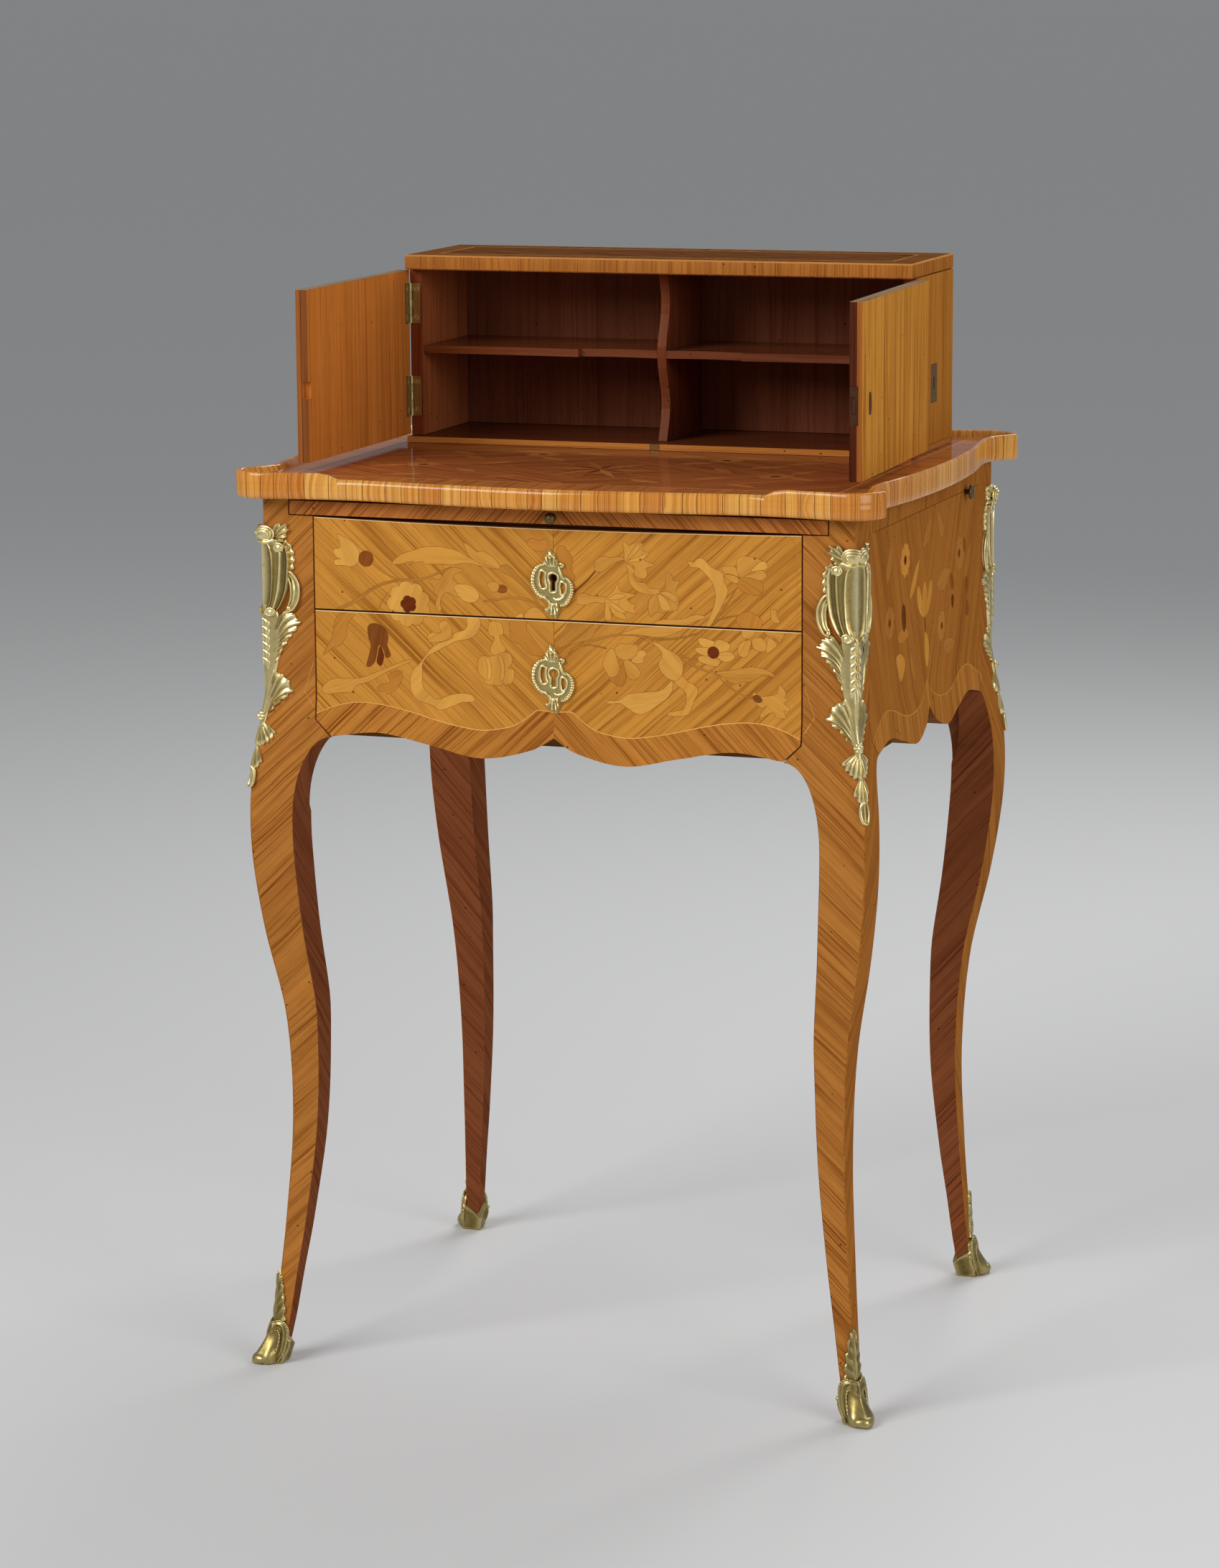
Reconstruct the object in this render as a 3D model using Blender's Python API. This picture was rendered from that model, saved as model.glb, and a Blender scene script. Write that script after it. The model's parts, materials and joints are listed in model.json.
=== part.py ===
# A lady's writing table with an upper cabinet: cabriole legs with gilt mounts, two drawers behind one
# shaped front, a pull-out writing slide, and a two-door cabinet on the table top, its doors open.
# Metres, +Z up, the front towards -Y, the origin on the floor below the middle of the table.

import math

import bmesh
import bpy
from mathutils import Matrix, Vector

# Fits
GAP = 0.0003
RUNNING_GAP = 0.0018
FRONT_GAP = 0.0008
OVERSHOOT = 0.002
STEP = 0.0001

# Table top and its raised lip
TABLE_HEIGHT = 0.740
TOP_THICKNESS = 0.0165
TOP_HALF_WIDTH = 0.267
TOP_HALF_DEPTH = 0.2335
SIDE_NECK_DEPTH = 0.0125
SIDE_NECK_FROM_BACK = 0.062
SIDE_BOW = 0.28
FRONT_NECK_DEPTH = 0.0145
FRONT_NECK_FROM_END = 0.097
FRONT_BOW = 0.40
EAR_RADIUS = 0.026
EAR_FROM_END = 0.0233
EAR_FROM_FRONT = 0.0315
EAR_TURNS = (-4, 20, 45, 72, 102)
OUTLINE_STEPS = 4
LIP_HEIGHT = 0.005
LIP_WIDTH = 0.007
LIP_PAST_NECK = 0.005
LIP_RUN_OUT = 0.012
LIP_END_HEIGHT = 0.0008

# Case
SIDE_OVERHANG = 0.019
FRONT_OVERHANG = 0.028
PANEL_THICKNESS = 0.012
FRONT_STILE = 0.0437
SIDE_STILE = 0.0355
STILE_DEPTH = 0.030
BOARD_THICKNESS = 0.0067
BOARD_CLEARANCE = 0.005
BOTTOM_THICKNESS = 0.0217

# Arches between the legs and the aprons
CASE_DROP = 0.1932
ARCH_RISE = 0.0678
ARCH_STATIONS = 6
FRONT_EAR = 0.0138
SIDE_EAR = 0.0130

# Legs: how far the outer corner stands out from the case at the knee, how thick the leg is there, and
# the shares of both by height, as a share of the height of the arches
KNEE_SWING = 0.0118
KNEE_THICKNESS = 0.0380
LEG_SWING = (
    (0.0, 0.68), (0.064, 0.25), (0.140, -0.085), (0.232, -0.466), (0.390, -0.915), (0.5525, -0.678),
    (0.692, 0.339), (0.792, 0.864), (0.858, 1.0), (0.924, 0.89), (0.999, 0.39), (1.060, 0.0),
)
LEG_THICKNESS = (
    (0.0, 0.316), (0.064, 0.355), (0.140, 0.408), (0.232, 0.487), (0.3225, 0.553), (0.415, 0.618),
    (0.507, 0.689), (0.600, 0.803), (0.692, 0.908), (0.792, 0.987), (0.858, 1.0),
)
LEG_INNER_SHARE = 0.92
BACK_LEG_DRAW_IN = 0.0165
DRAW_IN_CURVE = 1.3
LEG_FOOT = 0.034
LEG_STATIONS = 16

# Aprons: how far the lobes hang, how far the middle notch rises above their lowest line, and the share
# of that rise by share of the way from the middle to the ear
LOBE_DROP = 0.0098
FRONT_NOTCH = 0.0190
SIDE_NOTCH = 0.0235
FRONT_APRON = ((0.0, 1.0), (0.0945, 0.447), (0.3176, 0.0), (0.551, 0.421), (0.787, 0.816))
SIDE_APRON = ((0.0, 1.0), (0.089, 0.468), (0.299, 0.043), (0.541, 0.383), (0.764, 0.702))
APRON_STEPS = 4

# Writing slide; the knob's profile is shares of its length and radius
SLIDE_POST = 0.0235
SLIDE_THICKNESS = 0.011
SLIDE_LENGTH = 0.325
SLIDE_HEADROOM = 0.003
KNOB_RADIUS = 0.00475
KNOB_LENGTH = 0.0105
KNOB_STEM_RADIUS = 0.0018
KNOB_STEM_LENGTH = 0.008
KNOB_PROFILE = (
    (0.12, 0.60), (0.24, 0.40), (0.38, 0.42), (0.54, 0.88), (0.70, 1.0), (0.86, 0.86), (0.97, 0.45),
    (1.0, 0.12),
)
KNOB_FOOT = 0.62

# Drawers
FRONT_THICKNESS = 0.016
JOINT_DROP = 0.0905
FRONT_TOP_REVEAL = 0.0015
FRONT_TOP_DIP = 0.0025
FRONT_TOP_STEPS = 6
RAIL_ABOVE_JOINT = 0.004
BOX_BACK_ROOM = 0.0425
BOX_SIDE = 0.009
BOX_BACK = 0.008
BOX_BOTTOM = 0.006
BOX_BOTTOM_RAISE = 0.002
BOX_HEADROOM = 0.0025

# Drawer lock and escutcheons
ESCUTCHEON_WIDTH = 0.032
ESCUTCHEON_HEIGHT = 0.053
ESCUTCHEON_THICKNESS = 0.0035
ESCUTCHEON_POINTS = 40
SCROLL_MEAN = 0.94
SCROLL_LOBES = 0.10
SCROLL_LEAN = 0.05
UPPER_KEYHOLE_RISE = 0.034
LOWER_KEYHOLE_DROP = 0.042
KEYHOLE_RADIUS = 0.0032
KEYHOLE_DROP = 0.0100
KEYHOLE_SLOT = 0.0028
LOCK_WIDTH = 0.042
LOCK_HEIGHT = 0.032
LOCK_DEPTH = 0.0095
BOLT_WIDTH = 0.016
BOLT_DEPTH = 0.0045
BOLT_LENGTH = 0.015
BOLT_PROUD = 0.0005
BOLT_TRAVEL = 0.006

# Upper cabinet
CABINET_FROM_END = 0.0451
CABINET_FROM_BACK = 0.0622
CABINET_DEPTH = 0.1276
CABINET_HEIGHT = 0.159
CABINET_TOP = 0.0125
CABINET_FLOOR = 0.005
CABINET_SIDE = 0.0104
CABINET_BACK = 0.0095
DIVIDER_THICKNESS = 0.0075
DIVIDER_SET_BACK = 0.0137
DIVIDER_WAVE = 0.0055
DIVIDER_WAVE_LENGTH = 0.085
DIVIDER_STATIONS = 17
SHELF_THICKNESS = 0.0065
SHELF_HEIGHT = 0.075
SHELF_SET_BACK = 0.0030
SHELF_STEP = 0.0056
SHELF_STEP_X = 0.072
SHELF_HOLLOW = 0.0026
SHELF_BOW = 0.0038
SHELF_SHOULDER = 0.001
SHELF_STATIONS = 7
STRIKE_HALF_WIDTH = 0.004
PLATE_THICKNESS = 0.0011
SIDE_PLATE_WIDTH = 0.0185
SIDE_PLATE_HEIGHT = 0.0315
SIDE_PLATE_FROM_BACK = 0.0591
SIDE_PLATE_RISE = 0.0558

# Doors and their butt hinges
DOOR_THICKNESS = 0.010
DOOR_GAP = 0.0012
DOOR_REVEAL = 0.0010
DOOR_MEETING_GAP = 0.0005
LEFT_DOOR_OPEN = 90.0
RIGHT_DOOR_OPEN = 92.0
HINGE_HEIGHT = 0.034
HINGE_FROM_TOP = 0.0110
HINGE_FROM_BOTTOM = 0.0155
BARREL_RADIUS = 0.0022
PIN_RADIUS = 0.0010
PIN_TAPER = 0.0006
PIN_TIP_RADIUS = 0.0006
LEAF_REACH = 0.0095
LEAF_THICKNESS = 0.0012
TONGUE_LAP = 0.0018
KNUCKLES = 5

# Door lock
DOOR_LOCK_LENGTH = 0.032
DOOR_LOCK_HEIGHT = 0.030
DOOR_LOCK_DEPTH = 0.0065
DOOR_LOCK_RECESS = 0.0066
DOOR_LOCK_RISE = 0.0587
DOOR_BOLT_HEIGHT = 0.012
DOOR_BOLT_THICKNESS = 0.0030
DOOR_BOLT_LENGTH = 0.012
DOOR_BOLT_TRAVEL = 0.005
DOOR_KEYHOLE_INSET = 0.024
DOOR_KEYHOLE_HEIGHT = 0.0108
RIM_HALF_WIDTH = 0.0022
RIM_HALF_HEIGHT = 0.0090
RIM_WALL = 0.0009
RIM_THICKNESS = 0.0008

# Release knob on the right side of the case
RELEASE_FROM_BACK = 0.089
RELEASE_DROP = 0.018
RELEASE_RADIUS = 0.0062
RELEASE_HEAD = 0.0022
RELEASE_EDGE = 0.0006
RELEASE_STAND_OFF = 0.0045
RELEASE_STEM_RADIUS = 0.0022
RELEASE_STEM_LENGTH = 0.0070
RELEASE_TRAVEL = 0.003

# Gilt mounts on the knees: their reach on each face and the height of their crest, and the shares of
# both by the share of the way down
CHUTE_DROP = 0.0185
CHUTE_LENGTH = 0.218
CHUTE_REACH = 0.033
CHUTE_RELIEF = 0.0075
CHUTE_OUTLINE = (
    (1.0, 0.06), (0.94, 0.15), (0.817, 0.24), (0.711, 0.42), (0.615, 0.61), (0.5275, 0.545),
    (0.44, 0.64), (0.353, 1.0), (0.252, 1.0), (0.1375, 0.79), (0.069, 0.73), (0.0, 0.515),
)
CHUTE_CREST = (
    (0.0, 0.60), (0.069, 1.0), (0.1375, 0.73), (0.298, 1.0), (0.44, 0.60), (0.615, 0.73), (0.817, 0.47),
    (1.0, 0.24),
)
CREST_PLACE = 0.35
CREST_CORNER = 0.85
MOUNT_EDGE = 0.0012

# Gilt shoes: how far the toe stands out from the leg, and the share of that by share of the shoe's height
TOE_REACH = 0.0120
SHOE_TOE = ((0.0, 0.83), (0.18, 1.0), (0.415, 0.71), (0.653, 0.43), (1.0, 0.30))
TOE_PLACE = 0.25
TOE_CORNER = 0.8
SHOE_MARGIN = 0.0024
SHOE_LEAF_TOP = 0.078
SHOE_LEAF_CREST = 0.0028
SHOE_LEAF_LAP = 0.0040
SHOE_LEAF_TIP = 0.002
SHOE_LEAF_STATIONS = 5

# Segments round turned pieces, and the angle past which an edge is sharp
ROUND = 16
SMALL_ROUND = 10
SHARP_ANGLE = math.radians(32)

# Derived levels and places of the case
UNDER_TOP = TABLE_HEIGHT - TOP_THICKNESS
CASE_TOP = UNDER_TOP - GAP
CASE_HALF_WIDTH = TOP_HALF_WIDTH - SIDE_OVERHANG
CASE_HALF_DEPTH = TOP_HALF_DEPTH - FRONT_OVERHANG
DRAWER_OPENING = CASE_HALF_WIDTH - FRONT_STILE
SIDE_OPENING = CASE_HALF_DEPTH - SIDE_STILE
FRONT_TIP = DRAWER_OPENING - FRONT_EAR
SIDE_TIP = SIDE_OPENING - SIDE_EAR
TIP_HEIGHT = UNDER_TOP - CASE_DROP
ARCH_BASE = TIP_HEIGHT - ARCH_RISE
APRON_LOW = TIP_HEIGHT - LOBE_DROP
SWING_TOP = LEG_SWING[-1][0] * TIP_HEIGHT
SHOE_TOP = LEG_FOOT - GAP
FRONTS_JOINT = UNDER_TOP - JOINT_DROP
UPPER_KEYHOLE_Z = FRONTS_JOINT + UPPER_KEYHOLE_RISE
LOWER_KEYHOLE_Z = FRONTS_JOINT - LOWER_KEYHOLE_DROP
SLIDE_HALF_WIDTH = CASE_HALF_WIDTH - SLIDE_POST
SLIDE_OPENING = SLIDE_HALF_WIDTH + FRONT_GAP
SLIDE_TOP = UNDER_TOP - SLIDE_HEADROOM
SLIDE_UNDER = SLIDE_TOP - SLIDE_THICKNESS
SLIDE_BOARD_TOP = SLIDE_UNDER - GAP
SLIDE_BOARD_UNDER = SLIDE_BOARD_TOP - BOARD_THICKNESS
UPPER_FRONT_TOP = SLIDE_UNDER - FRONT_TOP_REVEAL
RAIL_TOP = FRONTS_JOINT + RAIL_ABOVE_JOINT
RAIL_UNDER = RAIL_TOP - BOARD_THICKNESS
JOINT_HEIGHT = TIP_HEIGHT + FRONT_EAR
SIDE_JOINT_HEIGHT = TIP_HEIGHT + SIDE_EAR
BOTTOM_TOP = JOINT_HEIGHT + GAP
BOTTOM_UNDER = BOTTOM_TOP - BOTTOM_THICKNESS
FRONT_PLANE = -CASE_HALF_DEPTH
FRONT_BACK = FRONT_PLANE + FRONT_THICKNESS
BOX_FRONT = FRONT_BACK + GAP
BOX_HALF_WIDTH = DRAWER_OPENING - RUNNING_GAP
UPPER_BOX_TOP = SLIDE_BOARD_UNDER - BOX_HEADROOM
BOLT_TOP = UPPER_BOX_TOP + BOLT_PROUD
BOLT_FRONT = BOX_FRONT + (LOCK_DEPTH - BOLT_DEPTH) / 2
BOLT_BACK = BOLT_FRONT + BOLT_DEPTH
PANEL_INNER = CASE_HALF_WIDTH - PANEL_THICKNESS
BACK_INNER = CASE_HALF_DEPTH - PANEL_THICKNESS
BOX_LENGTH = BACK_INNER - BOX_BACK_ROOM - BOX_FRONT
BOX_REAR = BOX_FRONT + BOX_LENGTH
STILE_WIDTH = CASE_HALF_WIDTH - SLIDE_OPENING
BOARD_HALF_LENGTH = SIDE_OPENING - BOARD_CLEARANCE
RELEASE_Y = CASE_HALF_DEPTH - RELEASE_FROM_BACK
RELEASE_Z = UNDER_TOP - RELEASE_DROP

# Derived levels and places of the cabinet
CABINET_HALF_WIDTH = TOP_HALF_WIDTH - CABINET_FROM_END
CABINET_REAR = TOP_HALF_DEPTH - CABINET_FROM_BACK
CABINET_FRONT = CABINET_REAR - CABINET_DEPTH
CABINET_UNDER = TABLE_HEIGHT + GAP
CABINET_FLOOR_TOP = CABINET_UNDER + CABINET_FLOOR
CABINET_ROOF = TABLE_HEIGHT + CABINET_HEIGHT
CABINET_CEILING = CABINET_ROOF - CABINET_TOP
CABINET_BACK_FACE = CABINET_REAR - CABINET_BACK
CABINET_INNER = CABINET_HALF_WIDTH - CABINET_SIDE
CABINET_INSIDE = (CABINET_FLOOR_TOP + GAP, CABINET_CEILING - GAP)
SIDE_EDGE = CABINET_FRONT + DOOR_THICKNESS + DOOR_GAP
SHELF_UNDER = TABLE_HEIGHT + SHELF_HEIGHT
SHELF_TOP = SHELF_UNDER + SHELF_THICKNESS
SIDE_PLATE_Y = CABINET_REAR - SIDE_PLATE_FROM_BACK
SIDE_PLATE_Z = TABLE_HEIGHT + SIDE_PLATE_RISE
HINGE_Y = SIDE_EDGE - DOOR_GAP / 2
DOOR_UNDER = CABINET_FLOOR_TOP + DOOR_REVEAL
DOOR_TOP = CABINET_CEILING - DOOR_REVEAL
DOOR_LENGTH = CABINET_HALF_WIDTH - DOOR_MEETING_GAP
DOOR_INNER_FACE = CABINET_FRONT + DOOR_THICKNESS
DOOR_LOCK_Z = DOOR_UNDER + DOOR_LOCK_RISE
HINGE_BASES = (DOOR_UNDER + HINGE_FROM_BOTTOM, DOOR_TOP - HINGE_FROM_TOP - HINGE_HEIGHT)

# Finishes: colour, roughness, metallic
TULIPWOOD = ((0.62, 0.27, 0.07), 0.32, 0.0)
DARK_TOP = ((0.30, 0.10, 0.04), 0.22, 0.0)
CABINET_WOOD = ((0.45, 0.15, 0.06), 0.38, 0.0)
CARCASS_WOOD = ((0.30, 0.17, 0.08), 0.60, 0.0)
GILT = ((0.62, 0.48, 0.18), 0.36, 1.0)
DARK_BRASS = ((0.32, 0.25, 0.12), 0.42, 1.0)
LOCK_STEEL = ((0.30, 0.29, 0.27), 0.45, 1.0)


def clear_scene():
    for thing in list(bpy.data.objects):
        bpy.data.objects.remove(thing, do_unlink=True)


def smooth(points, place):
    """Height at a place on a smooth curve through (place, height) points, level beyond its ends."""
    if place <= points[0][0]:
        return points[0][1]
    if place >= points[-1][0]:
        return points[-1][1]
    last = len(points) - 1
    k = max(i for i in range(last) if points[i][0] <= place)

    def slope(i):
        a, b = points[max(i - 1, 0)], points[min(i + 1, last)]
        return (b[1] - a[1]) / (b[0] - a[0])

    (p0, v0), (p1, v1) = points[k], points[k + 1]
    span = p1 - p0
    t = (place - p0) / span
    keep = 2 * t**3 - 3 * t**2 + 1
    lead = t**3 - 2 * t**2 + t
    trail = t**3 - t**2
    return keep * v0 + (1 - keep) * v1 + span * (lead * slope(k) + trail * slope(k + 1))


def spread(low, high, count):
    return [low + (high - low) * i / (count - 1) for i in range(count)]


# Mesh builders

def loft(rings):
    """A closed solid through rings of points, capped at both ends."""
    shape = bmesh.new()
    rows = [[shape.verts.new(point) for point in ring] for ring in rings]
    for lower, upper in zip(rows, rows[1:]):
        for i, vert in enumerate(lower):
            j = (i + 1) % len(lower)
            shape.faces.new((vert, lower[j], upper[j], upper[i]))
    shape.faces.new(list(reversed(rows[0])))
    shape.faces.new(rows[-1])
    bmesh.ops.recalc_face_normals(shape, faces=shape.faces)
    return shape


def prism(outline, low, high, axis):
    """A flat outline pushed along X, Y or Z from low to high."""
    if axis == "X":
        return loft([[(t, a, b) for a, b in outline] for t in (low, high)])
    if axis == "Y":
        return loft([[(a, t, b) for a, b in outline] for t in (low, high)])
    return loft([[(a, b, t) for a, b in outline] for t in (low, high)])


def box(x, y, z):
    return prism([(x[0], y[0]), (x[1], y[0]), (x[1], y[1]), (x[0], y[1])], z[0], z[1], "Z")


def turned(profile, base, along, segments=ROUND):
    """A turned solid: (distance, radius) rings along a direction from its base point."""
    along = Vector(along).normalized()
    across = along.orthogonal().normalized()
    third = along.cross(across)
    rings = []
    for distance, radius in profile:
        middle = Vector(base) + along * distance
        turns = [2 * math.pi * i / segments for i in range(segments)]
        rings.append([middle + (across * math.cos(a) + third * math.sin(a)) * radius for a in turns])
    return loft(rings)


def together(shapes):
    """Several solids side by side in one mesh."""
    whole = bmesh.new()
    for shape in shapes:
        mesh = bpy.data.meshes.new("shape")
        shape.to_mesh(mesh)
        whole.from_mesh(mesh)
        bpy.data.meshes.remove(mesh)
        shape.free()
    return whole


def mirror_outline(half):
    """A closed outline from its right half, which runs down from the top to the middle of the bottom."""
    return half + [(-a, b) for a, b in reversed(half) if a > 0]


def bulge(shape, axis, plane, sign):
    """Push the vertices of one outer face out along with the legs' swing at their height."""
    levels = [level for level in (share * TIP_HEIGHT for share, _ in LEG_SWING) if level > APRON_LOW]
    for height in levels:
        everything = shape.verts[:] + shape.edges[:] + shape.faces[:]
        bmesh.ops.bisect_plane(shape, geom=everything, plane_co=(0, 0, height), plane_no=(0, 0, 1))
    for vert in shape.verts:
        if abs(vert.co[axis] - plane) < 1e-6:
            vert.co[axis] += sign * swing(vert.co.z)
    bmesh.ops.recalc_face_normals(shape, faces=shape.faces)
    return shape


# Objects

def finish_material(name, finish):
    colour, roughness, metallic = finish
    material = bpy.data.materials.new(name)
    material.use_nodes = True
    shader = material.node_tree.nodes["Principled BSDF"]
    shader.inputs["Base Color"].default_value = (*colour, 1.0)
    shader.inputs["Roughness"].default_value = roughness
    shader.inputs["Metallic"].default_value = metallic
    return material


def new_object(name, shape, carrier):
    mesh = bpy.data.meshes.new(name)
    shape.to_mesh(mesh)
    shape.free()
    made = bpy.data.objects.new(name, mesh)
    bpy.context.scene.collection.objects.link(made)
    if carrier is not None:
        made.parent = carrier
        made.matrix_parent_inverse = Matrix.Translation(carrier.location).inverted()
    return made


def piece(name, shape, finish, carrier=None):
    """A named sub-part with its own material."""
    made = new_object(name, shape, carrier)
    made.data.materials.append(finish_material(name, finish))
    made.data.shade_smooth()
    made.data.set_sharp_from_angle(angle=SHARP_ANGLE)
    return made


def tool(name, shape, carrier=None):
    """A hidden solid that cuts or joins."""
    made = new_object(name, shape, carrier)
    made.hide_render = True
    made.display_type = "WIRE"
    return made


def combine(target, other, operation="DIFFERENCE"):
    step = target.modifiers.new(other.name, "BOOLEAN")
    step.operation = operation
    step.object = other
    step.solver = "EXACT"


def carrier_at(name, place):
    empty = bpy.data.objects.new(name, None)
    empty.location = place
    bpy.context.scene.collection.objects.link(empty)
    return empty


# Table top

def top_outline():
    """The table top's closed outline, with a bulge on every side and rounded ears at the corners."""
    ear_x, ear_y = TOP_HALF_WIDTH - EAR_FROM_END, TOP_HALF_DEPTH - EAR_FROM_FRONT
    neck_x, neck_y = TOP_HALF_WIDTH - FRONT_NECK_FROM_END, TOP_HALF_DEPTH - SIDE_NECK_FROM_BACK
    ear = [
        (ear_x + EAR_RADIUS * math.cos(a), ear_y + EAR_RADIUS * math.sin(a))
        for a in (math.radians(turn) for turn in EAR_TURNS)
    ]
    quarter = [(TOP_HALF_WIDTH, 0.0), (TOP_HALF_WIDTH - SIDE_BOW * SIDE_NECK_DEPTH, neck_y / 2)]
    quarter += [(TOP_HALF_WIDTH - SIDE_NECK_DEPTH, neck_y)] + ear
    quarter += [(neck_x, TOP_HALF_DEPTH - FRONT_NECK_DEPTH)]
    quarter += [(neck_x / 2, TOP_HALF_DEPTH - FRONT_BOW * FRONT_NECK_DEPTH), (0.0, TOP_HALF_DEPTH)]
    back = list(reversed(quarter))[1:]
    half = [(x, -y) for x, y in quarter] + [(-x, -y) for x, y in back]
    points = half + [(-x, -y) for x, y in half[1:-1]]
    return closed_curve(points, OUTLINE_STEPS)


def closed_curve(points, steps):
    """Points on a smooth closed curve through the given ones."""
    count = len(points)
    curve = []
    for i in range(count):
        p0, p1, p2, p3 = (Vector(points[(i + k - 1) % count]) for k in range(4))
        for step in range(steps):
            t = step / steps
            bend = (2 * p0 - 5 * p1 + 4 * p2 - p3) * t**2 + (3 * p1 - p0 - 3 * p2 + p3) * t**3
            curve.append(tuple(p1 + ((p2 - p0) * t + bend) / 2))
    return curve


def lip_path(outline):
    """The part of the outline that carries the lip, from its right front end round to its left one."""
    lip_end = TOP_HALF_WIDTH - FRONT_NECK_FROM_END + LIP_PAST_NECK
    flat = [i for i, (x, y) in enumerate(outline) if y < 0 and abs(x) < lip_end]
    first, last = flat[0], flat[-1]
    count = len(outline)
    inside = [Vector(outline[(last + 1 + k) % count]) for k in range(count - (last - first + 1))]

    def end_point(outer, inner):
        share = (lip_end - abs(inner.x)) / (abs(outer.x) - abs(inner.x))
        return inner.lerp(outer, share)

    left_end = end_point(inside[0], Vector(outline[last]))
    right_end = end_point(inside[-1], Vector(outline[first]))
    return [left_end] + inside + [right_end]


def lip_sections():
    """Four-sided sections along the lip, running out to almost nothing at its two ends."""
    path = lip_path(top_outline())
    reach = [0.0]
    for a, b in zip(path, path[1:]):
        reach.append(reach[-1] + (b - a).length)
    ramp = [LIP_RUN_OUT * k / OUTLINE_STEPS for k in range(1, OUTLINE_STEPS + 1)]
    stops = sorted(set(reach + ramp + [reach[-1] - r for r in ramp]))
    sections = []
    for stop in stops:
        k = min(max(i for i, r in enumerate(reach) if r <= stop), len(path) - 2)
        direction = (path[k + 1] - path[k]).normalized()
        outer = path[k] + direction * (stop - reach[k])
        before, after = path[max(k - 1, 0)], path[min(k + 2, len(path) - 1)]
        direction = (after - before).normalized()
        inward = Vector((-direction.y, direction.x))
        if inward.dot(outer) > 0:
            inward = -inward
        inner = outer + inward * LIP_WIDTH
        share = min(stop, reach[-1] - stop) / LIP_RUN_OUT
        share = min(share, 1.0)
        rise = LIP_END_HEIGHT + (LIP_HEIGHT - GAP - LIP_END_HEIGHT) * share**2 * (3 - 2 * share)
        low = TABLE_HEIGHT + GAP
        sections.append([(*outer, low), (*inner, low), (*inner, low + rise), (*outer, low + rise)])
    return sections


def make_top():
    piece("table_top", prism(top_outline(), UNDER_TOP, TABLE_HEIGHT, "Z"), DARK_TOP)
    piece("top_lip", loft(lip_sections()), TULIPWOOD)


# Legs

def swing(height):
    return KNEE_SWING * smooth(LEG_SWING, height / TIP_HEIGHT)


def leg_thickness(height):
    return KNEE_THICKNESS * smooth(LEG_THICKNESS, height / TIP_HEIGHT)


def outer_corner(height, back):
    """Where a leg's outer corner stands at a height, as distances from the middle of the table."""
    out = swing(height)
    below = max(0.0, 1 - height / ARCH_BASE)
    draw_in = BACK_LEG_DRAW_IN * below**DRAW_IN_CURVE if back else 0.0
    return CASE_HALF_WIDTH + out - draw_in, CASE_HALF_DEPTH + out


def arch(height, foot, tip):
    """The ear of a leg: from the leg's inner face at the foot of the arch to the apron at its tip."""
    rise = (height - ARCH_BASE) / (TIP_HEIGHT - ARCH_BASE)
    return tip + (foot - tip) * math.sqrt(max(0.0, 1 - rise**2))


def inner_edge(height, foot, tip, opening, joint_height):
    if height <= TIP_HEIGHT:
        return arch(height, foot, tip)
    share = min(1.0, (height - TIP_HEIGHT) / (joint_height - TIP_HEIGHT))
    return tip + (opening - tip) * share


def leg_section(height, back, x_opening):
    """Six corners of a leg: a square below the arch, an angle of two stiles above it."""
    x_out, y_out = outer_corner(height, back)
    thick = leg_thickness(height)
    if height <= ARCH_BASE:
        x_in, y_in, blend = x_out - thick, y_out - thick, 0.0
    else:
        foot = [edge - leg_thickness(ARCH_BASE) for edge in outer_corner(ARCH_BASE, back)]
        x_in = inner_edge(height, foot[0], FRONT_TIP, x_opening, JOINT_HEIGHT)
        y_in = inner_edge(height, foot[1], SIDE_TIP, SIDE_OPENING, SIDE_JOINT_HEIGHT)
        blend = min(1.0, (height - ARCH_BASE) / (TIP_HEIGHT - ARCH_BASE))
    inner = thick * LEG_INNER_SHARE
    stile_depth = inner + (STILE_DEPTH - inner) * blend
    stile_width = inner + (STILE_WIDTH - inner) * blend
    corner_x = x_out - thick + (thick - STILE_WIDTH) * blend
    corner_y = y_out - thick + (thick - STILE_DEPTH) * blend
    return [
        (x_out, y_out), (x_in, y_out), (x_in, y_out - stile_depth), (corner_x, corner_y),
        (x_out - stile_width, y_in), (x_out, y_in),
    ]


def leg_rings(x_sign, y_sign):
    """Sections up the leg; the front legs are notched at the top for the writing slide."""
    back = y_sign > 0
    notch = SLIDE_UNDER - FRONT_GAP
    plan = [(height, DRAWER_OPENING) for height in spread(LEG_FOOT, ARCH_BASE, LEG_STATIONS)]
    rise = TIP_HEIGHT - ARCH_BASE
    turns = [math.radians(90) * k / ARCH_STATIONS for k in range(1, ARCH_STATIONS + 1)]
    plan += [(ARCH_BASE + rise * math.sin(turn), DRAWER_OPENING) for turn in turns]
    joints = sorted({JOINT_HEIGHT, SIDE_JOINT_HEIGHT, SWING_TOP})
    plan += [(height, DRAWER_OPENING) for height in joints]
    if not back:
        plan += [(notch - GAP, DRAWER_OPENING), (notch, SLIDE_OPENING)]
    plan += [(CASE_TOP, DRAWER_OPENING if back else SLIDE_OPENING)]
    return [
        [(x_sign * x, y_sign * y, height) for x, y in leg_section(height, back, opening)]
        for height, opening in plan
    ]


CORNERS = (
    ("front_left", -1, -1), ("front_right", 1, -1), ("back_left", -1, 1), ("back_right", 1, 1),
)


def make_legs():
    for corner, x_sign, y_sign in CORNERS:
        piece("leg_" + corner, loft(leg_rings(x_sign, y_sign)), TULIPWOOD)


# Gilt mounts on the legs

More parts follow.
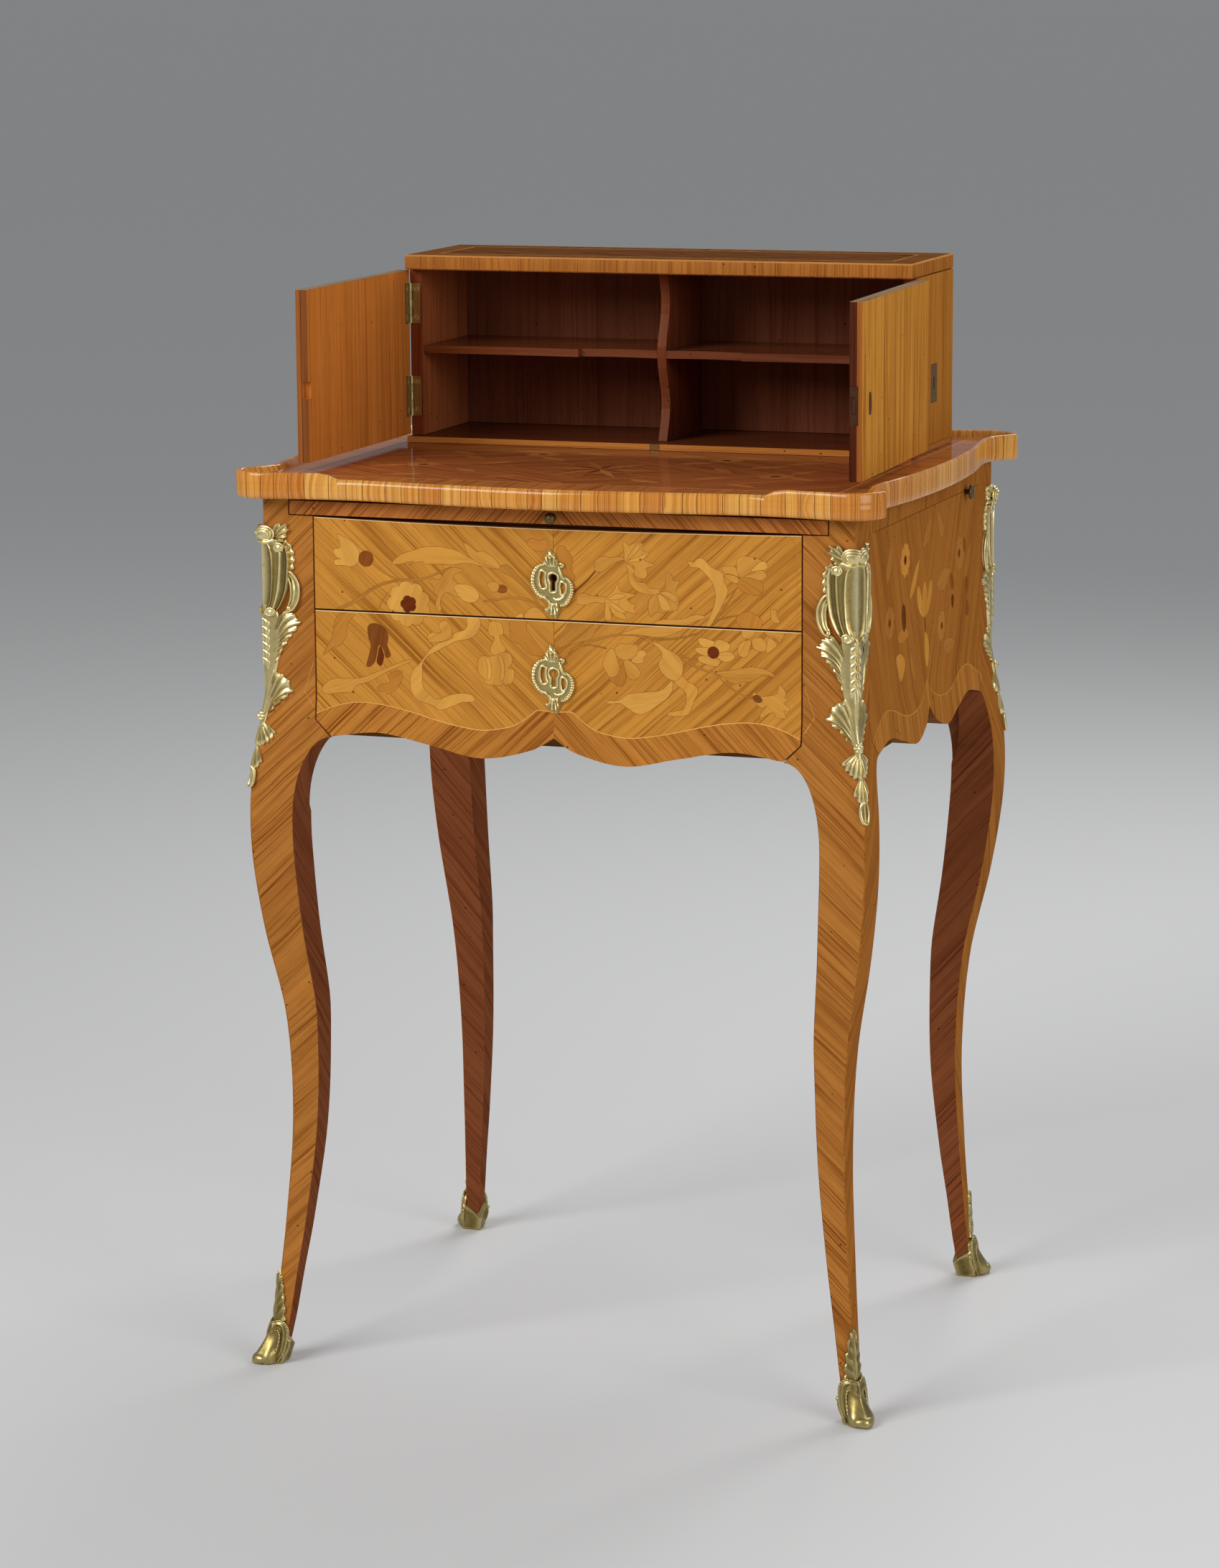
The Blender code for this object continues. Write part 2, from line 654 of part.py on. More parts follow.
def mount_section(height, width, crest, x_sign, y_sign):
    """An angle that wraps a leg's outer corner, thick at the corner and thin at its two edges."""
    x_out, y_out = outer_corner(height, y_sign > 0)
    edge = GAP + min(MOUNT_EDGE, crest / 2)
    top = GAP + crest
    plan = [
        (width, -GAP), (-GAP, -GAP), (-GAP, width), (-edge, width),
        (-top, CREST_PLACE * width), (-CREST_CORNER * top, -CREST_CORNER * top),
        (CREST_PLACE * width, -top), (width, -edge),
    ]
    return [(x_sign * (x_out - a), y_sign * (y_out - b), height) for a, b in plan]


def shoe_section(height, x_sign, y_sign):
    x_out, y_out = outer_corner(height, y_sign > 0)
    thick = leg_thickness(height)
    toe = TOE_REACH * smooth(SHOE_TOE, height / SHOE_TOP)
    far = thick + SHOE_MARGIN
    plan = [
        (-toe, TOE_PLACE * thick), (-TOE_CORNER * toe, -TOE_CORNER * toe), (TOE_PLACE * thick, -toe),
        (far, -SHOE_MARGIN), (far, far), (-SHOE_MARGIN, far),
    ]
    return [(x_sign * (x_out - a), y_sign * (y_out - b), height) for a, b in plan]


def make_mounts():
    for corner, x_sign, y_sign in CORNERS:
        chute = []
        for share, reach in CHUTE_OUTLINE:
            height = UNDER_TOP - CHUTE_DROP - CHUTE_LENGTH * share
            crest = CHUTE_RELIEF * smooth(CHUTE_CREST, share)
            chute.append(mount_section(height, CHUTE_REACH * reach, crest, x_sign, y_sign))
        piece("chute_" + corner, loft(chute), GILT)
        shoe = loft([shoe_section(share * SHOE_TOP, x_sign, y_sign) for share, _ in SHOE_TOE])
        shoe = piece("sabot_" + corner, shoe, GILT)
        leaf_heights = [SHOE_TOP - SHOE_LEAF_LAP]
        leaf_heights += spread(SHOE_TOP + GAP, SHOE_LEAF_TOP, SHOE_LEAF_STATIONS)
        leaf = []
        for height in leaf_heights:
            share = min(1.0, (SHOE_LEAF_TOP - height) / (SHOE_LEAF_TOP - SHOE_TOP))
            width = SHOE_LEAF_TIP + (leg_thickness(height) - SHOE_LEAF_TIP) * share
            leaf.append(mount_section(height, width, SHOE_LEAF_CREST, x_sign, y_sign))
        combine(shoe, tool("sabot_leaf_" + corner, loft(leaf)), "UNION")


# Case

def apron_line(rises, notch, tip, tip_height):
    """The lower edge of an apron from its tip to the middle, as (distance, height) points."""
    points = [(share * tip, APRON_LOW + notch * rise) for share, rise in rises] + [(tip, tip_height)]
    places = []
    for (a, _), (b, _) in zip(points, points[1:]):
        places += [a + (b - a) * k / APRON_STEPS for k in range(APRON_STEPS)]
    places.append(tip)
    return [(place, smooth(points, place)) for place in reversed(places)]


def make_panels():
    edge = SIDE_OPENING - GAP
    tip = SIDE_TIP - GAP
    half = [(edge, CASE_TOP), (edge, SIDE_JOINT_HEIGHT + GAP)]
    half += apron_line(SIDE_APRON, SIDE_NOTCH, tip, TIP_HEIGHT + 2 * GAP)
    for side, sign in (("left", -1), ("right", 1)):
        shape = prism(mirror_outline(half), sign * PANEL_INNER, sign * CASE_HALF_WIDTH, "X")
        panel = piece("side_panel_" + side, bulge(shape, 0, sign * CASE_HALF_WIDTH, sign), TULIPWOOD)
        if side == "right":
            bore_depth = RELEASE_STEM_LENGTH + RELEASE_TRAVEL + 2 * GAP
            bore = turned(
                [(-OVERSHOOT, RELEASE_STEM_RADIUS + GAP), (bore_depth, RELEASE_STEM_RADIUS + GAP)],
                (CASE_HALF_WIDTH, RELEASE_Y, RELEASE_Z), (-1, 0, 0), SMALL_ROUND,
            )
            combine(panel, tool("release_bore", bore))
    width = DRAWER_OPENING - GAP
    back = [
        (width, CASE_TOP), (width, JOINT_HEIGHT + GAP), (FRONT_TIP - GAP, TIP_HEIGHT + 2 * GAP),
    ]
    shape = prism(mirror_outline(back), BACK_INNER, CASE_HALF_DEPTH, "Y")
    piece("back_panel", bulge(shape, 1, CASE_HALF_DEPTH, 1), CARCASS_WOOD)


def notched_board(low, high):
    """A board between the side panels, notched at its corners to pass between the stiles."""
    wide, narrow = PANEL_INNER - GAP, DRAWER_OPENING - GAP
    front, rear = FRONT_BACK + 2 * GAP, BACK_INNER - GAP
    run = BOARD_HALF_LENGTH
    right = [
        (narrow, rear), (narrow, run), (wide, run), (wide, -run), (narrow, -run), (narrow, front),
    ]
    left = [(-x, y) for x, y in reversed(right)]
    return prism(right + left, low, high, "Z")


def make_inside():
    board = notched_board(SLIDE_BOARD_UNDER, SLIDE_BOARD_TOP)
    slide_board = piece("slide_dustboard", board, CARCASS_WOOD)
    for side, sign in (("left", -1), ("right", 1)):
        span = sorted((sign * (SLIDE_HALF_WIDTH + GAP), sign * (PANEL_INNER - 2 * GAP)))
        run = (-BOARD_HALF_LENGTH + GAP, BOARD_HALF_LENGTH - GAP)
        guide = box(span, run, ((SLIDE_BOARD_UNDER + SLIDE_BOARD_TOP) / 2, SLIDE_TOP))
        combine(slide_board, tool("slide_guide_" + side, guide), "UNION")
    keeper = box(
        (-BOLT_WIDTH / 2 - FRONT_GAP, BOLT_WIDTH / 2 + FRONT_GAP),
        (BOLT_FRONT - FRONT_GAP, BOLT_BACK + FRONT_GAP),
        (SLIDE_BOARD_UNDER - GAP, BOLT_TOP + BOLT_TRAVEL + GAP),
    )
    combine(slide_board, tool("bolt_keeper", keeper))
    piece("drawer_dustboard", notched_board(RAIL_UNDER, RAIL_TOP), CARCASS_WOOD)
    width = PANEL_INNER - GAP
    depth = SIDE_TIP - FRONT_GAP
    floor = box((-width, width), (-depth, depth), (BOTTOM_UNDER, BOTTOM_TOP))
    piece("case_bottom", floor, CARCASS_WOOD)


# Writing slide

def turned_knob(base, along):
    """A small flattened knob on a waist and a foot, with its stem behind the base point."""
    profile = [(-KNOB_STEM_LENGTH, KNOB_STEM_RADIUS), (GAP, KNOB_STEM_RADIUS)]
    profile.append((GAP + STEP, KNOB_FOOT * KNOB_RADIUS))
    profile += [(far * KNOB_LENGTH, share * KNOB_RADIUS) for far, share in KNOB_PROFILE]
    return turned(profile, base, along)


def make_slide():
    carrier = carrier_at("slide_carrier", (0, FRONT_PLANE, SLIDE_UNDER))
    width = (-SLIDE_HALF_WIDTH, SLIDE_HALF_WIDTH)
    depth = (FRONT_PLANE, FRONT_PLANE + SLIDE_LENGTH)
    board = piece("writing_slide", box(width, depth, (SLIDE_UNDER, SLIDE_TOP)), TULIPWOOD, carrier)
    middle = (0, FRONT_PLANE, (SLIDE_UNDER + SLIDE_TOP) / 2)
    bore = turned(
        [(-OVERSHOOT, KNOB_STEM_RADIUS + GAP), (KNOB_STEM_LENGTH + GAP, KNOB_STEM_RADIUS + GAP)],
        middle, (0, 1, 0), SMALL_ROUND,
    )
    combine(board, tool("knob_bore", bore, carrier))
    piece("slide_knob", turned_knob(middle, (0, -1, 0)), DARK_BRASS, carrier)


# Drawers

def keyhole(height, low, high):
    """A keyhole cutter: a round eye over a tapering slot."""
    start = math.radians(-60)
    sweep = math.radians(300)
    eye = spread(start, start + sweep, SMALL_ROUND + 1)
    outline = [
        (KEYHOLE_RADIUS * math.cos(a), height + KEYHOLE_RADIUS * math.sin(a)) for a in eye
    ]
    outline += [(-KEYHOLE_SLOT / 2, height - KEYHOLE_DROP), (KEYHOLE_SLOT / 2, height - KEYHOLE_DROP)]
    return prism(outline, low, high, "Y")


def escutcheon(height):
    """A scrolled keyhole plate, leaning a little to one side, higher than it is wide."""
    outline = []
    for k in range(ESCUTCHEON_POINTS):
        a = 2 * math.pi * k / ESCUTCHEON_POINTS
        reach = SCROLL_MEAN + SCROLL_LOBES * math.cos(4 * a) + SCROLL_LEAN * math.sin(3 * a + 0.8)
        x = ESCUTCHEON_WIDTH / 2 * reach * math.cos(a)
        z = height + ESCUTCHEON_HEIGHT / 2 * reach * math.sin(a)
        outline.append((x, z))
    low = FRONT_PLANE - GAP - ESCUTCHEON_THICKNESS
    return prism(outline, low, FRONT_PLANE - GAP, "Y")


def drawer_box(name, under, top, carrier):
    """The dovetailed sides and back of a drawer, and its bottom board."""
    outer, inner = BOX_HALF_WIDTH, BOX_HALF_WIDTH - BOX_SIDE
    back_face = BOX_REAR - BOX_BACK
    right = [(inner, back_face), (inner, BOX_FRONT), (outer, BOX_FRONT), (outer, BOX_REAR)]
    left = [(-x, y) for x, y in reversed(right)]
    piece(name + "_box", prism(right + left, under, top, "Z"), CARCASS_WOOD, carrier)
    low = under + BOX_BOTTOM_RAISE
    bottom = box((-inner + GAP, inner - GAP), (BOX_FRONT, back_face - GAP), (low, low + BOX_BOTTOM))
    piece(name + "_bottom", bottom, CARCASS_WOOD, carrier)


def make_upper_drawer():
    carrier = carrier_at("upper_drawer_carrier", (0, FRONT_PLANE, RAIL_TOP))
    width = DRAWER_OPENING - FRONT_GAP
    low = FRONTS_JOINT + GAP
    shares = spread(1.0, 0.0, FRONT_TOP_STEPS + 1)
    top = [(width * share, UPPER_FRONT_TOP - FRONT_TOP_DIP * (1 - share**2)) for share in shares]
    left = [(-x, z) for x, z in reversed(top) if x > 0]
    shape = prism([(width, low)] + top + left + [(-width, low)], FRONT_PLANE, FRONT_BACK, "Y")
    front = piece("upper_drawer_front", shape, TULIPWOOD, carrier)
    plate = piece("upper_escutcheon", escutcheon(UPPER_KEYHOLE_Z), GILT, carrier)
    through = (FRONT_PLANE - 3 * ESCUTCHEON_THICKNESS, FRONT_BACK + OVERSHOOT)
    hole = tool("upper_keyhole", keyhole(UPPER_KEYHOLE_Z, *through), carrier)
    combine(front, hole)
    combine(plate, hole)
    drawer_box("upper_drawer", RAIL_TOP + GAP, UPPER_BOX_TOP, carrier)
    make_drawer_lock(carrier)


def make_drawer_lock(carrier):
    top = UPPER_BOX_TOP - GAP
    width = (-LOCK_WIDTH / 2, LOCK_WIDTH / 2)
    body = box(width, (BOX_FRONT, BOX_FRONT + LOCK_DEPTH), (top - LOCK_HEIGHT, top))
    lock = piece("upper_drawer_lock", body, LOCK_STEEL, carrier)
    half = BOLT_WIDTH / 2
    channel = box(
        (-half - GAP, half + GAP), (BOLT_FRONT - GAP, BOLT_BACK + GAP),
        (BOLT_TOP - BOLT_LENGTH - GAP, top + OVERSHOOT),
    )
    combine(lock, tool("bolt_channel", channel, carrier))
    bolt_carrier = carrier_at("upper_bolt_carrier", (0, BOLT_FRONT, BOLT_TOP))
    bolt = box((-half, half), (BOLT_FRONT, BOLT_BACK), (BOLT_TOP - BOLT_LENGTH, BOLT_TOP))
    piece("upper_lock_bolt", bolt, DARK_BRASS, bolt_carrier)


def make_lower_drawer():
    carrier = carrier_at("lower_drawer_carrier", (0, FRONT_PLANE, BOTTOM_TOP))
    width = DRAWER_OPENING - FRONT_GAP
    high = FRONTS_JOINT - GAP
    half = [(width, high), (width, JOINT_HEIGHT + FRONT_GAP)]
    half += apron_line(FRONT_APRON, FRONT_NOTCH, FRONT_TIP - FRONT_GAP, TIP_HEIGHT + FRONT_GAP)
    shape = prism(mirror_outline(half), FRONT_PLANE, FRONT_BACK, "Y")
    piece("lower_drawer_front", bulge(shape, 1, FRONT_PLANE, -1), TULIPWOOD, carrier)
    plate = piece("lower_escutcheon", escutcheon(LOWER_KEYHOLE_Z), GILT, carrier)
    hole = keyhole(LOWER_KEYHOLE_Z, FRONT_PLANE - 3 * ESCUTCHEON_THICKNESS, FRONT_PLANE)
    combine(plate, tool("lower_keyhole", hole, carrier))
    drawer_box("lower_drawer", BOTTOM_TOP + GAP, RAIL_UNDER - BOX_HEADROOM, carrier)


# Upper cabinet

def make_cabinet():
    wide = (-CABINET_HALF_WIDTH, CABINET_HALF_WIDTH)
    deep = (CABINET_FRONT, CABINET_REAR)
    piece("cabinet_top", box(wide, deep, (CABINET_CEILING, CABINET_ROOF)), CABINET_WOOD)
    floor = piece("cabinet_floor", box(wide, deep, (CABINET_UNDER, CABINET_FLOOR_TOP)), CABINET_WOOD)
    seat = box(
        (-STRIKE_HALF_WIDTH - GAP, STRIKE_HALF_WIDTH + GAP),
        (CABINET_FRONT - OVERSHOOT, CABINET_FRONT + PLATE_THICKNESS + GAP),
        (CABINET_UNDER - OVERSHOOT, CABINET_FLOOR_TOP + OVERSHOOT),
    )
    combine(floor, tool("strike_seat", seat))
    strike = box(
        (-STRIKE_HALF_WIDTH, STRIKE_HALF_WIDTH), (CABINET_FRONT, CABINET_FRONT + PLATE_THICKNESS),
        (CABINET_UNDER, CABINET_FLOOR_TOP),
    )
    piece("door_strike_plate", strike, DARK_BRASS)
    back_width = CABINET_INNER - GAP
    back = box((-back_width, back_width), (CABINET_BACK_FACE, CABINET_REAR), CABINET_INSIDE)
    piece("cabinet_back", back, CABINET_WOOD)
    make_divider()
    make_shelves()


def make_divider():
    rest = SIDE_EDGE + DIVIDER_SET_BACK
    middle = SHELF_UNDER + SHELF_THICKNESS / 2
    front = [
        (rest - DIVIDER_WAVE * math.cos(2 * math.pi * (height - middle) / DIVIDER_WAVE_LENGTH), height)
        for height in spread(*CABINET_INSIDE, DIVIDER_STATIONS)
    ]
    rear = CABINET_BACK_FACE - GAP
    outline = front + [(rear, CABINET_INSIDE[1]), (rear, CABINET_INSIDE[0])]
    half = DIVIDER_THICKNESS / 2
    piece("cabinet_divider", prism(outline, -half, half, "X"), CABINET_WOOD)


def make_shelves():
    """Two half shelves with a shaped front: full outside, stepped back towards the divider."""
    inner = DIVIDER_THICKNESS / 2 + GAP
    outer = CABINET_INNER - GAP
    front = SIDE_EDGE + SHELF_SET_BACK
    rear = CABINET_BACK_FACE - GAP
    stepped_back = front + SHELF_STEP
    outline = []
    for share in spread(0.0, 1.0, SHELF_STATIONS):
        hollow = SHELF_HOLLOW * math.sin(math.pi * share)
        outline.append((outer + (SHELF_STEP_X - outer) * share, front + hollow))
    for share in spread(0.0, 1.0, SHELF_STATIONS):
        bow = SHELF_BOW * math.sin(math.pi * share)
        start = SHELF_STEP_X - SHELF_SHOULDER
        outline.append((start + (inner - start) * share, stepped_back + bow))
    outline += [(inner, rear), (outer, rear)]
    for side, sign in (("left", -1), ("right", 1)):
        shape = prism([(sign * x, y) for x, y in outline], SHELF_UNDER, SHELF_TOP, "Z")
        piece("cabinet_shelf_" + side, shape, CABINET_WOOD)


# Hinges: places are measured from the hinge axis, inward along the door and back into the cabinet

def leaf_plate(sign, facing):
    """Inward and depth spans of a leaf, which lies behind the axis on the case and before it on the door."""
    inward = sorted((sign * (BARREL_RADIUS + 2 * GAP), sign * LEAF_REACH))
    near = GAP / 2
    depth = sorted((facing * near, facing * (near + LEAF_THICKNESS)))
    return inward, depth


def hinge_cut(sign, facing, base):
    """A cutter for one hinge: a shallow seat for the leaf and a deeper notch for the barrel."""
    clear = BARREL_RADIUS + 2 * GAP
    seat = GAP / 2 + LEAF_THICKNESS + GAP
    outline = [
        (-clear, -clear), (LEAF_REACH + GAP, -clear), (LEAF_REACH + GAP, seat), (clear, seat),
        (clear, clear), (-clear, clear),
    ]
    return [(sign * a, facing * b) for a, b in outline], base - GAP, base + HINGE_HEIGHT + GAP


def make_leaf(name, sign, part, facing, base, carrier):
    """One hinge leaf with its knuckles; sign points inward from the axis, facing into its host."""
    axis_x = -sign * CABINET_HALF_WIDTH
    inward, depth = leaf_plate(sign, facing)
    plate = box(
        [axis_x + a for a in inward], [HINGE_Y + b for b in depth], (base, base + HINGE_HEIGHT),
    )
    leaf = piece(name, plate, DARK_BRASS, carrier)
    step = HINGE_HEIGHT / KNUCKLES
    first = 0 if part == "case" else 1
    knuckles = [
        knuckle(sign, facing, axis_x, base + k * step + GAP / 2, base + (k + 1) * step - GAP / 2)
        for k in range(first, KNUCKLES, 2)
    ]
    combine(leaf, tool(name + "_knuckles", together(knuckles), carrier), "UNION")
    radius = PIN_RADIUS + GAP
    bore = turned(
        [(-OVERSHOOT, radius), (HINGE_HEIGHT + OVERSHOOT, radius)],
        (axis_x, HINGE_Y, base), (0, 0, 1), SMALL_ROUND,
    )
    combine(leaf, tool(name + "_bore", bore, carrier))


def seat_hinges(host, sign, facing, carrier):
    """Cut the seats of a door's two hinges into the door or into the cabinet's side."""
    axis_x = -sign * CABINET_HALF_WIDTH
    for base in HINGE_BASES:
        outline, low, high = hinge_cut(sign, facing, base)
        seat = prism([(axis_x + a, HINGE_Y + b) for a, b in outline], low, high, "Z")
        combine(host, tool(host.name + "_hinge_seat", seat, carrier))


def make_pin(name, axis_x, base):
    profile = [
        (0, PIN_TIP_RADIUS), (PIN_TAPER, PIN_RADIUS), (HINGE_HEIGHT - PIN_TAPER, PIN_RADIUS),
        (HINGE_HEIGHT, PIN_TIP_RADIUS),
    ]
    piece(name, turned(profile, (axis_x, HINGE_Y, base), (0, 0, 1), SMALL_ROUND), DARK_BRASS)


def knuckle(sign, facing, axis_x, low, high):
    """A hinge knuckle with a tongue that runs into its leaf."""
    near = GAP / 2 + STEP
    far = GAP / 2 + LEAF_THICKNESS - STEP
    start = math.asin(far / BARREL_RADIUS)
    finish = 2 * math.pi + math.asin(near / BARREL_RADIUS)
    turns = spread(start, finish, ROUND)
    tongue = BARREL_RADIUS + TONGUE_LAP
    outline = [(BARREL_RADIUS * math.cos(a), BARREL_RADIUS * math.sin(a)) for a in turns]
    outline += [(tongue, near), (tongue, far)]
    plan = [(axis_x + sign * a, HINGE_Y + facing * b) for a, b in outline]
    return prism(plan, low, high, "Z")


def make_doors():
    for side, sign, opening in (("left", 1, -LEFT_DOOR_OPEN), ("right", -1, RIGHT_DOOR_OPEN)):
        axis_x = -sign * CABINET_HALF_WIDTH
        carrier = carrier_at(side + "_door_carrier", (axis_x, HINGE_Y, 0))
        depth = (CABINET_FRONT, DOOR_INNER_FACE)
        span = sorted((axis_x, axis_x + sign * DOOR_LENGTH))
        door = piece("door_" + side, box(span, depth, (DOOR_UNDER, DOOR_TOP)), CABINET_WOOD, carrier)
        span = sorted((axis_x, axis_x + sign * CABINET_SIDE))
        wall = box(span, (SIDE_EDGE, CABINET_REAR), CABINET_INSIDE)
        case_side = piece("cabinet_side_" + side, wall, CABINET_WOOD)
        seat_hinges(case_side, sign, 1, None)
        seat_hinges(door, sign, -1, carrier)
        for level, base in zip(("lower", "upper"), HINGE_BASES):
            hinge = side + "_" + level + "_hinge_"
            make_leaf(hinge + "case_leaf", sign, "case", 1, base, None)
            make_leaf(hinge + "door_leaf", sign, "door", -1, base, carrier)
            make_pin(hinge + "pin", axis_x, base)
        fit_door_lock(side, sign, axis_x, door, carrier)
        if side == "right":
            fit_side_plate(case_side)
        carrier.rotation_euler = (0, 0, math.radians(opening))


def fit_door_lock(side, sign, axis_x, door, carrier):
    """The lock on the right door, its bolt and keyhole, and the bolt's mortise in the left door."""
    free_end = axis_x + sign * DOOR_LENGTH
    lock_front = DOOR_INNER_FACE - DOOR_LOCK_RECESS
    bolt_middle = lock_front + DOOR_LOCK_DEPTH / 2
    bolt_depth = (bolt_middle - DOOR_BOLT_THICKNESS / 2, bolt_middle + DOOR_BOLT_THICKNESS / 2)
    bolt_height = (DOOR_LOCK_Z - DOOR_BOLT_HEIGHT / 2, DOOR_LOCK_Z + DOOR_BOLT_HEIGHT / 2)
    if side == "left":
        mortise = box(
            (free_end - DOOR_BOLT_TRAVEL - DOOR_MEETING_GAP, free_end + OVERSHOOT),
            (bolt_depth[0] - FRONT_GAP, bolt_depth[1] + DOOR_THICKNESS),
            (bolt_height[0] - FRONT_GAP, bolt_height[1] + FRONT_GAP),
        )
        combine(door, tool("bolt_mortise", mortise, carrier))
        return
    low, high = DOOR_LOCK_Z - DOOR_LOCK_HEIGHT / 2, DOOR_LOCK_Z + DOOR_LOCK_HEIGHT / 2
    seat = box(
        (free_end - OVERSHOOT, free_end + DOOR_LOCK_LENGTH + GAP),
        (lock_front - GAP, DOOR_INNER_FACE + OVERSHOOT), (low - GAP, high + GAP),
    )
    combine(door, tool("door_lock_seat", seat, carrier))
    keyhole_x = free_end + DOOR_KEYHOLE_INSET
    slot = box(
        (keyhole_x - RIM_HALF_WIDTH + RIM_WALL, keyhole_x + RIM_HALF_WIDTH - RIM_WALL),
        (CABINET_FRONT - OVERSHOOT, lock_front + OVERSHOOT),
        (DOOR_LOCK_Z - DOOR_KEYHOLE_HEIGHT / 2, DOOR_LOCK_Z + DOOR_KEYHOLE_HEIGHT / 2),
    )
    combine(door, tool("door_keyhole", slot, carrier))
    depth = (lock_front, lock_front + DOOR_LOCK_DEPTH)
    body = box((free_end + GAP, free_end + DOOR_LOCK_LENGTH), depth, (low, high))
    lock = piece("door_lock", body, LOCK_STEEL, carrier)
    channel = box(
        (free_end - OVERSHOOT, free_end + DOOR_BOLT_LENGTH + 2 * GAP),
        (bolt_depth[0] - GAP, bolt_depth[1] + GAP), (bolt_height[0] - GAP, bolt_height[1] + GAP),
    )
    combine(lock, tool("door_bolt_channel", channel, carrier))
    bolt = box((free_end + GAP, free_end + GAP + DOOR_BOLT_LENGTH), bolt_depth, bolt_height)
    piece("door_lock_bolt", bolt, DARK_BRASS, carrier)
    make_keyhole_rim(keyhole_x, carrier)


def make_keyhole_rim(keyhole_x, carrier):
    """A thin oval rim round the keyhole, on the door's outer face."""
    turns = [2 * math.pi * k / ROUND for k in range(ROUND)]

    def oval(wall):
        return [
            (keyhole_x + (RIM_HALF_WIDTH - wall) * math.cos(a),
             DOOR_LOCK_Z + (RIM_HALF_HEIGHT - wall) * math.sin(a)) for a in turns
        ]

    face = CABINET_FRONT - GAP
    rim = piece("door_keyhole_rim", prism(oval(0), face - RIM_THICKNESS, face, "Y"), DARK_BRASS, carrier)
    hole = prism(oval(RIM_WALL), face - RIM_THICKNESS - OVERSHOOT, face + OVERSHOOT, "Y")
    combine(rim, tool("rim_hole", hole, carrier))


def fit_side_plate(case_side):
    """A small plate with a keyhole slot, let into the cabinet's right side."""
    half_y, half_z = SIDE_PLATE_WIDTH / 2, SIDE_PLATE_HEIGHT / 2
    seat = box(
        (CABINET_HALF_WIDTH - PLATE_THICKNESS - GAP, CABINET_HALF_WIDTH + OVERSHOOT),
        (SIDE_PLATE_Y - half_y - GAP, SIDE_PLATE_Y + half_y + GAP),
        (SIDE_PLATE_Z - half_z - GAP, SIDE_PLATE_Z + half_z + GAP),
    )
    combine(case_side, tool("side_plate_seat", seat))
    plate = piece("cabinet_side_plate", box(
        (CABINET_HALF_WIDTH - PLATE_THICKNESS, CABINET_HALF_WIDTH),
        (SIDE_PLATE_Y - half_y, SIDE_PLATE_Y + half_y), (SIDE_PLATE_Z - half_z, SIDE_PLATE_Z + half_z),
    ), DARK_BRASS)
    slot = box(
        (CABINET_HALF_WIDTH - 2 * PLATE_THICKNESS, CABINET_HALF_WIDTH + PLATE_THICKNESS),
        (SIDE_PLATE_Y - KEYHOLE_SLOT / 2, SIDE_PLATE_Y + KEYHOLE_SLOT / 2),
        (SIDE_PLATE_Z - KEYHOLE_DROP / 2, SIDE_PLATE_Z + KEYHOLE_DROP / 2),
    )
    combine(plate, tool("side_plate_slot", slot))


def make_release_knob():
    carrier = carrier_at("release_carrier", (CASE_HALF_WIDTH, RELEASE_Y, RELEASE_Z))
    top = RELEASE_STAND_OFF + RELEASE_HEAD
    rim = RELEASE_RADIUS - RELEASE_EDGE
    profile = [
        (-RELEASE_STEM_LENGTH, RELEASE_STEM_RADIUS), (RELEASE_STAND_OFF, RELEASE_STEM_RADIUS),
        (RELEASE_STAND_OFF + STEP, rim), (RELEASE_STAND_OFF + RELEASE_EDGE, RELEASE_RADIUS),
        (top - RELEASE_EDGE, RELEASE_RADIUS), (top, rim),
    ]
    knob = turned(profile, (CASE_HALF_WIDTH, RELEASE_Y, RELEASE_Z), (1, 0, 0))
    piece("release_knob", knob, DARK_BRASS, carrier)


def main():
    clear_scene()
    make_top()
    make_legs()
    make_mounts()
    make_panels()
    make_inside()
    make_slide()
    make_upper_drawer()
    make_lower_drawer()
    make_cabinet()
    make_doors()
    make_release_knob()


main()
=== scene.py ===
# The looks of a lady's writing table with an upper cabinet: striped tulipwood veneer, floral marquetry,
# gilt mounts, and the studio they stand in. Lengths are in metres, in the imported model's frame. The
# marquetry and the ornament of the mounts are drawn in millimetres.

import json
import math
import random

import bmesh
import bpy
from mathutils import Matrix, Vector
from mathutils.geometry import delaunay_2d_cdt

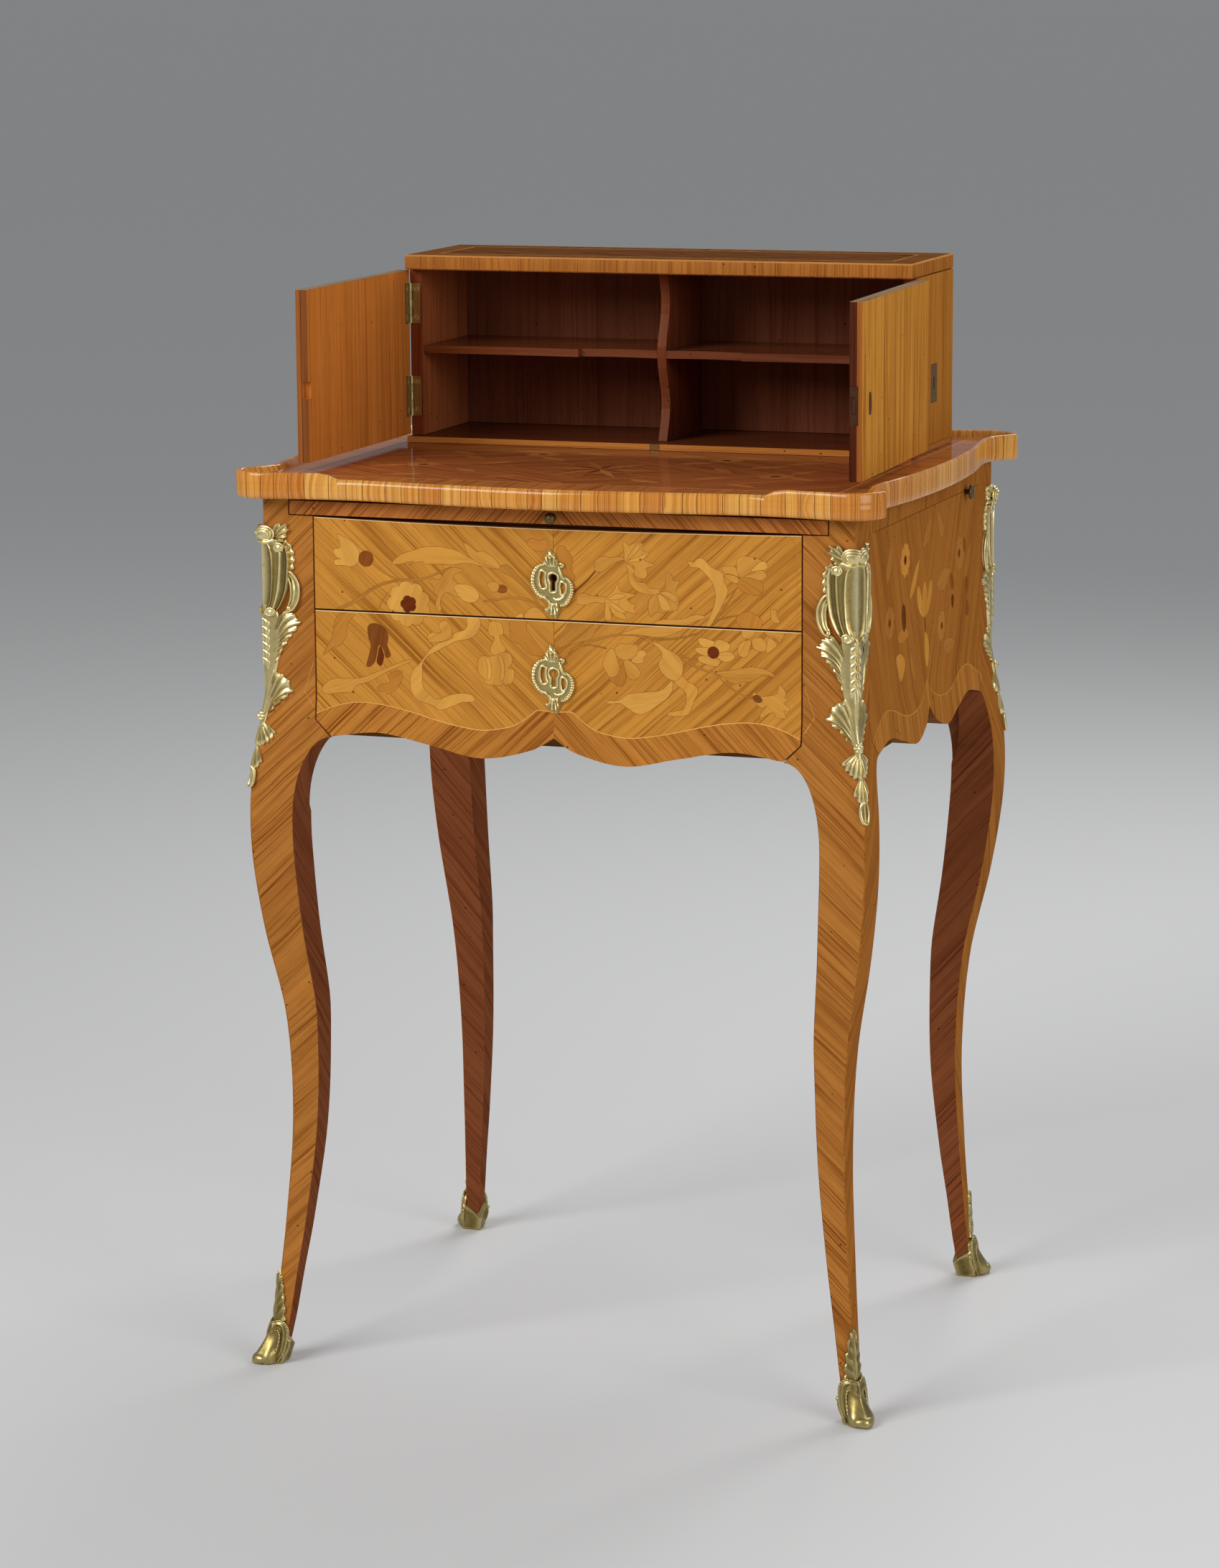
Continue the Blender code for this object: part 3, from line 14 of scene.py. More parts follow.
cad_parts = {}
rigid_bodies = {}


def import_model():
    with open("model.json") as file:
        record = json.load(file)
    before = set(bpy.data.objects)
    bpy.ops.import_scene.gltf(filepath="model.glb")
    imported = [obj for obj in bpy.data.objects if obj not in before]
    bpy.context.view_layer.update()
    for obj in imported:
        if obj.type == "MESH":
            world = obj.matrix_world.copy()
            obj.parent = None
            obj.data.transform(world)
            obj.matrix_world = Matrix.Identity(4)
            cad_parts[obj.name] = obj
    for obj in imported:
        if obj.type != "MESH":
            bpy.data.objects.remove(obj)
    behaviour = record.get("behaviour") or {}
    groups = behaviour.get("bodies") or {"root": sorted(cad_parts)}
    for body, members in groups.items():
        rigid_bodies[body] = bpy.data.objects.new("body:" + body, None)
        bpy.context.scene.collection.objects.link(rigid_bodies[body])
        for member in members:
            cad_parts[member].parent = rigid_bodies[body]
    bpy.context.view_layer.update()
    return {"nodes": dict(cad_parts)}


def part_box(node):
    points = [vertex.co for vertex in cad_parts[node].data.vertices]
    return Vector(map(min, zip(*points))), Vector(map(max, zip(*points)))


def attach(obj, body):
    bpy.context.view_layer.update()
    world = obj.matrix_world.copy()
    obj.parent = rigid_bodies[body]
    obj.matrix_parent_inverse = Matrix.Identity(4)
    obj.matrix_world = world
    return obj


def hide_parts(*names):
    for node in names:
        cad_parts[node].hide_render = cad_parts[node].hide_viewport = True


for thing in list(bpy.data.objects):
    bpy.data.objects.remove(thing, do_unlink=True)

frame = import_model()
nodes = frame["nodes"]

MM = 0.001
TINY = 1e-9

# Sizes that the frame's boxes don't give, as in the solids
GAP = 0.0003
FRONT_GAP = 0.0008
SIDE_OVERHANG = 0.019
SIDE_NECK_DEPTH = 0.0125
SIDE_NECK_FROM_BACK = 0.062
SIDE_BOW = 0.28
FRONT_NECK_DEPTH = 0.0145
FRONT_NECK_FROM_END = 0.097
FRONT_BOW = 0.40
EAR_RADIUS = 0.026
EAR_FROM_END = 0.0233
EAR_FROM_FRONT = 0.0315
EAR_TURNS = (-4, 20, 45, 72, 102)
LIP_PAST_NECK = 0.005
LIP_RUN_OUT = 0.012
SLIDE_POST = 0.0235
STILE_DEPTH = 0.030
FRONT_THICKNESS = 0.016
FRONT_TOP_DIP = 0.0025
CASE_DROP = 0.1932
ARCH_RISE = 0.0678
FRONT_EAR = 0.0138
SIDE_EAR = 0.0130
LOBE_DROP = 0.0098
UPPER_KEYHOLE_RISE = 0.034
LOWER_KEYHOLE_DROP = 0.042
FRONT_NOTCH = 0.0190
SIDE_NOTCH = 0.0235
FRONT_APRON = ((0.0, 1.0), (0.0945, 0.447), (0.3176, 0.0), (0.551, 0.421), (0.787, 0.816))
SIDE_APRON = ((0.0, 1.0), (0.089, 0.468), (0.299, 0.043), (0.541, 0.383), (0.764, 0.702))
KNEE_SWING = 0.0118
KNEE_THICKNESS = 0.0380
LEG_SWING = (
    (0.0, 0.68), (0.064, 0.25), (0.140, -0.085), (0.232, -0.466), (0.390, -0.915), (0.5525, -0.678),
    (0.692, 0.339), (0.792, 0.864), (0.858, 1.0), (0.924, 0.89), (0.999, 0.39), (1.060, 0.0),
)
LEG_THICKNESS = (
    (0.0, 0.316), (0.064, 0.355), (0.140, 0.408), (0.232, 0.487), (0.3225, 0.553), (0.415, 0.618),
    (0.507, 0.689), (0.600, 0.803), (0.692, 0.908), (0.792, 0.987), (0.858, 1.0),
)
LEG_FOOT = 0.034
LEG_INNER_SHARE = 0.92
BACK_LEG_DRAW_IN = 0.0165
DRAW_IN_CURVE = 1.3
DOOR_LENGTH = 0.2214

# Places taken from the frame
TOP_LOW, TOP_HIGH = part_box("table_top")
SLIDE_LOW, SLIDE_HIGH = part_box("writing_slide")
UPPER_LOW, UPPER_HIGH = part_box("upper_drawer_front")
LOWER_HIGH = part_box("lower_drawer_front")[1]
PANEL_LOW, PANEL_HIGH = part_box("side_panel_right")
ROOF_LOW, ROOF_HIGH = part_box("cabinet_top")
LIP_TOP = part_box("top_lip")[1].z
TABLE_HEIGHT = TOP_HIGH.z
UNDER_TOP = TOP_LOW.z
FRONT_PLANE = SLIDE_LOW.y
FRONT_BACK = FRONT_PLANE + FRONT_THICKNESS
FRONTS_JOINT = (UPPER_LOW.z + LOWER_HIGH.z) / 2
CASE_HALF_DEPTH = -FRONT_PLANE
CASE_HALF_WIDTH = SLIDE_HIGH.x + SLIDE_POST
CASE_TOP = UNDER_TOP - GAP
TOP_HALF_WIDTH = CASE_HALF_WIDTH + SIDE_OVERHANG
TOP_HALF_DEPTH = TOP_HIGH.y
FRONT_NECK = TOP_HALF_WIDTH - FRONT_NECK_FROM_END
SIDE_NECK = TOP_HALF_DEPTH - SIDE_NECK_FROM_BACK
DRAWER_OPENING = UPPER_HIGH.x + FRONT_GAP
SLIDE_OPENING = SLIDE_HIGH.x + FRONT_GAP
SLIDE_NOTCH = SLIDE_LOW.z - FRONT_GAP
SIDE_OPENING = PANEL_HIGH.y + GAP
STILE_WIDTH = CASE_HALF_WIDTH - SLIDE_OPENING
TIP_HEIGHT = UNDER_TOP - CASE_DROP
ARCH_BASE = TIP_HEIGHT - ARCH_RISE
APRON_LOW = TIP_HEIGHT - LOBE_DROP
FRONT_TIP = DRAWER_OPENING - FRONT_EAR
SIDE_TIP = SIDE_OPENING - SIDE_EAR
JOINT_HEIGHT = TIP_HEIGHT + FRONT_EAR
SIDE_JOINT_HEIGHT = TIP_HEIGHT + SIDE_EAR
CORNERS = (
    ("front_left", -1, -1), ("front_right", 1, -1), ("back_left", -1, 1), ("back_right", 1, 1),
)

# Each door's side, the way it runs from its hinges when shut, and how far it stands open in degrees
DOORS = (("left", 1, -90.0), ("right", -1, 92.0))

# How finely the veneered forms are cut
LEG_END = 0.004
LEG_RINGS = 46
ARCH_RINGS = 14
KNEE_RINGS = 7
KNEE_RINGS_FROM = TIP_HEIGHT + 0.004
KNEE_RINGS_TO = 0.566
ARRIS_RADIUS = 0.0016
ARRIS_TURNS = (0, 30, 60, 90)
BEND_LEVELS = 12
BEND_TOP = 0.564


def srgb(red, green, blue):
    """A linear colour from the eight-bit values it should show."""
    return tuple(((v / 255 + 0.055) / 1.055) ** 2.4 if v > 10 else v / 3294.6 for v in (red, green, blue))


# Wood tones
FIELD = srgb(201, 139, 58)
BAND = srgb(188, 124, 54)
STILE = srgb(180, 118, 54)
# Inner faces of the legs: a redder wood tone, darkened as painted shade
LEG_INSIDE_SHADED = srgb(130, 74, 44)
SIDE_FIELD = srgb(170, 108, 46)
SIDE_FAINT = srgb(182, 120, 54)
SIDE_PALE = srgb(206, 142, 60)
SIDE_BROWN = srgb(112, 62, 24)
PALE = srgb(206, 146, 64)
PALER = srgb(214, 156, 72)
TAN = srgb(190, 126, 52)
BROWN = srgb(126, 72, 30)
OLIVE = srgb(184, 126, 54)
RUST = srgb(146, 84, 36)
DARK_RED = srgb(112, 52, 22)
JOINT = srgb(96, 52, 22)
SEAM = srgb(126, 74, 32)
SHADED = srgb(52, 28, 14)
STRING = srgb(222, 168, 92)
# Painted highlight along the top edges of the drawer fronts
ARRIS_HIGHLIGHT = srgb(238, 206, 156)
FRONT_SIDES = srgb(150, 92, 46)
BARE = srgb(126, 84, 46)
BACK_PANEL = srgb(150, 92, 42)
SLIDE = srgb(190, 118, 58)
TOP_FIELD = srgb(168, 96, 52)
TOP_BAND = srgb(182, 110, 56)
TOP_RAY = srgb(184, 114, 58)
TOP_DARK = srgb(116, 62, 32)
EDGE_TONES = (srgb(222, 158, 72), srgb(216, 148, 64), srgb(206, 134, 56), srgb(224, 164, 80))
ROOF_FIELD = srgb(112, 70, 38)
ROOF_BAND = srgb(126, 80, 42)
ROOF_EDGE = srgb(176, 112, 50)
ROOF_ARRIS = srgb(204, 142, 72)
ROOF_UNDER = srgb(120, 60, 34)
CABINET_GOLD = srgb(180, 118, 48)
CABINET_RED = srgb(124, 70, 48)
LEFT_WALL = srgb(166, 94, 54)
WALL_EDGE = srgb(132, 66, 36)
CABINET_FLOOR = srgb(104, 52, 30)
FLOOR_STRIP = srgb(200, 130, 60)
CABINET_SHELF = srgb(120, 64, 36)
CABINET_DIVIDER = srgb(120, 64, 38)
DOOR_OUTER = srgb(205, 142, 61)
DOOR_INNER = srgb(210, 128, 54)
DOOR_WORN = srgb(150, 128, 104)
LEFT_DOOR_EDGE = srgb(160, 96, 48), srgb(140, 84, 44)
RIGHT_DOOR_EDGE = srgb(164, 98, 46), srgb(80, 40, 26)


# Curves and points

def smooth(points, place):
    """Height at a place on a smooth curve through (place, height) points, level beyond its ends."""
    if place <= points[0][0]:
        return points[0][1]
    if place >= points[-1][0]:
        return points[-1][1]
    last = len(points) - 1
    k = max(i for i in range(last) if points[i][0] <= place)

    def slope(i):
        a, b = points[max(i - 1, 0)], points[min(i + 1, last)]
        return (b[1] - a[1]) / (b[0] - a[0])

    (p0, v0), (p1, v1) = points[k], points[k + 1]
    span = p1 - p0
    t = (place - p0) / span
    keep = 2 * t**3 - 3 * t**2 + 1
    lead = t**3 - 2 * t**2 + t
    trail = t**3 - t**2
    return keep * v0 + (1 - keep) * v1 + span * (lead * slope(k) + trail * slope(k + 1))


def spline(points, steps, closed=False):
    """Points on a smooth curve through the given ones, in two or three dimensions."""
    points = [Vector(p) for p in points]
    count = len(points)
    curve = []
    for i in range(count if closed else count - 1):
        if closed:
            p0, p1, p2, p3 = (points[(i + k - 1) % count] for k in range(4))
        else:
            p1, p2 = points[i], points[i + 1]
            p0 = points[i - 1] if i else 2 * p1 - p2
            p3 = points[i + 2] if i + 2 < count else 2 * p2 - p1
        for step in range(steps):
            t = step / steps
            bend = (2 * p0 - 5 * p1 + 4 * p2 - p3) * t**2 + (3 * p1 - p0 - 3 * p2 + p3) * t**3
            curve.append(p1 + ((p2 - p0) * t + bend) / 2)
    if not closed:
        curve.append(points[-1])
    return curve


def spread(low, high, count):
    """Evenly spaced numbers from low to high."""
    return [low + (high - low) * i / (count - 1) for i in range(count)]


def on_circle(x, y, radius, degrees):
    return [(x + radius * math.cos(a), y + radius * math.sin(a)) for a in map(math.radians, degrees)]


def in_mm(points):
    """The first two coordinates of points, in millimetres."""
    return [(point[0] / MM, point[1] / MM) for point in points]


def mirrored(half):
    """An outline from its half that ends on the middle line."""
    return half + [(-a, b) for a, b in reversed(half) if a > 0]


def distances(path):
    """How far along a path each of its points lies."""
    reach = [0.0]
    for a, b in zip(path, path[1:]):
        reach.append(reach[-1] + (b - a).length)
    return reach


def point_along(path, reach, stop):
    """The point at a distance along a path, and the path's direction there."""
    last = len(path) - 1
    k = min(max(i for i, r in enumerate(reach) if r <= stop + TINY), last - 1)
    point = path[k].lerp(path[k + 1], (stop - reach[k]) / max(reach[k + 1] - reach[k], TINY))
    return point, (path[min(k + 2, last)] - path[max(k - 1, 0)]).normalized()


# Materials

WHITE = (1.0, 1.0, 1.0)

# Layers of a wood's figure: seed, frequency per metre across the grain, length of its streaks, detail
FIGURE = {
    "wander": (3.0, 22.0, 2.0, 2.0),
    "broad": (0.0, 48.0, 18.0, 2.0),
    "crowd": (4.0, 120.0, 34.0, 1.0),
    "streak": (5.0, 270.0, 60.0, 2.0),
    "line": (1.0, 880.0, 130.0, 2.0),
    "pore": (2.0, 2400.0, 45.0, 1.0),
    "ring": (7.0, 330.0, 1.0, 2.0),
    "thread": (8.0, 1100.0, 1.0, 2.0),
}
WANDER_REACH = 0.006
WORM_HOLES_PER_METRE = 62.0

# What each layer multiplies the tone by
BROAD_STOPS = ((0.32, (0.84, 0.78, 0.73)), (0.50, WHITE), (0.68, (1.10, 1.10, 1.06)))
STREAK_STOPS = (
    (0.33, (0.56, 0.44, 0.35)), (0.44, (0.90, 0.86, 0.81)), (0.51, WHITE), (0.68, (1.06, 1.06, 1.02)),
)
LINE_STOPS = ((0.38, (0.44, 0.32, 0.25)), (0.47, (0.80, 0.72, 0.65)), (0.53, WHITE))
PORE_STOPS = ((0.34, (0.62, 0.52, 0.42)), (0.44, WHITE))
HOLE_STOPS = ((0.045, (0.34, 0.24, 0.18)), (0.075, WHITE))
RING_STOPS = (
    (0.36, (0.74, 0.56, 0.38)), (0.46, (0.92, 0.85, 0.74)), (0.54, WHITE), (0.68, (1.07, 1.07, 1.02)),
)
THREAD_STOPS = ((0.36, (0.62, 0.46, 0.32)), (0.47, WHITE))
GRIME_STOPS = ((0.36, (0.58, 0.56, 0.50)), (0.52, WHITE), (0.68, (1.10, 1.10, 1.12)))
BUMP_DEPTH = 0.0003


def add_node(tree, kind, inputs=None, **settings):
    """A shader node with its settings, and its inputs linked to sockets or set to values."""
    made = tree.nodes.new("ShaderNode" + kind)
    for key, value in settings.items():
        setattr(made, key, value)
    for key, value in (inputs or {}).items():
        if isinstance(value, bpy.types.NodeSocket):
            tree.links.new(value, made.inputs[key])
        else:
            made.inputs[key].default_value = value
    return made


def calc(tree, operation, first, second=0.0):
    return add_node(tree, "Math", {0: first, 1: second}, operation=operation).outputs[0]


def choose(tree, factor, first, second):
    return add_node(tree, "Mix", {0: factor, 2: first, 3: second}, data_type="FLOAT").outputs[0]


def mix_colour(tree, blend, factor, first, second):
    made = add_node(tree, "Mix", {0: factor, 6: first, 7: second}, data_type="RGBA", blend_type=blend)
    return made.outputs[2]


def ramp(tree, factor, stops):
    made = add_node(tree, "ValToRGB", {0: factor})
    elements = made.color_ramp.elements
    while len(elements) < len(stops):
        elements.new(0.5)
    for element, (place, colour) in zip(elements, stops):
        element.position = place
        element.color = (*colour, 1.0)
    return made.outputs["Color"]


def shade(tree, colour, share, factor, stops):
    """A colour multiplied, by a share, by a ramp of colours."""
    return mix_colour(tree, "MULTIPLY", share, colour, ramp(tree, factor, stops))


def map_range(tree, value, from_min, from_max, to_min, to_max):
    return add_node(tree, "MapRange", {
        "Value": value, "From Min": from_min, "From Max": from_max, "To Min": to_min, "To Max": to_max,
    }).outputs[0]


def figure(tree, layer, across, along, seed=0.0):
    """A layer of a wood's figure: noise drawn out along the grain."""
    offset, frequency, stretch, detail = FIGURE[layer]
    vector = add_node(tree, "CombineXYZ", {
        0: calc(tree, "MULTIPLY", across, frequency),
        1: calc(tree, "MULTIPLY", along, frequency / stretch),
        2: seed + offset,
    }).outputs[0]
    return add_node(tree, "TexNoise", {"Vector": vector, "Scale": 1.0, "Detail": detail}).outputs["Fac"]


def attribute(tree, name, output):
    return add_node(tree, "Attribute", attribute_name=name).outputs[output]


def new_material(name):
    material = bpy.data.materials.new(name)
    material.use_nodes = True
    return material, material.node_tree, material.node_tree.nodes["Principled BSDF"]


def add_bump(tree, shader, strength, height):
    bump = add_node(tree, "Bump", {"Strength": strength, "Distance": BUMP_DEPTH, "Height": height})
    tree.links.new(bump.outputs[0], shader.inputs["Normal"])


def face_plane(tree):
    """The place on a surface, and the two coordinates in its plane: across it and up, or across and back
    on flat tops."""
    coordinates = add_node(tree, "TexCoord")
    where = coordinates.outputs["Object"]
    place = add_node(tree, "SeparateXYZ", {0: where}).outputs
    facing = add_node(tree, "SeparateXYZ", {0: coordinates.outputs["Normal"]}).outputs
    x, y, z = (calc(tree, "ABSOLUTE", facing[k]) for k in range(3))
    flat = calc(tree, "GREATER_THAN", z, calc(tree, "MAXIMUM", x, y))
    side = calc(tree, "GREATER_THAN", x, calc(tree, "MAXIMUM", y, z))
    return where, choose(tree, side, place[0], place[1]), choose(tree, flat, place[2], place[1])


def beyond(tree, where, planes):
    """One where a place lies beyond every plane, each a direction and a distance along it."""
    mask = None
    for direction, limit in planes:
        reach = add_node(tree, "VectorMath", {0: where, 1: direction}, operation="DOT_PRODUCT")
        past = calc(tree, "GREATER_THAN", reach.outputs["Value"], limit)
        mask = past if mask is None else calc(tree, "MULTIPLY", mask, past)
    return mask


def finish_wood(tree, shader, colour, grain, roughness, coat):
    tree.links.new(colour, shader.inputs["Base Color"])
    sheen = map_range(tree, grain, 0.0, 1.0, roughness + 0.08, roughness - 0.05)
    tree.links.new(sheen, shader.inputs["Roughness"])
    add_bump(tree, shader, 0.10, grain)
    shader.inputs["Specular IOR Level"].default_value = 0.0
    shader.inputs["Coat Weight"].default_value = coat
    shader.inputs["Coat Roughness"].default_value = 0.09


def turned(tree, u, v, turn):
    """Coordinates along and across a grain that is turned in its plane."""
    cosine, sine = calc(tree, "COSINE", turn), calc(tree, "SINE", turn)
    u_cosine, u_sine, v_cosine, v_sine = (
        calc(tree, "MULTIPLY", a, b) for a, b in ((u, cosine), (u, sine), (v, cosine), (v, sine))
    )
    return calc(tree, "ADD", u_cosine, v_sine), calc(tree, "SUBTRACT", v_cosine, u_sine)


def wood(name, look=None, seed=0.0, roughness=0.40, coat=0.02, zones=(), mirrored_grain=False):
    """Veneer: crowds of fine dark lines along the grain over a base tone. Tone, grain angle and strength
    of the lines are given as a look, or come from the mesh's own attributes. Zones give another tone to
    what lies beyond some planes."""
    material, tree, shader = new_material(name)
    where, u, v = face_plane(tree)
    if mirrored_grain:
        u = calc(tree, "ABSOLUTE", u)
    if look:
        tint, turn, stripe = (*look[0], 1.0), math.radians(look[1]), look[2]
    else:
        tint = attribute(tree, "tint", "Color")
        turn, stripe = attribute(tree, "turn", "Fac"), attribute(tree, "stripe", "Fac")
    for tone, planes in zones:
        tint = mix_colour(tree, "MIX", beyond(tree, where, planes), tint, (*tone, 1.0))
    along, across = turned(tree, u, v, turn)
    wander = figure(tree, "wander", across, along, seed)
    across = calc(tree, "ADD", across, calc(tree, "MULTIPLY", wander, WANDER_REACH))
    broad, crowd, streak, line, pore = (
        figure(tree, layer, across, along, seed) for layer in ("broad", "crowd", "streak", "line", "pore")
    )
    crowding = map_range(tree, crowd, 0.40, 0.62, 0.12, 1.0)
    colour = shade(tree, tint, 0.85, broad, BROAD_STOPS)
    colour = shade(tree, colour, calc(tree, "MULTIPLY", stripe, 0.8), streak, STREAK_STOPS)
    colour = shade(tree, colour, calc(tree, "MULTIPLY", stripe, crowding), line, LINE_STOPS)
    colour = shade(tree, colour, 0.35, pore, PORE_STOPS)
    holes = add_node(tree, "TexVoronoi", {"Vector": where, "Scale": WORM_HOLES_PER_METRE})
    colour = shade(tree, colour, 0.9, holes.outputs["Distance"], HOLE_STOPS)
    finish_wood(tree, shader, colour, line, roughness, coat)
    return material


def ringed_wood(name, roughness=0.32, coat=0.75):
    """Blocks of cross-cut wood: curved rings round a centre of each block's own."""
    material, tree, shader = new_material(name)
    height = add_node(tree, "SeparateXYZ", {0: add_node(tree, "TexCoord").outputs["Object"]}).outputs[2]
    centre = add_node(tree, "SeparateXYZ", {0: attribute(tree, "rings", "Vector")}).outputs
    aside = calc(tree, "SUBTRACT", attribute(tree, "station", "Fac"), centre[0])
    above = calc(tree, "MULTIPLY", calc(tree, "SUBTRACT", height, centre[1]), centre[2])
    squares = [calc(tree, "MULTIPLY", side, side) for side in (aside, above)]
    reach = calc(tree, "SQRT", calc(tree, "ADD", *squares))
    thread = figure(tree, "thread", reach, centre[0])
    colour = attribute(tree, "tint", "Color")
    colour = shade(tree, colour, 0.9, figure(tree, "ring", reach, centre[0]), RING_STOPS)
    colour = shade(tree, colour, 0.6, thread, THREAD_STOPS)
    finish_wood(tree, shader, colour, thread, roughness, coat)
    return material


def metal(name, light, mid, dark, roughness=0.33):
    """Old cast metal: patina with painted shade in the hollows, rubbed gilt with painted highlight on the
    edges, patchy, with fine pits.
    """
    material, tree, shader = new_material(name)
    where = add_node(tree, "TexCoord").outputs["Object"]
    patches, pits = (
        add_node(tree, "TexNoise", {"Vector": where, "Scale": scale, "Detail": detail}).outputs["Fac"]
        for scale, detail in ((140.0, 4.0), (900.0, 3.0))
    )
    # Pointiness darkens hollows and lightens edges: patina and rubbed gilt, with painted shade and painted
    # highlight
    edge = add_node(tree, "NewGeometry").outputs["Pointiness"]
    wear_and_shading = calc(tree, "ADD", edge, calc(tree, "MULTIPLY", calc(tree, "SUBTRACT", patches, 0.5), 0.04))
    colour = ramp(tree, wear_and_shading, ((0.42, dark), (0.485, mid), (0.54, light)))
    colour = shade(tree, colour, 0.3, patches, GRIME_STOPS)
    tree.links.new(colour, shader.inputs["Base Color"])
    shader.inputs["Metallic"].default_value = 1.0
    dull = map_range(tree, patches, 0.3, 0.7, roughness + 0.12, roughness - 0.08)
    tree.links.new(dull, shader.inputs["Roughness"])
    add_bump(tree, shader, 0.25, pits)
    return material


veneer = wood("striped_veneer")
polished = wood("polished_top_veneer", roughness=0.24, coat=0.5)
edging = ringed_wood("edge_blocks")
roof = wood("cabinet_roof_veneer", roughness=0.44)
gilt = metal("gilt_bronze", srgb(238, 222, 166), srgb(170, 147, 88), srgb(72, 60, 32))
# Darker gilt: rubbed gilding with painted shade, for the shoes and for the sunk sheets of the keyhole plates
worn_and_shaded_gilt = metal("worn_and_shaded_gilt", srgb(188, 170, 114), srgb(122, 104, 54), srgb(54, 43, 21))
brass = metal("dark_brass", srgb(170, 150, 104), srgb(112, 94, 58), srgb(46, 36, 20), 0.40)
screw = metal("screw_brass", srgb(206, 188, 138), srgb(150, 130, 82), srgb(70, 58, 34), 0.34)
bronze = metal("dark_bronze", srgb(112, 94, 60), srgb(72, 58, 36), srgb(38, 30, 18), 0.40)
old_brass = metal("old_brass", srgb(136, 102, 56), srgb(88, 64, 32), srgb(40, 28, 14), 0.45)
steel = metal("lock_steel", srgb(84, 56, 40), srgb(62, 38, 26), srgb(34, 22, 16), 0.5)


# Mesh builders. A look is a tone, a grain angle in degrees from the horizontal, and a stripe strength. A
# fourth value, the centre of a block's rings, puts a face in the piece's second material.

def new_shape():
    shape = bmesh.new()
    shape.faces.layers.float_color.new("tint")
    shape.faces.layers.float.new("turn")
    shape.faces.layers.float.new("stripe")
    shape.faces.layers.float_vector.new("rings")
    shape.verts.layers.float.new("station")
    return shape


def paint(shape, face, look):
    tint, turn, stripe, *rings = look
    face[shape.faces.layers.float_color["tint"]] = (*tint, 1.0)
    face[shape.faces.layers.float["turn"]] = math.radians(turn)
    face[shape.faces.layers.float["stripe"]] = stripe
    if rings:
        face[shape.faces.layers.float_vector["rings"]] = rings[0]
        face.material_index = 1


def add_face(shape, verts, look):
    """A painted face, or nothing where the same face is there already."""
    try:
        face = shape.faces.new(verts)
    except ValueError:
        return None
    paint(shape, face, look)
    return face


def loft(shape, rings, look, capped=True, closed=True):
    """Skin rings of points; look is one look, or a function of the ring and the side."""
    rows = [[shape.verts.new(point) for point in ring] for ring in rings]
    find = look if callable(look) else lambda ring, side: look
    for r, (lower, upper) in enumerate(zip(rows, rows[1:])):
        for i in range(len(lower) if closed else len(lower) - 1):
            j = (i + 1) % len(lower)
            add_face(shape, (lower[i], lower[j], upper[j], upper[i]), find(r, i))
    if capped:
        add_face(shape, list(reversed(rows[0])), find(0, 0))
        add_face(shape, rows[-1], find(len(rows) - 2, 0))
    return rows


def add_piece(name, shape, body, materials, replaced=(), angle=38):
    bmesh.ops.recalc_face_normals(shape, faces=shape.faces)
    mesh = bpy.data.meshes.new(name)
    shape.to_mesh(mesh)
    shape.free()
    made = bpy.data.objects.new(name, mesh)
    bpy.context.scene.collection.objects.link(made)
    for material in materials:
        mesh.materials.append(material)
    mesh.shade_smooth()
    mesh.set_sharp_from_angle(angle=math.radians(angle))
    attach(made, body)
    if replaced:
        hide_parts(*replaced)
    return made


def counter_clockwise(loop):
    area = sum(a[0] * b[1] - b[0] * a[1] for a, b in zip(loop, loop[1:] + loop[:1]))
    return loop if area > 0 else list(reversed(loop))


def inlay(shape, outline, base, layers, place, holes=()):
    """Cut a face into its inlaid pieces, later layers over earlier ones, and return the faces. Patterns
    are in millimetres on the face, and place turns a point of it into space."""
    inside_only, weld = 1, 0.004
    points, loops, looks = [], [], []
    for loop, look in [(outline, base)] + list(layers) + [(hole, None) for hole in holes]:
        loop = counter_clockwise([tuple(p) for p in loop])
        loops.append(list(range(len(points), len(points) + len(loop))))
        points += [Vector(p) for p in loop]
        looks.append(look)
    coords, _, triangles, _, _, owners = delaunay_2d_cdt(points, [], loops, inside_only, weld)
    verts = {}
    faces = []
    for triangle, owner in zip(triangles, owners):
        if 0 not in owner or looks[max(owner)] is None:
            continue
        for i in triangle:
            if i not in verts:
                verts[i] = shape.verts.new(place(*coords[i]))
        faces.append(add_face(shape, [verts[i] for i in triangle], looks[max(owner)]))
    return [face for face in faces if face]


def thicken(shape, faces, depth, look):
    """Give an inlaid face its sides and back: depth moves a front point to the back."""
    twins = {}
    for face in faces:
        for vert in face.verts:
            if vert not in twins:
                twins[vert] = shape.verts.new(depth(vert.co))
    for face in faces:
        for edge in face.edges:
            if len(edge.link_faces) == 1:
                a, b = edge.verts
                add_face(shape, (a, b, twins[b], twins[a]), look)
    for face in faces:
        add_face(shape, [twins[vert] for vert in reversed(face.verts)], look)


# Legs

LEG_OUTER_SIDES = (0, 1, 2, 9, 10)
LEG_FRONT_SIDE = 3
STILE_STRING = ((206.2, 590.0), (214.5, 566.5), (206.2, 553.6))
STRING_HALF = 0.0004
STRING_PROUD = 0.00008
STRING_SUNK = 0.0004


def swing(height):
    """How far the legs and the case bulge out at a height."""
    return KNEE_SWING * smooth(LEG_SWING, height / TIP_HEIGHT)


def leg_thickness(height):
    return KNEE_THICKNESS * smooth(LEG_THICKNESS, height / TIP_HEIGHT)


def outer_corner(height, back):
    """Where a leg's outer corner stands at a height, as distances from the middle of the table."""
    below = max(0.0, 1 - height / ARCH_BASE)
    draw_in = BACK_LEG_DRAW_IN * below**DRAW_IN_CURVE if back else 0.0
    return CASE_HALF_WIDTH + swing(height) - draw_in, CASE_HALF_DEPTH + swing(height)


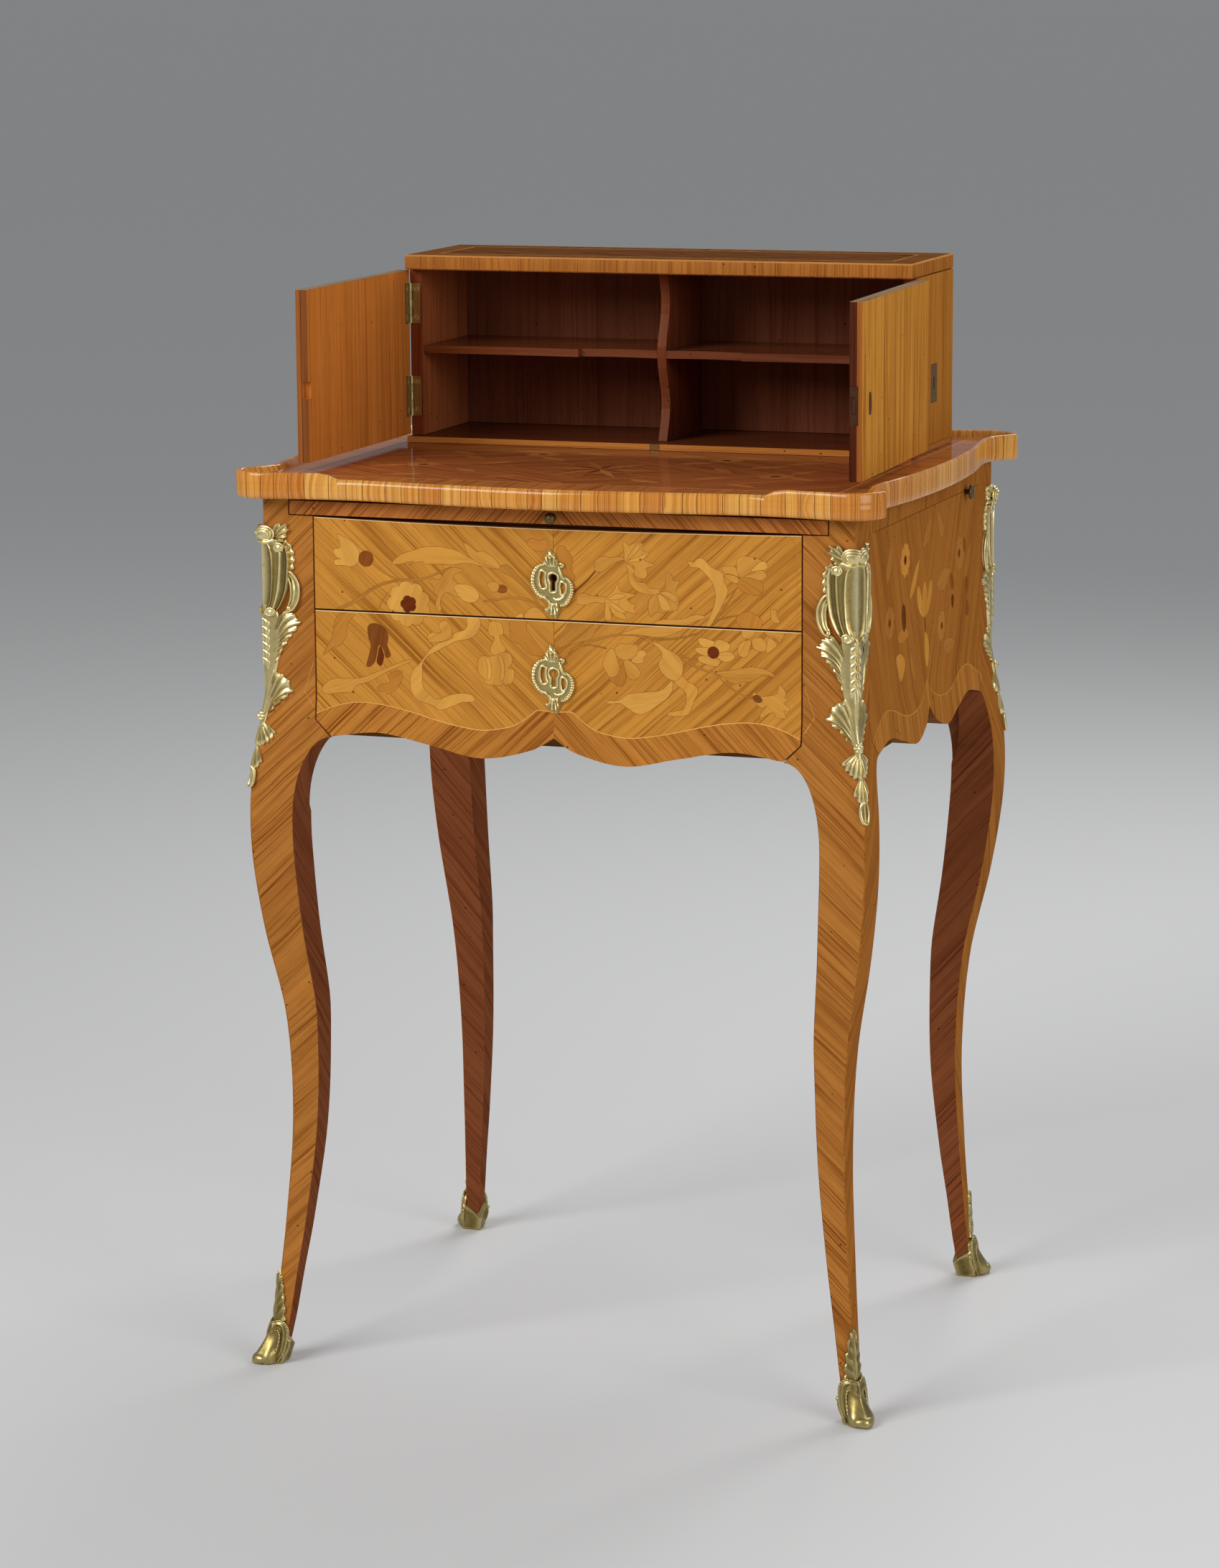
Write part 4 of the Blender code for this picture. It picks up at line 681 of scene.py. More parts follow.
def inner_edge(height, foot, tip, opening, joint_height):
    """The edge of a leg's face: up the arch to its tip, then out to the joint with the apron."""
    if height <= TIP_HEIGHT:
        rise = (height - ARCH_BASE) / (TIP_HEIGHT - ARCH_BASE)
        return tip + (foot - tip) * math.sqrt(max(0.0, 1 - rise**2))
    share = min(1.0, (height - TIP_HEIGHT) / (joint_height - TIP_HEIGHT))
    return tip + (opening - tip) * share


def leg_section(height, back, x_opening):
    """Corners of a leg, its outer arris rounded: a square below the arch, two stiles above it."""
    x_out, y_out = outer_corner(height, back)
    thick = leg_thickness(height)
    if height <= ARCH_BASE:
        x_in, y_in, blend = x_out - thick, y_out - thick, 0.0
    else:
        foot = [edge - leg_thickness(ARCH_BASE) for edge in outer_corner(ARCH_BASE, back)]
        x_in = inner_edge(height, foot[0], FRONT_TIP, x_opening, JOINT_HEIGHT)
        y_in = inner_edge(height, foot[1], SIDE_TIP, SIDE_OPENING, SIDE_JOINT_HEIGHT)
        blend = min(1.0, (height - ARCH_BASE) / (TIP_HEIGHT - ARCH_BASE))
    inner = thick * LEG_INNER_SHARE
    deep = inner + (STILE_DEPTH - inner) * blend
    wide = inner + (STILE_WIDTH - inner) * blend
    corner_x = x_out - thick + (thick - STILE_WIDTH) * blend
    corner_y = y_out - thick + (thick - STILE_DEPTH) * blend
    r = ARRIS_RADIUS
    soft = r / 3
    return on_circle(x_out - r, y_out - r, r, ARRIS_TURNS) + [
        (x_in + soft, y_out), (x_in, y_out - soft), (x_in, y_out - deep), (corner_x, corner_y),
        (x_out - wide, y_in), (x_out - soft, y_in), (x_out, y_in + soft),
    ]


def leg_heights(back):
    """The heights of a leg's sections, each with the opening beside the leg there."""
    plan = [(height, DRAWER_OPENING) for height in spread(LEG_END, ARCH_BASE, LEG_RINGS)]
    turns = [math.radians(90) * k / ARCH_RINGS for k in range(1, ARCH_RINGS + 1)]
    plan += [(ARCH_BASE + (TIP_HEIGHT - ARCH_BASE) * math.sin(turn), DRAWER_OPENING) for turn in turns]
    knee = spread(KNEE_RINGS_FROM, KNEE_RINGS_TO, KNEE_RINGS)
    plan += [(height, DRAWER_OPENING) for height in sorted({JOINT_HEIGHT, SIDE_JOINT_HEIGHT, *knee})]
    if not back:
        plan += [(SLIDE_NOTCH - GAP, DRAWER_OPENING), (SLIDE_NOTCH, SLIDE_OPENING)]
    return plan + [(CASE_TOP, DRAWER_OPENING if back else SLIDE_OPENING)]


def make_legs():
    for corner, x_sign, y_sign in CORNERS:
        front_look = (STILE, -43 * x_sign * -y_sign, 0.9)
        side_look = (SIDE_FIELD, -58 * y_sign, 0.6)
        # The inner faces, turned in under the table, are darkened as painted shade
        shaded_inside_look = (LEG_INSIDE_SHADED, 48 * x_sign, 0.8)

        def look(ring, side):
            if side in LEG_OUTER_SIDES:
                return side_look
            return front_look if side == LEG_FRONT_SIDE else shaded_inside_look

        shape = new_shape()
        rings = [
            [(x_sign * x, y_sign * y, height) for x, y in leg_section(height, y_sign > 0, opening)]
            for height, opening in leg_heights(y_sign > 0)
        ]
        loft(shape, rings, look)
        add_piece("veneered_leg_" + corner, shape, "table", [veneer], ["leg_" + corner])


def make_stringing():
    """A pale line on each front stile, out from the lower drawer and back to it, a hair proud of the
    veneer."""
    shape = new_shape()
    path = [Vector(p) for p in STILE_STRING]
    for sign in (-1, 1):
        rings = []
        for a, b in zip(path, path[1:]):
            for share in spread(0.0, 1.0, 8):
                x, z = a.lerp(b, share) * MM
                y = FRONT_PLANE - swing(z)
                front, back = y - STRING_PROUD, y + STRING_SUNK
                low, high = z - STRING_HALF, z + STRING_HALF
                corners = ((front, low), (front, high), (back, high), (back, low))
                rings.append([(sign * x, depth, level) for depth, level in corners])
        loft(shape, rings, (STRING, 0, 0.1))
    add_piece("stile_stringing", shape, "table", [veneer])


# Marquetry, in millimetres across and up a face. A pattern is a list of layers, each a loop and its look.

SEAM_WIDTH = 0.28
INLAY_STRIPE = 0.18
STRING_WIDTH = 0.7
FIELD_LOW = 500


def joined(*patterns):
    return [layer for pattern in patterns for layer in pattern]


def smooth_loop(points, steps=3):
    return [tuple(p) for p in spline(points, steps, closed=True)]


def grown(loop, by):
    """A closed loop moved outwards by a small distance."""
    loop = counter_clockwise(list(loop))
    count = len(loop)
    moved = []
    for i in range(count):
        before, here, after = (Vector(loop[(i + k) % count]) for k in (-1, 0, 1))
        along = (after - before).normalized()
        moved.append((here.x + along.y * by, here.y - along.x * by))
    return moved


def cut(loop, tone, turn=0.0, stripe=INLAY_STRIPE, line=SEAM_WIDTH):
    """One inlaid piece: its dark joint, and its own wood over it."""
    return [(grown(loop, line), (SEAM, turn, 0.2)), (loop, (tone, turn, stripe))]


def grain_of(points):
    """The direction of a piece's longest reach, in degrees."""
    pairs = [(Vector(a) - Vector(b)) for a in points for b in points]
    longest = max(pairs, key=lambda d: d.length)
    return math.degrees(math.atan2(longest.y, longest.x))


def blade(points, tone, turn=None, stripe=INLAY_STRIPE):
    """An inlaid piece with a smooth outline through the points."""
    return cut(smooth_loop(points), tone, grain_of(points) if turn is None else turn, stripe)


def oval(x, z, rx, rz, count=14):
    turns = [2 * math.pi * k / count for k in range(count)]
    return [(x + rx * math.cos(a), z + rz * math.sin(a)) for a in turns]


def stem(points, width=1.3, tone=OLIVE):
    """A thin inlaid stalk, tapering to its tip."""
    line = spline(points, 4)
    last = len(line) - 1
    left, right = [], []
    for i, here in enumerate(line):
        along = (line[min(i + 1, last)] - line[max(i - 1, 0)]).normalized()
        half = width * (1 - 0.55 * i / last) / 2
        left.append((here.x - along.y * half, here.y + along.x * half))
        right.append((here.x + along.y * half, here.y - along.x * half))
    return cut(left + right[::-1], tone, grain_of(points), 0.3, 0.22)


def daisy(x, z, radius, lobes, heart, tone=PALE, dark=DARK_RED):
    """A round flower in one scalloped piece with a dark lobed heart."""
    def scalloped(reach, waves, depth):
        ring = []
        for k in range(8 * waves):
            a = 2 * math.pi * k / (8 * waves)
            far = reach * (1 - depth + depth * abs(math.sin(waves * a / 2)) ** 0.6)
            ring.append((x + far * math.cos(a), z + far * math.sin(a)))
        return ring

    petals = cut(scalloped(radius, lobes, 0.15), tone, 70, 0.12)
    return petals + cut(scalloped(heart, 5, 0.2), dark, 30, 0.3)


def strip(half, low, high, look):
    """A level strip right across a face."""
    return [(-half, low), (half, low), (half, high), (-half, high)], look


def half_field(sign, end, high, look):
    """The ground of one half of a face."""
    return [(0, FIELD_LOW), (sign * end, FIELD_LOW), (sign * end, high), (0, high)], look


def string_band(line, sign, end, band, string):
    """A line above a shaped apron, and the striped band below it, on one half of a face."""
    line = [(sign * a, b) for a, b in line]
    below = line + [(sign * end, FIELD_LOW), (0, FIELD_LOW)]
    return [(below, band), (line + [(a, b - STRING_WIDTH) for a, b in reversed(line)], string)]


def apron_line(rises, notch, tip, tip_height):
    """The lower edge of an apron from its tip to the middle, in metres."""
    points = [(share * tip, APRON_LOW + notch * rise) for share, rise in rises] + [(tip, tip_height)]
    return [(place, smooth(points, place)) for place in spread(tip, 0.0, 48)]


def bend_to_case(shape, axis, sign, half):
    """Cut a flat inlaid face at levels over the bulge of the case, and move it out onto the bulge."""
    for level in spread(APRON_LOW, BEND_TOP, BEND_LEVELS):
        geom = shape.verts[:] + shape.edges[:] + shape.faces[:]
        bmesh.ops.bisect_plane(shape, geom=geom, plane_co=(0, 0, level), plane_no=(0, 0, 1))
    for vert in shape.verts:
        vert.co[axis] = sign * (half + swing(vert.co.z))


# Flowers of the drawer fronts, in millimetres across from the middle and up from the floor

def left_flowers():
    """Stems, leaves and flowers on the left half of the fronts."""
    return joined(
        stem([(-184, 634), (-168, 642), (-157, 650), (-146, 656), (-130, 660), (-110, 662),
              (-86, 672)], 2.6),
        stem([(-153, 672), (-143, 665), (-133, 661)], 1.4),
        stem([(-8, 642), (-20, 648), (-35, 650), (-46, 648), (-59, 646)], 2.2),
        stem([(-150, 632), (-146, 642), (-140, 650)], 1.2),
        blade([(-184, 695), (-172, 690), (-166, 684), (-165, 680), (-166, 673), (-172, 669), (-178, 670),
               (-186, 670), (-186, 674), (-180, 675), (-184, 676), (-187, 680), (-186, 683), (-181, 684),
               (-182, 689)], PALER),
        cut(oval(-159, 676, 6.3, 6.3), RUST, 70, 0.5),
        blade([(-137, 673), (-130, 680), (-122, 683), (-110, 687), (-97, 688), (-89, 687), (-80, 685),
               (-73, 681), (-62, 677), (-46, 672), (-60, 674), (-73, 676), (-86, 674), (-97, 674),
               (-109, 674), (-110, 676), (-119, 674), (-122, 672), (-118, 676), (-130, 673)], PALE),
        blade([(-75, 692), (-73, 685), (-66, 678), (-53, 674), (-44, 672), (-50, 681), (-60, 686),
               (-64, 685), (-70, 689)], PALE),
        blade([(-46, 672), (-39, 676), (-31, 669), (-21, 659), (-8, 640), (-15, 648), (-25, 659),
               (-36, 667)], OLIVE),
        daisy(-123, 641, 18.5, 9, 6.8, PALER),
        blade([(-105, 660), (-102, 662), (-95, 662), (-92, 668), (-85, 672), (-76, 670), (-83, 667),
               (-85, 662), (-81, 658), (-80, 648), (-89, 652), (-94, 649), (-96, 643), (-95, 637),
               (-98, 637), (-100, 642), (-98, 649), (-101, 650), (-101, 655)], PALE),
        blade([(-84, 657), (-77, 659), (-70, 658), (-64, 654), (-63, 649), (-67, 645), (-74, 645),
               (-80, 649)], PALER),
        cut(oval(-43.5, 656.5, 4.6, 3.2), RUST, 10, 0.4),
        blade([(-56, 660), (-50, 662), (-46, 660), (-47, 655), (-52, 654)], PALE),
        blade([(-24, 634), (-22, 640), (-16, 643), (-10, 640), (-7, 634)], PALE),
        blade([(-33, 634), (-27, 638), (-26, 634)], PALER),
        blade([(-22, 694), (-18, 698), (-12, 696), (-6, 698), (-4, 692), (-9, 688), (-17, 689)], TAN),
        blade([(-198, 596), (-189, 612), (-188, 620), (-183, 630), (-169, 632), (-176, 623), (-177, 613),
               (-183, 605), (-189, 603)], TAN),
        blade([(-158, 622), (-151, 624), (-143, 620), (-141, 613), (-142, 607), (-139, 599), (-143, 597),
               (-145, 603), (-149, 607), (-151, 600), (-153, 593), (-157, 589), (-160, 590), (-158, 597),
               (-156, 606), (-158, 613)], BROWN, 80, 0.6),
        blade([(-148, 606), (-145, 599), (-146, 593), (-148, 590), (-151, 593),
               (-150, 599)], DARK_RED, 85, 0.4),
        blade([(-199, 569), (-194, 575), (-186, 578), (-167, 579), (-153, 584), (-139, 590), (-127, 595),
               (-119, 596), (-130, 591), (-147, 583), (-157, 577), (-169, 573), (-174, 567), (-181, 567),
               (-196, 565)], PALE),
        blade([(-132, 587), (-129, 583), (-132, 575), (-136, 571), (-143, 567), (-144, 570), (-149, 569),
               (-151, 572), (-147, 575), (-140, 577), (-141, 583)], TAN, 30, 0.4),
        blade([(-73, 632), (-63, 632), (-62, 626), (-66, 619), (-73, 615), (-83, 613), (-96, 606),
               (-107, 600), (-112, 593), (-112, 587), (-112, 576), (-107, 570), (-100, 565), (-89, 569),
               (-79, 571), (-70, 570), (-68, 565), (-78, 564), (-87, 560), (-97, 557), (-103, 560),
               (-110, 562), (-117, 564), (-122, 572), (-122, 582), (-119, 589), (-113, 595), (-102, 608),
               (-86, 615), (-85, 619), (-76, 622), (-73, 626)], PALER, 50),
        blade([(-107, 616), (-103, 619), (-96, 619), (-97, 626), (-92, 629), (-87, 625), (-87, 617),
               (-92, 613), (-97, 612), (-105, 611)], PALE),
        blade([(-55, 627), (-53, 630), (-46, 630), (-43, 626), (-43, 620), (-46, 619), (-44, 613),
               (-41, 609), (-44, 603), (-48, 602), (-53, 605), (-53, 610), (-50, 617), (-55, 620)], PALE),
        blade([(-61, 602), (-53, 602), (-41, 606), (-36, 603), (-36, 597), (-39, 593), (-34, 592),
               (-35, 583), (-40, 580), (-43, 582), (-45, 579), (-59, 580), (-58, 583), (-63, 587),
               (-65, 593), (-64, 599)], PALE, 85),
        blade([(-58, 600), (-56, 592), (-57, 584), (-54, 584), (-53, 593), (-55, 600)], PALER, 85),
        blade([(-47, 602), (-45, 594), (-46, 584), (-43, 584), (-42, 594), (-44, 602)], PALER, 85),
        blade([(-36, 632), (-23, 632), (-23, 625), (-14, 613), (-8, 605), (-19, 605), (-25, 609),
               (-29, 613), (-36, 616), (-37, 623)], TAN),
    )


def right_flowers():
    """Stems, leaves and flowers on the right half of the fronts."""
    return joined(
        stem([(14, 654), (20, 659), (28, 666), (36, 675)], 2.0, BROWN),
        stem([(130, 634), (138, 645), (146, 657), (151, 665)], 1.6),
        stem([(130, 636), (140, 641), (153, 644)], 1.4),
        stem([(12, 607), (20, 613), (29, 615), (44, 613)], 1.6),
        stem([(14, 610), (29, 617), (47, 623), (64, 625), (86, 622), (109, 625), (123, 630)], 2.0),
        stem([(104, 608), (123, 600), (134, 597), (143, 589), (154, 582), (164, 579)], 1.6),
        stem([(104, 611), (112, 608), (119, 608)], 1.2),
        blade([(34, 677), (35, 682), (41, 686), (47, 685), (56, 686), (59, 684), (50, 681), (44, 676),
               (39, 673), (35, 674)], PALE),
        blade([(58, 698), (61, 697), (63, 695), (69, 698), (74, 697), (74, 692), (79, 690), (78, 687),
               (74, 685), (81, 682), (84, 680), (77, 678), (78, 674), (76, 670), (71, 670), (67, 673),
               (67, 679), (61, 682), (59, 684), (59, 690)], PALE),
        blade([(61, 683), (66, 692), (70, 697), (72, 694), (67, 688)], PALER),
        blade([(62, 683), (70, 686), (77, 689), (76, 686), (70, 683)], PALER),
        blade([(61, 681), (67, 676), (66, 672), (70, 667), (76, 666), (80, 662), (87, 662), (87, 657),
               (80, 657), (71, 659), (66, 662), (63, 667), (62, 675)], PALE),
        blade([(87, 658), (92, 663), (94, 675), (99, 672), (99, 669), (104, 669), (103, 665), (101, 661),
               (104, 655), (103, 650), (103, 646), (97, 645), (91, 643), (86, 644), (81, 640), (79, 643),
               (79, 652), (83, 657)], PALE),
        blade([(87, 658), (93, 654), (97, 647), (91, 645), (88, 650)], PALER),
        blade([(88, 659), (95, 660), (102, 656), (101, 652), (94, 656)], PALER),
        blade([(19, 650), (21, 655), (26, 656), (32, 654), (41, 654), (46, 653), (43, 649), (34, 649),
               (27, 647), (21, 647)], PALE),
        blade([(44, 653), (50, 659), (54, 666), (55, 659), (67, 657), (66, 655), (61, 653), (64, 650),
               (69, 647), (66, 646), (69, 642), (57, 643), (61, 637), (51, 639), (46, 647), (48, 639),
               (47, 636), (43, 636), (43, 646)], PALE),
        blade([(45, 652), (52, 652), (60, 655), (54, 657), (49, 655)], PALER),
        blade([(46, 650), (52, 648), (60, 642), (54, 643), (49, 646)], PALER),
        blade([(111, 684), (112, 685), (116, 684), (119, 687), (124, 687), (130, 681), (139, 677),
               (141, 670), (144, 663), (141, 655), (137, 647), (129, 634), (126, 635), (131, 646),
               (134, 659), (131, 669), (126, 675), (120, 680), (114, 680)], PALER, 80),
        blade([(139, 681), (141, 682), (149, 682), (153, 677), (154, 674), (147, 676), (141, 677)], PALE),
        blade([(151, 685), (155, 690), (164, 690), (173, 687), (170, 685), (166, 683), (161, 677),
               (154, 673)], PALE),
        blade([(166, 683), (171, 687), (175, 686), (176, 682), (171, 680), (163, 679)], PALER),
        blade([(163, 677), (171, 680), (175, 677), (174, 674), (169, 672), (157, 674)], PALE),
        blade([(152, 673), (159, 674), (169, 672), (173, 667), (171, 662), (166, 660), (159, 662),
               (153, 665), (151, 670)], TAN, -30, 0.4),
        blade([(141, 675), (149, 675), (153, 672), (151, 669), (146, 671)], PALE),
        blade([(151, 642), (159, 647), (164, 646), (171, 642), (170, 634), (155, 634)], TAN, 80, 0.4),
        blade([(179, 650), (183, 649), (184, 645), (186, 640), (180, 640), (179, 646)], PALE),
        blade([(84, 634), (91, 638), (107, 639), (114, 642), (120, 643), (126, 641), (117, 638),
               (109, 634)], PALE),
        blade([(3, 690), (8, 693), (11, 690), (16, 683), (15, 674), (18, 668), (14, 663), (8, 662),
               (4, 675)], TAN),
        blade([(0, 617), (9, 626), (14, 632), (37, 632), (34, 626), (31, 620), (21, 617), (10, 613),
               (3, 612)], OLIVE, 40, 0.5),
        blade([(51, 613), (54, 617), (60, 617), (69, 617), (70, 613), (69, 609), (63, 605), (56, 605),
               (51, 609)], PALE),
        blade([(41, 603), (46, 612), (50, 612), (53, 603), (55, 597), (53, 592), (47, 590), (43, 595),
               (41, 599)], PALE, 70),
        blade([(46, 589), (53, 592), (57, 602), (59, 596), (60, 590), (57, 584), (53, 584)], TAN, 70),
        blade([(58, 603), (63, 604), (71, 597), (71, 592), (66, 589), (61, 592)], PALE),
        blade([(70, 612), (74, 613), (77, 610), (74, 606), (75, 604), (70, 602), (64, 604),
               (69, 609)], PALER),
        blade([(56, 625), (69, 630), (86, 632), (107, 632), (99, 627), (89, 624), (69, 625)], PALE),
        blade([(98, 590), (98, 582), (93, 575), (86, 570), (76, 563), (69, 562), (60, 567), (54, 570),
               (46, 569), (44, 571), (54, 572), (61, 577), (71, 579), (86, 581), (93, 585)], PALER, 15),
        blade([(106, 594), (111, 590), (118, 586), (119, 581), (116, 575), (114, 569), (110, 563),
               (95, 562), (96, 565), (106, 567), (109, 572), (110, 579), (107, 583),
               (100, 589)], PALE, 60),
        blade([(73, 622), (81, 620), (87, 619), (93, 615), (100, 612), (106, 606), (107, 600), (105, 593),
               (100, 590), (94, 592), (89, 597), (87, 603), (90, 610), (87, 615), (81, 619)], PALER, -50),
        blade([(121, 625), (134, 622), (133, 617), (129, 615), (121, 620)], PALER),
        blade([(135, 624), (144, 622), (145, 617), (137, 613), (132, 616)], PALER),
        blade([(143, 615), (149, 613), (148, 609), (141, 607), (134, 612)], PALER),
        blade([(127, 611), (137, 608), (136, 604), (133, 603), (121, 606), (120, 610)], PALER),
        blade([(118, 617), (130, 617), (129, 611), (119, 613)], PALER),
        cut(oval(132, 613.8, 4.7, 4.7), DARK_RED, 30, 0.3),
        blade([(156, 633), (166, 633), (165, 629), (161, 626), (156, 627)], PALE),
        blade([(164, 626), (171, 627), (175, 623), (174, 617), (167, 617), (164, 620)], PALE),
        blade([(154, 622), (162, 625), (162, 619), (159, 612), (154, 612), (152, 616)], PALE),
        blade([(175, 632), (189, 633), (189, 629), (186, 624), (183, 627), (176, 629)], PALE),
        blade([(177, 627), (184, 623), (181, 619), (177, 616), (175, 617)], PALE),
        blade([(134, 598), (143, 600), (154, 602), (164, 604), (176, 602), (182, 598), (181, 597),
               (173, 598), (166, 594), (161, 592), (156, 592), (150, 590), (144, 592), (140, 595)], PALE),
        blade([(164, 582), (166, 584), (170, 581), (179, 582), (184, 584), (186, 591), (191, 585),
               (190, 581), (195, 580), (189, 577), (194, 573), (193, 570), (189, 571), (191, 565),
               (184, 565), (180, 569), (171, 564), (171, 568), (176, 574), (171, 572), (165, 578)], PALE),
        blade([(164, 580), (168, 582), (172, 578), (168, 576)], BROWN),
    )


# Drawer fronts: both are cut from one picture

FRONT_END = 210
FRONT_HIGH = 720
FRONT_STRING_END = 206
FRONT_STRING = (
    (0, 560), (14, 561), (20, 557), (30, 550), (40, 546), (60, 543), (80, 545), (100, 549), (120, 554),
    (140, 558), (160, 560), (175, 559), (190, 555), (206, 548),
)
CORNER_LINE = ((199.6, 630), (200.2, 630), (200.2, 700), (194.5, 707), (193.8, 707), (199.6, 699.8))
MIDDLE_JOINT_HALF = 0.15
MIDDLE_JOINT_LOW = 562
# Depths of the painted highlights along the fronts' top edges, and of the painted shadow under the upper
# front
CREST_HIGHLIGHT = 0.5
LOWER_EDGE_HIGHLIGHT = 0.6
UPPER_SHADE = 0.9
KEYHOLE_RADIUS = 3.2
KEYHOLE_HALF_SLOT = 1.5
KEYHOLE_DROP = 10


def front_layers():
    """Both fronts as one picture: field, apron band, corner lines, flowers."""
    layers = [half_field(sign, FRONT_END, FRONT_HIGH, (FIELD, 42 * sign, 0.8)) for sign in (-1, 1)]
    line = spline(FRONT_STRING, 4)
    for sign in (-1, 1):
        layers += string_band(line, sign, FRONT_STRING_END, (BAND, 44 * -sign, 1.0), (STRING, 0, 0.1))
        layers.append(([(sign * x, z) for x, z in CORNER_LINE], (TAN, 90, 0.1)))
    layers.append(strip(MIDDLE_JOINT_HALF, MIDDLE_JOINT_LOW, FRONT_HIGH, (JOINT, 90, 0.1)))
    return layers + left_flowers() + right_flowers()


def keyhole_loop(height):
    eye = on_circle(0, height, KEYHOLE_RADIUS, spread(-62, 242, 19))
    low = height - KEYHOLE_DROP
    return eye + [(-KEYHOLE_HALF_SLOT, low), (KEYHOLE_HALF_SLOT, low)]


def front_place(across, up):
    return (across * MM, FRONT_PLANE - swing(up * MM), up * MM)


def front_back(point):
    return (point.x, FRONT_BACK, point.z)


def make_upper_front(layers):
    wide, low = UPPER_HIGH.x, UPPER_LOW.z
    shares = spread(1.0, 0.0, 13)
    top = [(wide * share, UPPER_HIGH.z - FRONT_TOP_DIP * (1 - share**2)) for share in shares]
    outline = in_mm([(wide, low), *mirrored(top), (-wide, low)])
    crest, base = outline[1:-1], outline[0][1]
    # A painted highlight along the crest, and a painted shadow along the foot where the two fronts meet
    edges = [
        (crest + [(x, z - CREST_HIGHLIGHT) for x, z in reversed(crest)], (ARRIS_HIGHLIGHT, 0, 0.1)),
        strip(FRONT_END, base, base + UPPER_SHADE, (SHADED, 0, 0.1)),
    ]
    keyhole = keyhole_loop((FRONTS_JOINT + UPPER_KEYHOLE_RISE) / MM)
    shape = new_shape()
    faces = inlay(shape, outline, (FIELD, 0, 0.5), layers + edges, front_place, [keyhole])
    thicken(shape, faces, front_back, (FRONT_SIDES, 0, 0.5))
    add_piece("inlaid_upper_front", shape, "upper_drawer", [veneer],
              ["upper_drawer_front"], 30)


def make_lower_front(layers):
    half = [(LOWER_HIGH.x, LOWER_HIGH.z), (LOWER_HIGH.x, JOINT_HEIGHT)]
    half += apron_line(FRONT_APRON, FRONT_NOTCH, FRONT_TIP - FRONT_GAP, TIP_HEIGHT + FRONT_GAP)
    outline = in_mm(mirrored(half))
    high = outline[0][1]
    # A painted highlight along the top edge
    edge = strip(FRONT_END, high - LOWER_EDGE_HIGHLIGHT, high, (ARRIS_HIGHLIGHT, 0, 0.1))
    shape = new_shape()
    inlay(shape, outline, (FIELD, 0, 0.5), [*layers, edge], front_place)
    bend_to_case(shape, 1, -1, CASE_HALF_DEPTH)
    thicken(shape, shape.faces[:], front_back, (FRONT_SIDES, 0, 0.5))
    add_piece("inlaid_lower_front", shape, "lower_drawer", [veneer],
              ["lower_drawer_front"], 30)


def make_fronts():
    layers = front_layers()
    make_upper_front(layers)
    make_lower_front(layers)


# Side panels, as distances from the middle towards the back, and heights

SIDE_END = 180
SIDE_HIGH = 730
SIDE_STRING = (
    (0, 567), (7, 559), (18, 552), (36, 547), (56, 546), (76, 549), (95, 555), (114, 559), (132, 558),
    (150, 551), (172, 541),
)
SIDE_TOP_BAND = (172, 707, SIDE_HIGH)
SIDE_TOP_LINE = (160, 706, 706.6)
KNOB_HOLE_RADIUS = 2.6
SIDE_LEAVES = (
    ([(-24, 667), (-34, 663), (-47, 651), (-53, 639), (-43, 642), (-33, 651)], SIDE_PALE),
    ([(-31, 644), (-23, 645), (-15, 632), (-9, 619), (-20, 622), (-29, 632)], SIDE_PALE),
    ([(-11, 619), (-15, 636), (-8, 648), (0, 637), (-4, 620)], SIDE_PALE),
    ([(15, 644), (7, 645), (0, 632), (-5, 619), (5, 622), (13, 632)], SIDE_PALE),
    ([(-6, 605), (3, 600), (7, 588), (2, 575), (-6, 587)], SIDE_PALE),
    ([(-92, 597), (-80, 599), (-66, 591), (-70, 581), (-79, 576), (-87, 586)], SIDE_PALE),
    ([(-88, 613), (-78, 618), (-62, 617), (-57, 610), (-71, 607), (-83, 608)], TAN),
    ([(-75, 637), (-67, 635), (-64, 621), (-70, 615), (-77, 626)], SIDE_BROWN),
    ([(-120, 660), (-108, 672), (-104, 692), (-112, 688), (-122, 672)], SIDE_FAINT),
    ([(-14, 676), (-4, 690), (12, 698), (8, 686), (0, 678)], SIDE_FAINT),
    ([(44, 676), (34, 686), (30, 700), (42, 694), (50, 684)], SIDE_FAINT),
    ([(30, 640), (48, 650), (70, 646), (58, 634), (42, 632)], SIDE_FAINT),
    ([(52, 586), (66, 590), (88, 584), (74, 576), (60, 578)], SIDE_FAINT),
    ([(118, 630), (132, 642), (138, 660), (128, 656), (116, 642)], SIDE_FAINT),
    ([(-50, 596), (-46, 580), (-34, 570), (-36, 584), (-42, 594)], SIDE_FAINT),
    ([(72, 642), (79, 641), (84, 631), (78, 629), (71, 635)], RUST),
    ([(120, 632), (127, 633), (130, 623), (124, 620), (119, 626)], RUST),
    ([(77, 624), (84, 622), (81, 613), (76, 617)], SIDE_BROWN),
    ([(123, 611), (130, 612), (133, 602), (126, 600), (121, 605)], RUST),
    ([(114, 667), (120, 664), (119, 655), (113, 658)], RUST),
)


